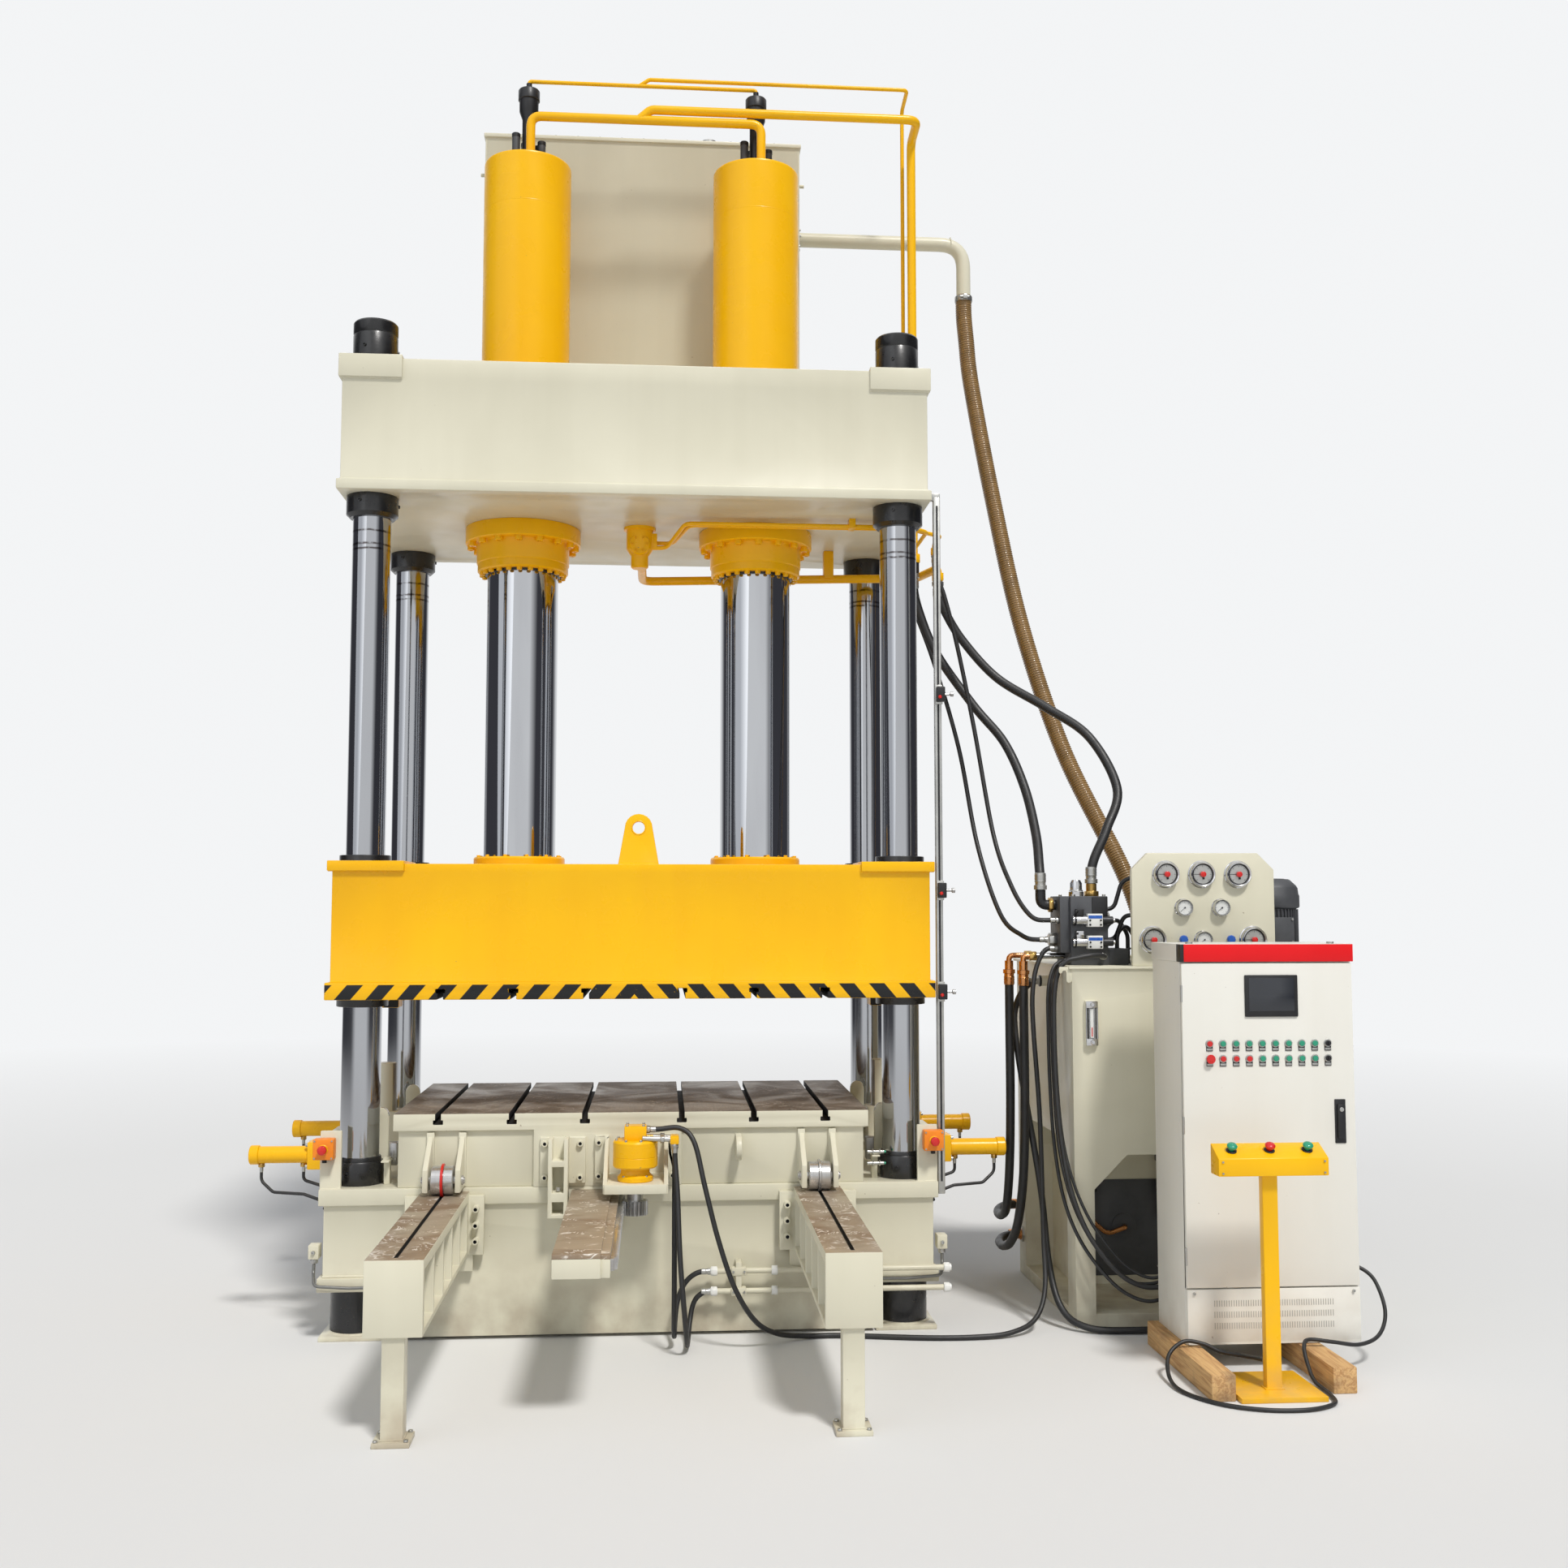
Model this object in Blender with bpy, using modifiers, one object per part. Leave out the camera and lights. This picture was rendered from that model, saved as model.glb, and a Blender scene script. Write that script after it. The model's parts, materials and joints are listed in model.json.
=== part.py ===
"""Four-column hydraulic press with two rams, a rolling bolster, its oil supply and its controls.

Metres, +Z up. The origin is on the floor, centred between the four columns.
The operator stands on the -Y side.
"""

import math

import bmesh
import bpy
from mathutils import Matrix, Vector

# Fits
GAP = 0.0003
SINK = 0.004

# Columns and their nuts
COLUMN_X, COLUMN_Y, COLUMN_D = 1.20, 0.59, 0.17
NUT_R, LOW_NUT_R, BEAM_NUT_R, TOP_NUT_R = 0.105, 0.11, 0.115, 0.10
FOOT_SIDE, FOOT_T = 0.27, 0.02

# Bed
BED_X, BED_Y = 1.34, 0.755
BED_TOP, SHOULDER_H, BED_STEP = 0.645, 0.07, 0.02
BED_FLOOR, CORNER_Z, CORNER_PLATE = 0.015, 0.213, 0.058
CORNER_X, CORNER_IN_Y = 1.06, 0.43
PAD_SIDE = 0.24

# Bolster
BOLSTER_X, BOLSTER_FRONT, BOLSTER_REAR = 1.03, -0.755, 0.44
BOLSTER_TOP, BAND_H, PANEL_STEP = 0.96, 0.072, 0.02
SLOT_FIRST, SLOT_PITCH = 0.21, 0.315
SLOT_NECK, SLOT_HEAD, SLOT_NECK_H, SLOT_HEAD_H = 0.024, 0.042, 0.028, 0.018

# Upper beam
BEAM_X, BEAM_Y, BEAM_LOW, BEAM_HIGH = 1.318, 0.74, 3.70, 4.30
LIP, BEAM_LIP_H = 0.015, 0.045
BEAM_PAD_X, BEAM_PAD_H = 0.28, 0.105

# Slide
SLIDE_X, SLIDE_Y, SLIDE_LOW, SLIDE_HIGH = 1.315, 0.735, 1.449, 2.04
SLIDE_LIP, SLIDE_LIP_H = 0.02, 0.075
SLIDE_PAD_X, SLIDE_PAD_H = 0.33, 0.045
LUG_X, LUG_Y, LUG_TOP, LUG_W, LUG_T = 0.012, -0.62, 2.268, 0.186, 0.05

# Main cylinders and rods
RAM_X, ROD_D, BARREL_WALL, BARREL_TOP = 0.573, 0.345, 0.0425, 5.55
FLANGE_W, FLANGE_H, COLLAR_W, COLLAR_H, GLAND_W, GLAND_H = 0.065, 0.08, 0.01, 0.095, 0.005, 0.045
RING_W, ROD_RING_H, ROD_TOP = 0.046, 0.05, 4.05
BARREL_D = ROD_D + 2 * BARREL_WALL
FLANGE_D, COLLAR_D, GLAND_D = BARREL_D + 2 * FLANGE_W, BARREL_D + 2 * COLLAR_W, BARREL_D + 2 * GLAND_W
ROD_RING_D = ROD_D + 2 * RING_W

# Top tank and its pipes
TANK_X, TANK_FRONT, TANK_REAR, TANK_TOP = 0.82, 0.33, 0.735, 5.89
SUCTION_D, SUCTION_Y, SUCTION_Z, SUCTION_X, SUCTION_LOW = 0.076, 0.50, 5.444, 1.734, 5.16
MAIN_PIPE_D, MAIN_PIPE_Y, MAIN_PIPE_Z, MAIN_PIPE_X = 0.045, -0.11, 5.77, 1.386
PILOT_D, PILOT_Z, PILOT_X, PIPE_FALL_Y = 0.020, 6.005, 1.352, 0.10
PIPE_RISE = 0.055

# Rails in front of the bed
RAIL_X, RAIL_W, RAIL_TOP, RAIL_LOW, RAIL_FRONT = 0.8025, 0.205, 0.632, 0.368, -2.087
RACK_X, RACK_W, RACK_LOW, RACK_FRONT = -0.158, 0.212, 0.545, -2.04
LEG_SIDE, LEG_PLATE = 0.078, 0.13

# Drive
MOTOR_X, MOTOR_Y, MOTOR_D, PINION_R = 0.012, -0.95, 0.188, 0.05
SHELF_LOW, SHELF_HIGH = 0.662, 0.70
ROLLER_R, ROLLER_W, ROLLER_Y = 0.061, 0.095, -0.845

# Side clamps
CLAMP_Y, CLAMP_Z, CLAMP_D, CLAMP_END, CLAMP_ROD_D = 0.42, 0.745, 0.075, 1.70, 0.045
POST_X, POST_Y, POST_TOP, STOP_LOW = 1.22, 0.20, 1.09, 1.36

# Power unit
UNIT_X0, UNIT_X1, UNIT_FRONT, UNIT_REAR, UNIT_TOP = 1.95, 3.10, -0.76, 0.34, 1.585
PANEL_X0, PANEL_X1, PANEL_TOP, PANEL_T = 2.232, 2.893, 2.095, 0.03
PUMP_X, PUMP_Y, PUMP_H = UNIT_X1 - 0.155, UNIT_FRONT + 0.24, 0.395

# Cabinet and pedestal
CAB_X, CAB_W, CAB_FRONT, CAB_DEEP, CAB_LOW, CAB_TOP = 2.585, 0.72, -1.41, 0.35, 0.10, 1.70
DOOR_T, DOOR_LOW, DOOR_HIGH = 0.02, 0.325, 1.622
TIMBER_W, TIMBER_L = 0.095, CAB_X - CAB_W / 2 - 0.042
PED_BASE_W, PED_Y, PED_BOX_W, PED_BOX_LOW = 0.336, -1.725, 0.433, 0.826
PED_X = TIMBER_L + TIMBER_W + 0.009 + PED_BASE_W / 2
TIMBER_R = PED_X + PED_BASE_W / 2 + 0.057
PED_BOX_Y0, PED_BOX_Y1, PED_FACE_H, PED_RISE = PED_Y - 0.065, PED_Y + 0.025, 0.067, 0.047
PED_POST_W, PED_POST_D, PED_BUTTON_PITCH = 0.06, 0.04, PED_BOX_W / 2 - 0.0665

YELLOW = (0.95, 0.58, 0.01, 1.0)
IVORY = (0.75, 0.73, 0.62, 1.0)
BLACK = (0.02, 0.02, 0.02, 1.0)
CHROME = (0.75, 0.76, 0.78, 1.0)
STEEL = (0.40, 0.36, 0.32, 1.0)
RED = (0.70, 0.03, 0.02, 1.0)
GREEN = (0.02, 0.35, 0.22, 1.0)
WOOD = (0.50, 0.33, 0.16, 1.0)
BROWN = (0.16, 0.09, 0.04, 1.0)
GRAPHITE = (0.10, 0.10, 0.11, 1.0)


def group(name, helper=False):
    """A collection of this name, kept out of renders when it holds Boolean operands."""
    found = bpy.data.collections.get(name)
    if found is None:
        found = bpy.data.collections.new(name)
        bpy.context.scene.collection.children.link(found)
        found.hide_render = helper
    return found


def baked(name, build):
    """An object in the staging collection from what build adds to a new bmesh, its faces turned outwards."""
    shape = bmesh.new()
    build(shape)
    bmesh.ops.recalc_face_normals(shape, faces=shape.faces)
    mesh = bpy.data.meshes.new(name)
    shape.to_mesh(mesh)
    shape.free()
    made = bpy.data.objects.new(name, mesh)
    group("staging", True).objects.link(made)
    made.hide_render = True
    made.display_type = "WIRE"
    return made


def block(x0, x1, y0, y1, z0, z1):
    """A box between two corners."""
    size = Matrix.Diagonal((abs(x1 - x0), abs(y1 - y0), abs(z1 - z0), 1.0))
    centre = Matrix.Translation(((x0 + x1) / 2, (y0 + y1) / 2, (z0 + z1) / 2))
    return baked("block", lambda shape: bmesh.ops.create_cube(shape, size=1.0, matrix=centre @ size))


def block_at(x, y, z, wide, deep, high):
    """A box by its centre and its three sides."""
    return block(x - wide / 2, x + wide / 2, y - deep / 2, y + deep / 2, z - high / 2, z + high / 2)


def rod(start, end, diameter, sides=16, end_diameter=None):
    """A cylinder, or a cone, from one point to another."""
    start, end = Vector(start), Vector(end)
    turn = (end - start).to_track_quat("Z", "Y").to_matrix().to_4x4()
    place = Matrix.Translation((start + end) / 2) @ turn

    def build(shape):
        bmesh.ops.create_cone(
            shape,
            cap_ends=True,
            segments=sides,
            radius1=diameter / 2,
            radius2=(end_diameter if end_diameter is not None else diameter) / 2,
            depth=(end - start).length,
            matrix=place,
        )

    return baked("rod", build)


def prism(outline, axis, low, high):
    """An outline drawn out along an axis: x takes (y, z), y takes (x, z) and z takes (x, y)."""
    order = {"x": (2, 0, 1), "y": (0, 2, 1), "z": (0, 1, 2)}[axis]

    def build(shape):
        face = shape.faces.new([shape.verts.new([(u, v, low)[i] for i in order]) for u, v in outline])
        moved = bmesh.ops.extrude_face_region(shape, geom=[face])["geom"]
        way = Vector([(0.0, 0.0, high - low)[i] for i in order])
        bmesh.ops.translate(shape, vec=way, verts=[v for v in moved if isinstance(v, bmesh.types.BMVert)])

    return baked("prism", build)


def turned(profile, centre, steps=24, axis="Z"):
    """A profile of (radius, height) pairs turned upright by a Screw modifier, then laid along an axis."""
    mesh = bpy.data.meshes.new("profile")
    mesh.from_pydata([(r, 0.0, h) for r, h in profile], [(i, i + 1) for i in range(len(profile) - 1)], [])
    maker = bpy.data.objects.new("profile", mesh)
    group("staging", True).objects.link(maker)
    screw = maker.modifiers.new("Turn", "SCREW")
    screw.axis = "Z"
    screw.steps = screw.render_steps = steps
    screw.use_merge_vertices = True
    screw.merge_threshold = 0.00005
    bpy.context.view_layer.update()
    solid = bpy.data.meshes.new_from_object(maker.evaluated_get(bpy.context.evaluated_depsgraph_get()))
    bpy.data.objects.remove(maker)
    lay = {"Z": Matrix(), "X": Matrix.Rotation(math.pi / 2, 4, "Y"),
        "Y": Matrix.Rotation(-math.pi / 2, 4, "X")}[axis]

    def build(shape):
        shape.from_mesh(solid)
        bmesh.ops.remove_doubles(shape, verts=shape.verts, dist=0.00005)
        bmesh.ops.transform(shape, matrix=Matrix.Translation(centre) @ lay, verts=shape.verts)

    return baked("turned", build)


def rounded(points, bend, steps=2):
    """The points of a pipe's centre line with each corner turned into an arc of this radius."""
    points = [Vector(p) for p in points]
    line = [points[0]]
    for before, corner, after in zip(points, points[1:], points[2:]):
        back, on = (before - corner), (after - corner)
        half = back.angle(on) / 2
        reach = min(bend / math.tan(half), 0.48 * back.length, 0.48 * on.length)
        start, end = corner + back.normalized() * reach, corner + on.normalized() * reach
        for i in range(steps + 1):
            t = i / steps
            line.append(start * (1 - t) ** 2 + corner * 2 * t * (1 - t) + end * t**2)
    return line + [points[-1]]


def flowing(places, parts=8):
    """A Catmull-Rom line through all places but the first and last, which only aim its ends."""
    first, *points, last = [Vector(p) for p in places]
    start = points[1] - (points[0] - first).normalized() * 2 * (points[1] - points[0]).length
    end = points[-2] + (last - points[-1]).normalized() * 2 * (points[-1] - points[-2]).length
    ends = [start, *points, end]
    line = []
    for a, b, c, d in zip(ends, ends[1:], ends[2:], ends[3:]):
        for i in range(parts):
            t = i / parts
            line.append(0.5 * (2 * b + (c - a) * t + (2 * a - 5 * b + 4 * c - d) * t**2
                + (3 * b - a - 3 * c + d) * t**3))
    return line + [points[-1]]


def evenly(line, step):
    """Points at about this spacing along a line."""
    lengths = [0.0]
    for a, b in zip(line, line[1:]):
        lengths.append(lengths[-1] + (b - a).length)
    count = max(2, round(lengths[-1] / step))
    points, i = [], 0
    for k in range(count + 1):
        want = lengths[-1] * k / count
        while i < len(line) - 2 and lengths[i + 1] < want:
            i += 1
        points.append(line[i].lerp(line[i + 1], (want - lengths[i]) / (lengths[i + 1] - lengths[i])))
    return points


def hose_curve(name, line, diameter, resolution):
    """A round tube as a curve object along a line."""
    curve = bpy.data.curves.new(name, "CURVE")
    curve.dimensions = "3D"
    curve.bevel_depth = diameter / 2
    curve.bevel_resolution = resolution
    curve.use_fill_caps = True
    spline = curve.splines.new("POLY")
    spline.points.add(len(line) - 1)
    for point, place in zip(spline.points, line):
        point.co = (*place, 1.0)
    return bpy.data.objects.new(name, curve)


def tube(line, diameter, resolution=1):
    """A bevelled curve along a line, turned into a closed mesh."""
    maker = hose_curve("tube", line, diameter, resolution)
    group("staging", True).objects.link(maker)
    bpy.context.view_layer.update()
    solid = bpy.data.meshes.new_from_object(maker.evaluated_get(bpy.context.evaluated_depsgraph_get()))
    bpy.data.objects.remove(maker)

    def build(shape):
        shape.from_mesh(solid)
        bmesh.ops.remove_doubles(shape, verts=shape.verts, dist=0.00005)

    return baked("tube", build)


def pipe(points, diameter, bend=0.06, resolution=1):
    return tube(rounded(points, bend), diameter, resolution)


def coloured(name, colour, roughness=0.4, metallic=0.0):
    made = bpy.data.materials.new(name)
    made.use_nodes = True
    principled = made.node_tree.nodes["Principled BSDF"]
    principled.inputs["Base Color"].default_value = colour
    principled.inputs["Roughness"].default_value = roughness
    principled.inputs["Metallic"].default_value = metallic
    return made


def node(name, colour, solids, cuts=(), recesses=(), bevel=0.0, roughness=0.4, metallic=0.0):
    """One piece of the press: the first solid less its recesses, joined with the rest, less the cuts."""
    base = solids[0]
    base.name = base.data.name = name
    base.hide_render = False
    base.display_type = "TEXTURED"
    group("staging", True).objects.unlink(base)
    group("press").objects.link(base)
    base.data.materials.append(coloured(name, colour, roughness, metallic))
    if bevel:
        edge = base.modifiers.new("Edges", "BEVEL")
        edge.width = bevel
        edge.segments = 1
        edge.limit_method = "ANGLE"
    for stage, operation, operands in (("recesses", "DIFFERENCE", recesses),
            ("joined", "UNION", solids[1:]), ("cuts", "DIFFERENCE", cuts)):
        if not operands:
            continue
        held = group(f"{name}_{stage}", True)
        for operand in operands:
            group("staging", True).objects.unlink(operand)
            held.objects.link(operand)
        boolean = base.modifiers.new(stage.title(), "BOOLEAN")
        boolean.operation = operation
        boolean.solver = "EXACT"
        boolean.operand_type = "COLLECTION"
        boolean.collection = held
        # Held back until the last piece is made, because every update would work them out again
        boolean.show_viewport = boolean.show_render = False
    return base


def slots_x():
    """The places of the T-slots across the press."""
    return [side * (SLOT_FIRST + i * SLOT_PITCH) for side in (-1, 1) for i in range(3)]


def column_places():
    corners = (("fl", -1, -1), ("fr", 1, -1), ("rl", -1, 1), ("rr", 1, 1))
    return [("column_" + name, x * COLUMN_X, y * COLUMN_Y) for name, x, y in corners]


def t_slot(x, y0, y1, face, way):
    """The cutters of one T-slot in a face at this height: it goes down with way -1 and up with way 1."""
    neck_end = face + way * SLOT_NECK_H
    neck = block(x - SLOT_NECK / 2, x + SLOT_NECK / 2, y0, y1, face - way * 0.02, neck_end + way * 0.002)
    head = block(x - SLOT_HEAD / 2, x + SLOT_HEAD / 2, y0 - 0.001, y1 + 0.001, neck_end,
        neck_end + way * SLOT_HEAD_H)
    return [neck, head]


def make_bed():
    lower = BED_TOP - SHOULDER_H
    solids = [
        block(-BED_X, BED_X, -BED_Y, BED_Y, lower, BED_TOP),
        block(-BED_X + BED_STEP, BED_X - BED_STEP, -BED_Y + BED_STEP, BED_Y - BED_STEP, CORNER_Z + SINK,
            lower + SINK),
        block(-CORNER_X, CORNER_X, -BED_Y + BED_STEP, BED_Y - BED_STEP, BED_FLOOR, lower),
        block(-BED_X + BED_STEP, BED_X - BED_STEP, -CORNER_IN_Y, CORNER_IN_Y, BED_FLOOR, lower),
        block(-BED_X, BED_X, -BED_Y, BED_Y, CORNER_Z, CORNER_Z + CORNER_PLATE),
        block_at(0, 0, BED_TOP / 3, PAD_SIDE, PAD_SIDE, 2 * BED_TOP / 3),
    ]
    cuts = [block(-CORNER_X, CORNER_X, y - 0.03, y + 0.03, CORNER_Z - 0.01, CORNER_Z + CORNER_PLATE + 0.01)
        for y in (-BED_Y - 0.01, BED_Y + 0.01)]
    cuts += [rod((x, y, -0.1), (x, y, 1.0), COLUMN_D + 2 * GAP, 20) for _, x, y in column_places()]
    for side in (-1, 1):
        stand_y = -BED_Y + 0.03
        solids.append(block(side * 1.25, side * BED_X, stand_y - 0.01, stand_y + 0.01, lower + 0.02, 0.89))
        solids.append(block_at(side * POST_X, POST_Y, (lower + 0.86) / 2, 0.15, 0.15, 0.86 - lower))
        solids.append(rod((side * POST_X, POST_Y, 0.84), (side * POST_X, POST_Y, POST_TOP), 0.10))
        for way in (-1, 1):
            y = way * CLAMP_Y
            solids.append(block(side * 1.285, side * BED_X, y - 0.07, y + 0.07, lower + 0.02, 0.86))
            cuts.append(rod((side * 1.2, y, CLAMP_Z), (side * 1.5, y, CLAMP_Z), CLAMP_ROD_D + 0.002))
            near, far = sorted((y + way * 0.030, y + way * 0.052))
            solids.append(block(side * 1.095, side * 1.167, near, far, lower + 0.02, 0.92))
            solids.append(rod((side * 1.131, near, 0.92), (side * 1.131, far, 0.92), 0.0719, 16))
    return node("bed", IVORY, solids, cuts)


def make_columns():
    for name, x, y in column_places():
        r = COLUMN_D / 2
        bed_nut, beam_nut = BED_TOP + GAP, BEAM_LOW - GAP
        profile = [
            (0, FOOT_T / 2), (LOW_NUT_R, FOOT_T / 2), (LOW_NUT_R, CORNER_Z - GAP), (r, CORNER_Z - GAP),
            (r, bed_nut), (NUT_R, bed_nut),
            (NUT_R, bed_nut + 0.10), (r + 0.009, bed_nut + 0.105), (r, bed_nut + 0.118),
            (r, beam_nut - 0.10), (BEAM_NUT_R - 0.012, beam_nut - 0.10), (BEAM_NUT_R, beam_nut - 0.088),
            (BEAM_NUT_R, beam_nut), (r, beam_nut), (r, BEAM_HIGH + 0.014 + GAP),
            (TOP_NUT_R, BEAM_HIGH + 0.014 + GAP),
            (TOP_NUT_R, 4.497), (TOP_NUT_R - 0.008, 4.505), (0, 4.505),
        ]
        foot = block_at(x, y, FOOT_T / 2, FOOT_SIDE, FOOT_SIDE, FOOT_T)
        node(name, CHROME, [turned(profile, (x, y, 0), 20), foot], roughness=0.12, metallic=1.0)


def make_beam():
    solids = [
        block(-BEAM_X, BEAM_X, -BEAM_Y, BEAM_Y, BEAM_LOW, BEAM_HIGH),
        block(-BEAM_X - LIP, BEAM_X + LIP, -BEAM_Y - LIP, BEAM_Y + LIP, BEAM_LOW, BEAM_LOW + BEAM_LIP_H),
    ]
    for side in (-1, 1):
        for way in (-1, 1):
            inner, outer = side * (BEAM_X + LIP - BEAM_PAD_X), side * (BEAM_X + LIP)
            y_in, y_out = way * (BEAM_Y + LIP - 0.36), way * (BEAM_Y + LIP)
            solids.append(block(inner, outer, y_in, y_out, BEAM_HIGH + 0.014 - BEAM_PAD_H, BEAM_HIGH + 0.014))
    cuts = [rod((x, y, 3.5), (x, y, 4.5), COLUMN_D + 2 * GAP, 20) for _, x, y in column_places()]
    cuts += [rod((side * RAM_X, 0, 3.5), (side * RAM_X, 0, 4.5), BARREL_D + 2 * GAP, 24) for side in (-1, 1)]
    node("upper_beam", IVORY, solids, cuts)


def make_rams():
    for name, side in (("l", -1), ("r", 1)):
        x = side * RAM_X
        flange_low = BEAM_LOW - GAP - FLANGE_H
        collar_low = flange_low - COLLAR_H
        gland_low = collar_low - GLAND_H
        outside, bore = BARREL_D / 2, ROD_D / 2 + GAP
        profile = [
            (bore, gland_low), (GLAND_D / 2 - 0.01, gland_low), (GLAND_D / 2, gland_low + 0.01),
            (GLAND_D / 2, collar_low),
            (COLLAR_D / 2, collar_low), (COLLAR_D / 2, flange_low), (FLANGE_D / 2, flange_low),
            (FLANGE_D / 2, BEAM_LOW - GAP),
            (outside, BEAM_LOW - GAP), (outside, BARREL_TOP - 0.012), (outside - 0.012, BARREL_TOP),
            (0.03, BARREL_TOP),
            (0.03, BARREL_TOP - 0.07), (bore, BARREL_TOP - 0.07), (bore, gland_low),
        ]
        node(f"cylinder_{name}", YELLOW, [turned(profile, (x, 0, 0))])
        ring_low = SLIDE_HIGH + GAP
        rod_profile = [
            (0, ring_low), (ROD_RING_D / 2, ring_low), (ROD_RING_D / 2, ring_low + ROD_RING_H - 0.006),
            (ROD_RING_D / 2 - 0.006, ring_low + ROD_RING_H), (ROD_D / 2, ring_low + ROD_RING_H),
            (ROD_D / 2, ROD_TOP), (0, ROD_TOP),
        ]
        node(f"rod_{name}", CHROME, [turned(rod_profile, (x, 0, 0))], roughness=0.06, metallic=1.0)


def make_slide():
    solids = [
        block(-SLIDE_X, SLIDE_X, -SLIDE_Y, SLIDE_Y, SLIDE_LOW, SLIDE_HIGH),
        block(-SLIDE_X - SLIDE_LIP, SLIDE_X + SLIDE_LIP, -SLIDE_Y - SLIDE_LIP, SLIDE_Y + SLIDE_LIP,
            SLIDE_LOW, SLIDE_LOW + SLIDE_LIP_H),
    ]
    for side in (-1, 1):
        solids.append(block_at(side * POST_X, POST_Y, (STOP_LOW + SLIDE_LOW + 0.01) / 2, 0.12, 0.12,
            SLIDE_LOW + 0.01 - STOP_LOW))
        for way in (-1, 1):
            inner, outer = side * (SLIDE_X + SLIDE_LIP - SLIDE_PAD_X), side * (SLIDE_X + SLIDE_LIP)
            y_in, y_out = way * (SLIDE_Y + SLIDE_LIP - 0.34), way * (SLIDE_Y + SLIDE_LIP)
            solids.append(block(inner, outer, y_in, y_out, SLIDE_HIGH + 0.013 - SLIDE_PAD_H,
                SLIDE_HIGH + 0.013))
            solids.append(rod((side * COLUMN_X, way * COLUMN_Y, SLIDE_LOW - 0.035),
                (side * COLUMN_X, way * COLUMN_Y, SLIDE_HIGH + 0.04), 0.225, 20))
    # Lifting lug: a tapered plate with a round top and an eye
    half = LUG_W / 2
    neck = 0.062
    eye_z = LUG_TOP - neck
    outline = [(LUG_X - half, SLIDE_HIGH - 0.01), (LUG_X + half, SLIDE_HIGH - 0.01)]
    outline += [(LUG_X + neck * math.cos(a), eye_z + neck * math.sin(a))
        for a in [math.pi * i / 10 for i in range(11)]]
    solids.append(prism(outline, "y", LUG_Y - LUG_T / 2, LUG_Y + LUG_T / 2))
    cuts = [rod((LUG_X, LUG_Y - 0.1, eye_z), (LUG_X, LUG_Y + 0.1, eye_z), 0.055, 20)]
    cuts += [rod((x, y, 1.0), (x, y, 2.5), COLUMN_D + 4 * GAP, 20) for _, x, y in column_places()]
    for x in slots_x():
        cuts += t_slot(x, -1.0, 1.0, SLIDE_LOW, 1)
    node("slide", YELLOW, solids, cuts)


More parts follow.
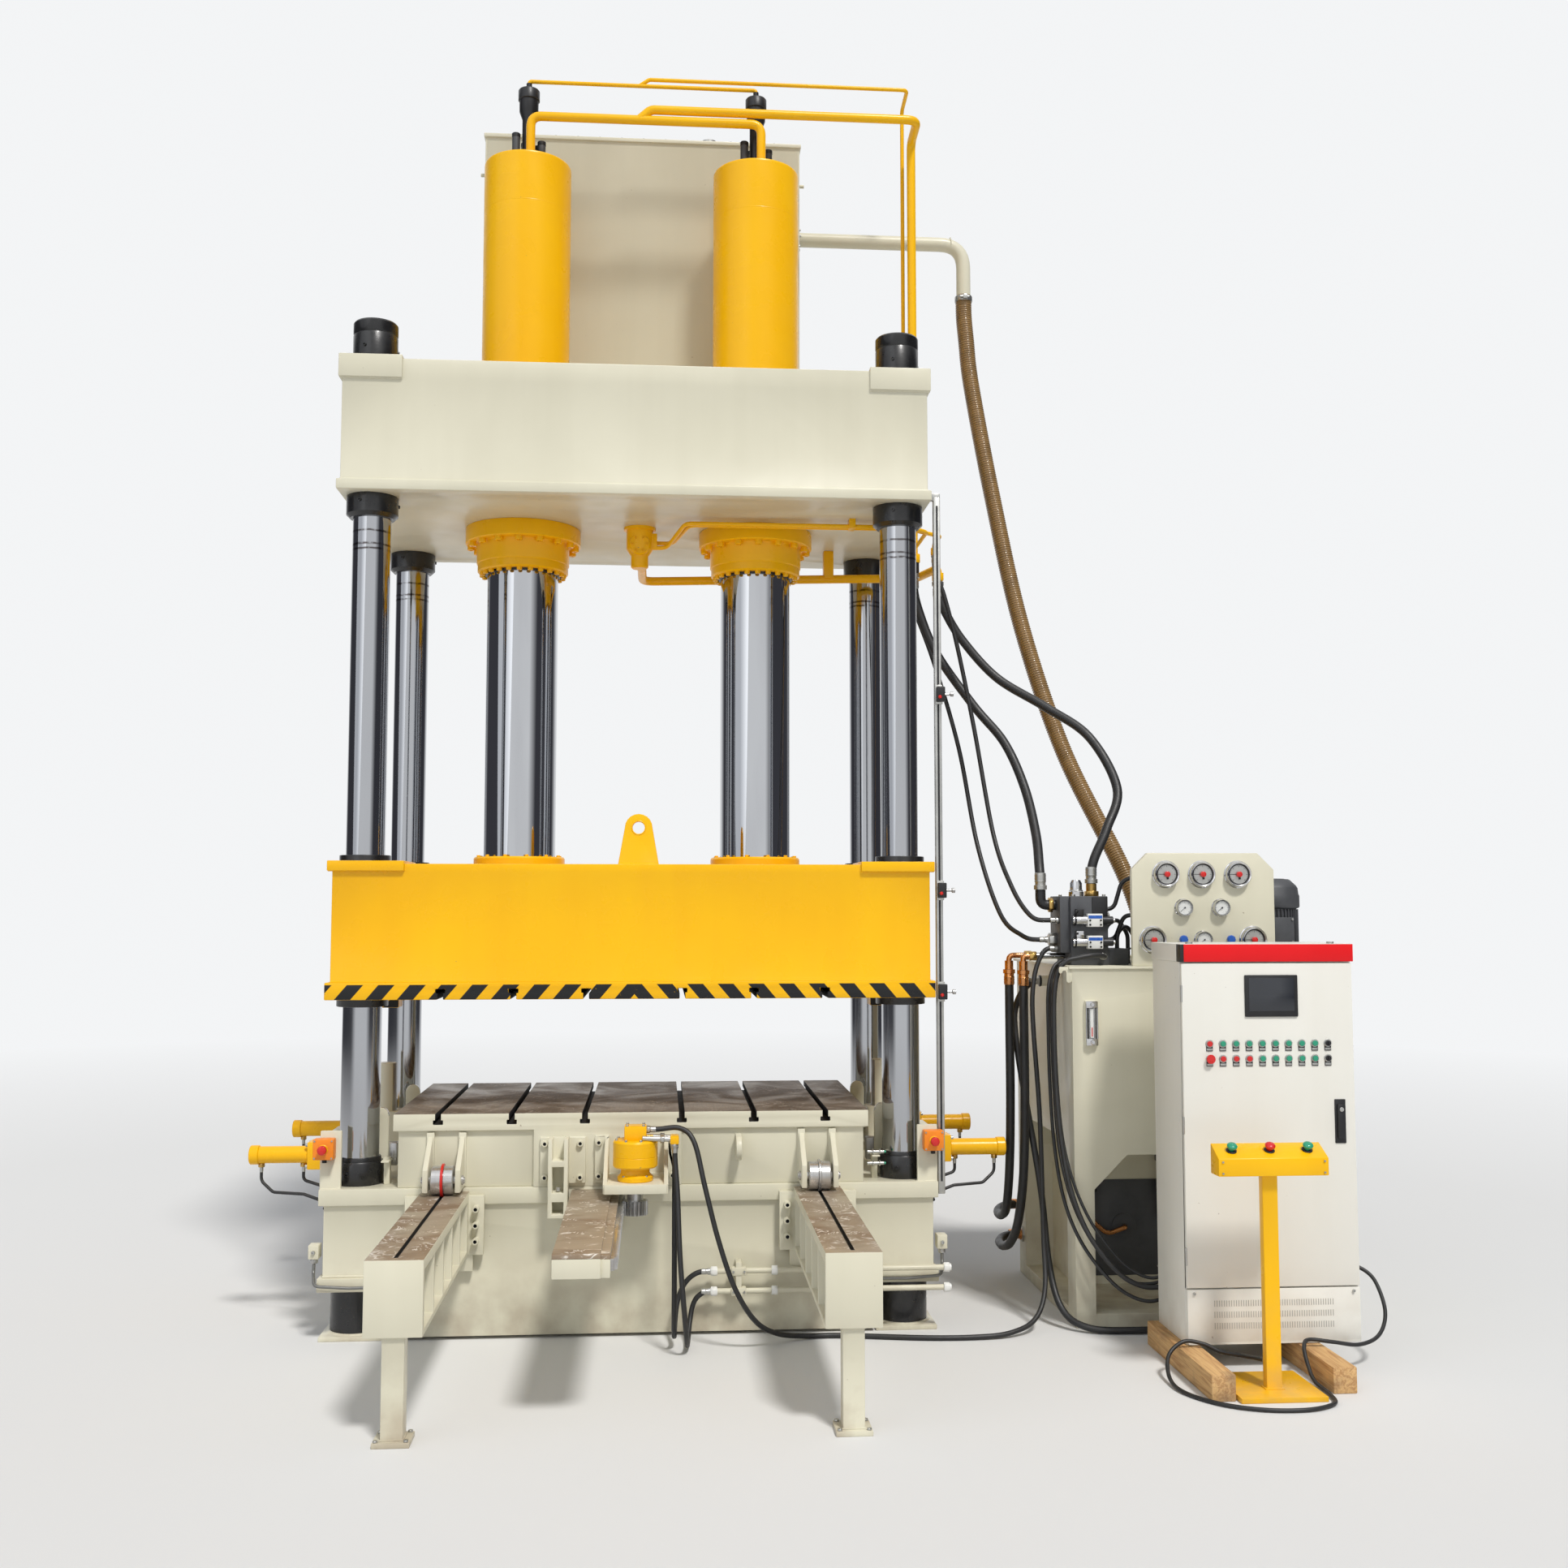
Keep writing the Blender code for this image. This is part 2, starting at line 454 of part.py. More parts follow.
def make_bolster():
    low = BED_TOP + GAP
    inner = 0.43
    solids = [block(-BOLSTER_X, BOLSTER_X, BOLSTER_FRONT, BOLSTER_REAR, low, BOLSTER_TOP)]
    cuts, recesses = [], []
    for x in slots_x():
        recesses += t_slot(x, -1.0, 1.0, BOLSTER_TOP, -1)
    for x0, x1 in ((-BOLSTER_X - 0.01, -inner), (0.21, BOLSTER_X + 0.01)):
        recesses.append(block(x0, x1, BOLSTER_FRONT - 0.1, BOLSTER_FRONT + PANEL_STEP, low - 0.01,
            BOLSTER_TOP - BAND_H))
    for side in (-1, 1):
        recesses.append(block(side * (BOLSTER_X - PANEL_STEP), side * (BOLSTER_X + 0.1),
            BOLSTER_FRONT - 0.1, BOLSTER_REAR + 0.1, low - 0.01, BOLSTER_TOP - BAND_H))
        for x in (side * RAIL_X - 0.068, side * RAIL_X + 0.068):
            ear = [(BOLSTER_FRONT + 0.04, low + 0.005), (ROLLER_Y - 0.06, low + 0.005),
                (ROLLER_Y - 0.06, 0.745), (BOLSTER_FRONT + 0.0, 0.862), (BOLSTER_FRONT + 0.04, 0.862)]
            solids.append(prism(ear, "x", x - 0.011, x + 0.011))
            cuts.append(rod((x - 0.1, ROLLER_Y, RAIL_TOP + GAP + ROLLER_R),
                (x + 0.03, ROLLER_Y, RAIL_TOP + GAP + ROLLER_R), 0.0306, 20))
    # Sensor bracket: a bolted plate with a ladder-shaped frame that reaches below the bolster
    solids.append(block(-0.40, -0.205, BOLSTER_FRONT - 0.02, BOLSTER_FRONT + 0.03, 0.662, 0.857))
    solids.append(block(-0.36, -0.275, BOLSTER_FRONT - 0.11, BOLSTER_FRONT - 0.015, 0.53, 0.862))
    cuts += [block(-0.342, -0.293, BOLSTER_FRONT - 0.2, BOLSTER_FRONT - 0.021, z - half, z + half)
        for z, half in ((0.69, 0.055), (0.572, 0.026))]
    cuts.append(block(-0.342, -0.293, BOLSTER_FRONT - 0.2, BOLSTER_FRONT - 0.035, 0.77, 0.90))
    # Motor bracket: two bolted cheeks and a shelf
    for x0, x1, web in ((-0.165, -0.105, -0.112), (0.135, 0.187, 0.142)):
        solids.append(block(x0, x1, BOLSTER_FRONT - 0.02, BOLSTER_FRONT + 0.03, SHELF_LOW, 0.862))
        cheek = [(BOLSTER_FRONT - 0.01, SHELF_LOW), (MOTOR_Y - 0.10, SHELF_LOW),
            (MOTOR_Y - 0.10, SHELF_HIGH), (BOLSTER_FRONT - 0.06, 0.85), (BOLSTER_FRONT - 0.01, 0.862)]
        solids.append(prism(cheek, "x", web - 0.009, web + 0.009))
    solids.append(block(-0.115, 0.145, MOTOR_Y - 0.115, BOLSTER_FRONT + 0.03, SHELF_LOW, SHELF_HIGH))
    cuts.append(rod((MOTOR_X, MOTOR_Y, 0.6), (MOTOR_X, MOTOR_Y, 0.75), 0.042, 16))
    # Towing eye
    solids.append(rod((0.445, BOLSTER_FRONT - 0.035, 0.806), (0.470, BOLSTER_FRONT - 0.035, 0.806), 0.105,
        20))
    solids.append(block(0.4452, 0.4698, BOLSTER_FRONT - 0.03, BOLSTER_FRONT + 0.03, 0.79, 0.862))
    cuts.append(rod((0.40, BOLSTER_FRONT - 0.04, 0.79), (0.50, BOLSTER_FRONT - 0.04, 0.79), 0.05, 16))
    node("bolster", IVORY, solids, cuts, recesses)


def make_drive():
    z = SHELF_HIGH + GAP
    profile = [
        (0, z - 0.085), (0.020, z - 0.085), (0.020, z), (0.075, z), (0.075, z + 0.02), (0.062, z + 0.03),
        (0.062, 0.757),
        (MOTOR_D / 2 - 0.008, 0.757), (MOTOR_D / 2, 0.766), (MOTOR_D / 2, 0.862),
        (MOTOR_D / 2 - 0.012, 0.872), (0, 0.872),
    ]
    head = block_at(MOTOR_X, MOTOR_Y, 0.895, 0.094, 0.094, 0.07)
    port = block(MOTOR_X + 0.03, 0.195, MOTOR_Y - 0.08, MOTOR_Y + 0.01, 0.86, 0.895)
    node("drive_motor", YELLOW, [turned(profile, (MOTOR_X, MOTOR_Y, 0), 20), head, port])
    wheel = [(0.0206, 0.560), (PINION_R, 0.560), (PINION_R, 0.618), (0.034, 0.618), (0.034, 0.655),
        (0.0206, 0.655), (0.0206, 0.560)]
    node("pinion", STEEL, [turned(wheel, (MOTOR_X, MOTOR_Y, 0), 20)], metallic=1.0)
    for name, side in (("l", -1), ("r", 1)):
        half = ROLLER_W / 2
        roller = [
            (0, -0.086), (0.015, -0.086), (0.015, -half), (ROLLER_R, -half), (ROLLER_R, -0.006),
            (ROLLER_R + 0.009, -0.005), (ROLLER_R + 0.009, 0.005),
            (ROLLER_R, 0.006), (ROLLER_R, half), (0.015, half), (0.015, 0.086), (0, 0.086),
        ]
        place = (side * RAIL_X, ROLLER_Y, RAIL_TOP + GAP + ROLLER_R)
        node(f"roller_{name}", STEEL, [turned(roller, place, 20, "X")], metallic=1.0)


def make_rails():
    back = -BED_Y - GAP
    for name, side in (("l", -1), ("r", 1)):
        x = side * RAIL_X
        solids = [block(x - RAIL_W / 2, x + RAIL_W / 2, RAIL_FRONT, back, RAIL_LOW, RAIL_TOP)]
        cuts = [block(x - 0.007, x + 0.007, RAIL_FRONT + 0.04, back + 0.1, RAIL_TOP - 0.016, RAIL_TOP + 0.1)]
        bays = 5
        bay = (back - 0.05 - (RAIL_FRONT + 0.03)) / bays
        for i in range(bays):
            y0 = RAIL_FRONT + 0.03 + i * bay
            for way in (-1, 1):
                cuts.append(block(x + way * 0.014, x + way * (RAIL_W / 2 + 0.05), y0, y0 + bay - 0.014,
                    RAIL_LOW + 0.02, RAIL_TOP - 0.04))
        # Mounting plate with its step below the rail
        solids.append(block_at(x, back - 0.0175, (RAIL_LOW + RAIL_TOP - 0.015) / 2, RAIL_W + 0.13, 0.035,
            RAIL_TOP - 0.015 - RAIL_LOW))
        solids.append(block_at(x, back - 0.012, RAIL_LOW - 0.03, RAIL_W + 0.04, 0.024, 0.08))
        for way in (-1, 1):
            for z in (0.43, 0.497, 0.565):
                solids.append(rod((x + way * (RAIL_W / 2 + 0.033), back - 0.02, z),
                    (x + way * (RAIL_W / 2 + 0.033), back - 0.055, z), 0.028, 10))
        leg_y = RAIL_FRONT + 0.055
        solids.append(block_at(x, leg_y, (RAIL_LOW + 0.01) / 2 + 0.005, LEG_SIDE, LEG_SIDE, RAIL_LOW))
        solids.append(block_at(x, leg_y, 0.009, LEG_PLATE, LEG_PLATE, 0.018))
        node(f"rail_arm_{name}", IVORY, solids, cuts)
    left, right = RACK_X - RACK_W / 2, RACK_X + RACK_W / 2
    rack_face = MOTOR_X - PINION_R - GAP
    solids = [
        block(left, right - 0.04, RACK_FRONT, back, RACK_LOW, RAIL_TOP),
        block(right - 0.05, right - 0.006, RACK_FRONT + 0.012, back, RACK_LOW - 0.0, RAIL_TOP - 0.008),
        block(right - 0.016, rack_face, RACK_FRONT + 0.02, back, 0.568, 0.610),
        block(left, right, back - 0.03, back, RACK_LOW - 0.09, RACK_LOW + 0.02),
    ]
    node("rack_arm", IVORY, solids)


def make_clamps():
    for name, side, way in (("fl", -1, -1), ("fr", 1, -1), ("rl", -1, 1), ("rr", 1, 1)):
        y = way * CLAMP_Y
        face = BED_X + GAP
        solids = [
            block(side * face, side * (face + 0.11), y - 0.055, y + 0.055, CLAMP_Z - 0.06, CLAMP_Z + 0.06),
            rod((side * (face + 0.10), y, CLAMP_Z), (side * CLAMP_END, y, CLAMP_Z), CLAMP_D),
            rod((side * (CLAMP_END - 0.03), y, CLAMP_Z), (side * (CLAMP_END + 0.01), y, CLAMP_Z),
                CLAMP_D + 0.01),
        ]
        for x in (face + 0.135, CLAMP_END - 0.04):
            solids.append(rod((side * x, y, CLAMP_Z - 0.02), (side * x, y, CLAMP_Z - 0.075), 0.024, 6))
        cuts = [rod((side * (face - 0.1), y, CLAMP_Z), (side * (CLAMP_END - 0.03), y, CLAMP_Z),
            CLAMP_ROD_D + 2 * GAP)]
        node(f"clamp_cyl_{name}", YELLOW, solids, cuts)
        shaft = rod((side * 1.10, y, CLAMP_Z), (side * 1.56, y, CLAMP_Z), CLAMP_ROD_D)
        jaw = block(side * 1.06, side * 1.115, y - 0.027, y + 0.027, CLAMP_Z - 0.05, CLAMP_Z + 0.05)
        node(f"clamp_rod_{name}", CHROME, [shaft, jaw], metallic=1.0, roughness=0.2)


def make_top_tank():
    solids = [block(-TANK_X, TANK_X, TANK_FRONT, TANK_REAR, BEAM_HIGH + GAP, TANK_TOP - 0.01)]
    solids.append(block(-TANK_X - 0.012, TANK_X + 0.012, TANK_FRONT - 0.012, TANK_REAR + 0.012,
        TANK_TOP - 0.02, TANK_TOP))
    for side in (-1, 1):
        solids.append(rod((side * (TANK_X - 0.02), TANK_FRONT + 0.08, 5.70),
            (side * (TANK_X + 0.035), TANK_FRONT + 0.08, 5.70), 0.02, 8))
    solids.append(rod((0.35, 0.53, TANK_TOP - 0.02), (0.35, 0.53, TANK_TOP + 0.06), 0.10, 16))
    node("oil_tank", IVORY, solids)
    run = [(TANK_X + GAP, SUCTION_Y, SUCTION_Z), (SUCTION_X, SUCTION_Y, SUCTION_Z),
        (SUCTION_X, SUCTION_Y, SUCTION_LOW)]
    flange = rod((TANK_X + GAP, SUCTION_Y, SUCTION_Z), (TANK_X + 0.015, SUCTION_Y, SUCTION_Z), 0.13, 20)
    node("suction_pipe", IVORY, [pipe(run, SUCTION_D, 0.11, 3), flange])


def make_high_pipes():
    high = MAIN_PIPE_Z + PIPE_RISE
    left, right, tee = -RAM_X + 0.02, RAM_X + 0.02, 0.01
    base = BARREL_TOP + GAP
    low_run = [(left, MAIN_PIPE_Y, base), (left, MAIN_PIPE_Y, MAIN_PIPE_Z),
        (right, MAIN_PIPE_Y, MAIN_PIPE_Z), (right, MAIN_PIPE_Y, base)]
    high_run = [(tee - 0.03, MAIN_PIPE_Y, MAIN_PIPE_Z), (tee + 0.03, MAIN_PIPE_Y, high),
        (MAIN_PIPE_X, MAIN_PIPE_Y, high), (MAIN_PIPE_X, PIPE_FALL_Y, high - 0.02),
        (MAIN_PIPE_X, PIPE_FALL_Y, 3.60)]
    clamp = block(BEAM_X + GAP, MAIN_PIPE_X, PIPE_FALL_Y - 0.03, PIPE_FALL_Y + 0.03, 3.97, 4.02)
    fitting = rod((MAIN_PIPE_X, PIPE_FALL_Y, 3.64), (MAIN_PIPE_X, PIPE_FALL_Y, 3.54), 0.058, 12)
    node("pressure_pipe", YELLOW, [pipe(low_run, MAIN_PIPE_D, 0.05), pipe(high_run, MAIN_PIPE_D, 0.05),
        clamp, fitting])
    # The prefill valve on each cylinder, joined by the thin pilot pipe
    solids = []
    for side in (-1, 1):
        valve = [
            (0, base), (0.08, base), (0.08, base + 0.02), (0.032, base + 0.02), (0.032, 5.80),
            (0.048, 5.84), (0.048, 5.90),
            (0.052, 5.902), (0.052, 5.955), (0.012, 5.962), (0.012, 5.99), (0, 5.99),
        ]
        solids.append(turned(valve, (side * RAM_X, 0, 0), 12))
        for x, y in ((-0.06, -0.02), (0.062, 0.02), (0.0, 0.065)):
            solids.append(rod((side * RAM_X + x, y, base + 0.01), (side * RAM_X + x, y, base + 0.17), 0.038,
                6))
    low_pilot = [(-RAM_X, 0, 5.975), (-RAM_X, 0, PILOT_Z), (RAM_X, 0, PILOT_Z), (RAM_X, 0, 5.975)]
    pilot_high = PILOT_Z + 0.035
    high_pilot = [(tee - 0.03, 0, PILOT_Z), (tee + 0.02, 0, pilot_high), (PILOT_X, 0, pilot_high),
        (PILOT_X, PIPE_FALL_Y + 0.08, pilot_high - 0.02), (PILOT_X, PIPE_FALL_Y + 0.08, 3.58)]
    solids += [pipe(low_pilot, PILOT_D, 0.025), pipe(high_pilot, PILOT_D, 0.03)]
    solids.append(block(BEAM_X + GAP, PILOT_X, PIPE_FALL_Y + 0.065, PIPE_FALL_Y + 0.095, 3.97, 4.0))
    node("pilot_line", YELLOW, solids)
    # Exhaust valve under the beam, with two thin lines and one thick line to the right
    top = BEAM_LOW - GAP
    solids = [
        rod((0.0, -0.10, top), (0.0, -0.10, 3.585), 0.13, 12),
        rod((0.0, -0.16, 3.61), (0.0, -0.03, 3.61), 0.105, 12),
        rod((0.0, -0.10, 3.62), (0.0, -0.10, 3.50), 0.085, 12),
        block(0.03, 0.085, -0.13, -0.07, 3.60, 3.67),
        pipe([(0.03, -0.09, 3.63), (0.16, -0.09, 3.63), (0.24, -0.33, 3.665), (1.30, -0.33, 3.665),
            (1.47, -0.20, 3.665), (1.47, -0.02, 3.665), (1.47, -0.02, 3.61)], 0.02, 0.05),
        pipe([(0.03, -0.12, 3.60), (0.13, -0.12, 3.60), (0.22, -0.365, 3.665), (1.30, -0.365, 3.665),
            (MAIN_PIPE_X, -0.30, 3.66), (MAIN_PIPE_X, PIPE_FALL_Y - MAIN_PIPE_D / 2 - 0.001, 3.66)], 0.02,
            0.05),
        pipe([(0.01, -0.09, 3.53), (0.01, 0.35, 3.53), (1.44, 0.35, 3.57), (1.51, 0.10, 3.57),
            (1.51, 0.10, 3.50)], 0.044, 0.06),
        block(1.00, 1.03, -0.385, -0.31, 3.655, top),
        block(0.95, 1.00, 0.315, 0.385, 3.56, top),
    ]
    node("exhaust_line", YELLOW, solids)


def make_sensor_rail():
    x0, x1, y0, y1 = BED_X + 0.0053, BED_X + 0.036, -0.725, -0.695
    solids = [
        block(x0, x1, y0, y1, 0.585, 3.72),
        block(BED_X + GAP, x1, y0 + 0.003, y1 - 0.003, 0.59, 0.63),
        block(BEAM_X + LIP + GAP, x1, y0 + 0.003, y1 - 0.003, 3.705, 3.74),
    ]
    for z in (2.81, 1.925, 1.474):
        solids.append(block(x0 + 0.004, x1 + 0.012, y0 - 0.03, y0 + 0.005, z - 0.035, z + 0.035))
        solids.append(rod((x1, y0 - 0.012, z), (x1 + 0.05, y0 - 0.012, z), 0.014, 8))
    node("sensor_rail", STEEL, solids, metallic=1.0)


def make_estops():
    for name, side, z in (("l", -1, 0.819), ("r", 1, 0.827)):
        x, face = side * 1.316, -BED_Y + 0.02 - GAP
        box = block(x - 0.044, x + 0.044, face - 0.058, face, z - 0.044, z + 0.044)
        stem = rod((x, face - 0.1, z), (x, face - 0.03, z), 0.0226, 12)
        node(f"estop_box_{name}", YELLOW, [box], [stem], bevel=0.004)
        front = face - 0.058
        button = turned([(0, -0.018), (0.011, -0.018), (0.011, 0.012), (0.015, 0.012), (0.02, 0.02),
            (0.02, 0.027), (0.014, 0.033), (0, 0.035)], (0, 0, 0), 12, "Y")
        button.data.transform(Matrix.Translation((x, front, z)) @ Matrix.Rotation(math.pi, 4, "Z"))
        node(f"estop_button_{name}", RED, [button])


def make_hardlines():
    y = -BED_Y - 0.045
    solids = [block(0.44, 0.475, -BED_Y - 0.065, -BED_Y + BED_STEP - GAP, 0.165, 0.325)]
    for z in (0.285, 0.20):
        solids.append(pipe([(0.335, y, z), (1.375, y, z)], 0.026))
        solids.append(rod((0.335, y, z), (0.375, y, z), 0.038, 8))
        solids.append(rod((1.345, y, z), (1.385, y, z), 0.038, 8))
    node("hardlines", IVORY, solids)


def make_power_unit():
    solids = [block(UNIT_X0, UNIT_X1, UNIT_FRONT, UNIT_REAR, 0.0, UNIT_TOP)]
    solids.append(block(UNIT_X0 - 0.015, UNIT_X1 + 0.015, UNIT_FRONT - 0.01, UNIT_REAR + 0.015,
        UNIT_TOP - 0.012, UNIT_TOP))
    # Open bay for the pumps, reached from the front, with chamfered top corners
    bay = [(2.04, -0.1), (2.04, 0.60), (2.19, 0.75), (2.80, 0.75), (2.95, 0.60), (2.95, -0.1)]
    cuts = [prism([(x, max(z, 0.06)) for x, z in bay], "y", UNIT_FRONT - 0.1, UNIT_FRONT + 0.55)]
    # The same bay opens in the left side, behind the corner post
    side_bay = [(-0.62, 0.06), (-0.62, 0.66), (-0.50, 0.80), (0.08, 0.80), (0.20, 0.66), (0.20, 0.06)]
    cuts.append(prism(side_bay, "x", UNIT_X0 - 0.1, UNIT_X0 + 0.14))
    solids.append(block(2.004, 2.062, UNIT_FRONT - 0.018, UNIT_FRONT + 0.01, 1.233, 1.434))
    solids.append(rod((2.47, -0.13, UNIT_TOP - 0.02), (2.47, -0.13, UNIT_TOP + 0.06), 0.10))
    solids.append(rod((UNIT_X0 + 0.01, -0.30, 1.50), (UNIT_X0 - 0.03, -0.30, 1.50), 0.05))
    node("power_tank", IVORY, solids, cuts)
    low, cut = UNIT_TOP + GAP, 0.075
    outline = [(PANEL_X0, low), (PANEL_X1, low), (PANEL_X1, PANEL_TOP - cut), (PANEL_X1 - cut, PANEL_TOP),
        (PANEL_X0 + cut, PANEL_TOP), (PANEL_X0, PANEL_TOP - cut)]
    y = UNIT_FRONT + 0.005
    solids = [prism(outline, "y", y, y + PANEL_T)]
    for x in (2.389, 2.5545, 2.722):
        solids.append(rod((x, y - 0.03, 1.998), (x, y + 0.01, 1.998), 0.118, 12))
    for x in (2.468, 2.640):
        solids.append(rod((x, y - 0.025, 1.847), (x, y + 0.01, 1.847), 0.078, 12))
    for x in (2.324, 2.787):
        solids.append(rod((x, y - 0.03, 1.703), (x, y + 0.01, 1.703), 0.118, 12))
    solids.append(rod((2.556, y - 0.025, 1.703), (2.556, y + 0.01, 1.703), 0.078, 12))
    for x in (2.459, 2.678):
        solids.append(rod((x, y - 0.04, 1.705), (x, y + 0.01, 1.705), 0.036, 10))
    for x in (PANEL_X0 + 0.05, PANEL_X1 - 0.12):
        solids.append(prism([(y + PANEL_T - 0.005, low), (y + 0.20, low),
            (y + PANEL_T - 0.005, low + 0.30)], "x", x - 0.004, x + 0.004))
    node("gauge_panel", IVORY, solids)
    # Manifold with its valves
    solids = [
        block(1.985, 2.16, -0.62, -0.36, low, 1.90),
        block(1.94, 2.02, -0.60, -0.42, 1.64, 1.90),
        block(2.00, 2.15, -0.655, -0.60, 1.66, 1.72),
        block(2.00, 2.15, -0.655, -0.60, 1.76, 1.82),
        rod((2.03, -0.55, 1.88), (2.03, -0.55, 1.975), 0.07, 12),
        rod((2.13, -0.45, 1.88), (2.13, -0.45, 1.96), 0.06, 12),
        pipe([(1.96, -0.52, 1.86), (1.87, -0.52, 1.86), (1.87, -0.52, 1.93)], 0.05, 0.03),
        rod((1.90, -0.52, 1.70), (1.96, -0.52, 1.70), 0.06, 12),
        rod((2.14, -0.50, 1.80), (2.20, -0.50, 1.80), 0.06, 12),
        block(2.10, 2.26, -0.60, -0.42, low, 1.66),
    ]
    node("valve_block", GRAPHITE, solids, metallic=0.6)
    # Pump motor standing on the tank, with its fan cover at the top and its terminal box in front
    body = [
        (0, 0), (0.145, 0), (0.145, 0.02), (0.12, 0.024), (0.12, 0.045), (0.143, 0.06),
        (0.143, PUMP_H - 0.135), (0.150, PUMP_H - 0.13),
        (0.150, PUMP_H - 0.075), (0.143, PUMP_H - 0.07), (0.143, PUMP_H - 0.04), (0.105, PUMP_H), (0, PUMP_H),
    ]
    solids = [turned(body, (PUMP_X, PUMP_Y, low), 24), block(PUMP_X - 0.055, PUMP_X + 0.055, PUMP_Y - 0.185,
        PUMP_Y - 0.10, low + 0.10, low + 0.215)]
    node("pump_motor", GRAPHITE, solids, metallic=0.4)


def make_cabinet():
    x0, x1, back = CAB_X - CAB_W / 2, CAB_X + CAB_W / 2, CAB_FRONT + CAB_DEEP
    low = CAB_LOW + GAP
    solids = [block(x0, x1, CAB_FRONT, back, low, CAB_TOP)]
    solids.append(block(x0 - 0.004, x1 + 0.004, CAB_FRONT - 0.025, back + 0.004, 1.628, CAB_TOP))
    solids.append(block(x0 + 0.002, x1 - 0.002, CAB_FRONT - 0.02, CAB_FRONT + 0.01, low + 0.002,
        DOOR_LOW - 0.006))
    solids.append(rod((x1 - 0.01, back - 0.10, 0.34), (x1 + 0.05, back - 0.10, 0.34), 0.05, 12))
    cuts = [block(x0 + 0.03, x1 - 0.03, CAB_FRONT - 0.1, back - 0.03, DOOR_LOW + 0.03, 1.60)]
    node("cabinet_body", IVORY, solids, cuts)
    front = CAB_FRONT - GAP - DOOR_T
    solids = [
        block(x0 + 0.002, x1 - 0.002, front, CAB_FRONT - GAP, DOOR_LOW, DOOR_HIGH),
        block(2.489, 2.711, front - 0.008, front + 0.005, 1.405, 1.574),
        block(x1 - 0.086, x1 - 0.048, front - 0.018, front + 0.005, 0.905, 1.058),
    ]
    for row, z in enumerate((1.297, 1.236)):
        for i in range(10):
            x = 2.338 + i * 0.055
            big = row == 1 and i == 0
            solids.append(rod((x, front - (0.024 if big else 0.012), z), (x, front + 0.005, z), 0.038
                if big else 0.028, 8))
    node("cabinet_door", IVORY, solids)
    for name, x, reach in (("l", TIMBER_L, 0.41), ("r", TIMBER_R, 0.35)):
        node(f"timber_{name}", WOOD, [block(x, x + TIMBER_W, CAB_FRONT - reach, back + 0.03, 0.0, CAB_LOW)],
            roughness=0.8)


def make_pedestal():
    low, front_top, back_top = PED_BOX_LOW, PED_BOX_LOW + PED_FACE_H, PED_BOX_LOW + PED_FACE_H + PED_RISE
    outline = [(PED_BOX_Y0, low), (PED_BOX_Y1, low), (PED_BOX_Y1, back_top), (PED_BOX_Y0, front_top)]
    solids = [
        prism(outline, "x", PED_X - PED_BOX_W / 2, PED_X + PED_BOX_W / 2),
        block_at(PED_X, PED_Y, (low + 0.02) / 2, PED_POST_W, PED_POST_D, low),
        block(PED_X - PED_BASE_W / 2, PED_X + PED_BASE_W / 2, PED_Y - 0.125, PED_Y + 0.215, 0.0, 0.02),
        rod((PED_X, PED_Y, 0.10), (PED_X, PED_Y + 0.05, 0.10), 0.03, 12),
    ]
    slope = math.atan2(PED_RISE, PED_BOX_Y1 - PED_BOX_Y0)
    middle = (PED_BOX_Y0 + PED_BOX_Y1) / 2
    cuts = []
    for name, i in (("start", -1), ("stop", 0), ("return", 1)):
        place = Matrix.Translation((PED_X + i * PED_BUTTON_PITCH, middle, (front_top + back_top) / 2))
        seat = place @ Matrix.Rotation(slope, 4, "X")
        hole = rod((0, 0, -0.03), (0, 0, 0.1), 0.0226, 12)
        hole.data.transform(seat)
        cuts.append(hole)
        cap = turned([(0, -0.022), (0.011, -0.022), (0.011, 0.010), (0.016, 0.010), (0.02, 0.017),
            (0.02, 0.024), (0.014, 0.03), (0, 0.032)], (0, 0, 0), 12)
        cap.data.transform(seat)
        node(f"pedestal_button_{name}", RED if i == 0 else GREEN, [cap])
    node("pedestal", YELLOW, solids, cuts)


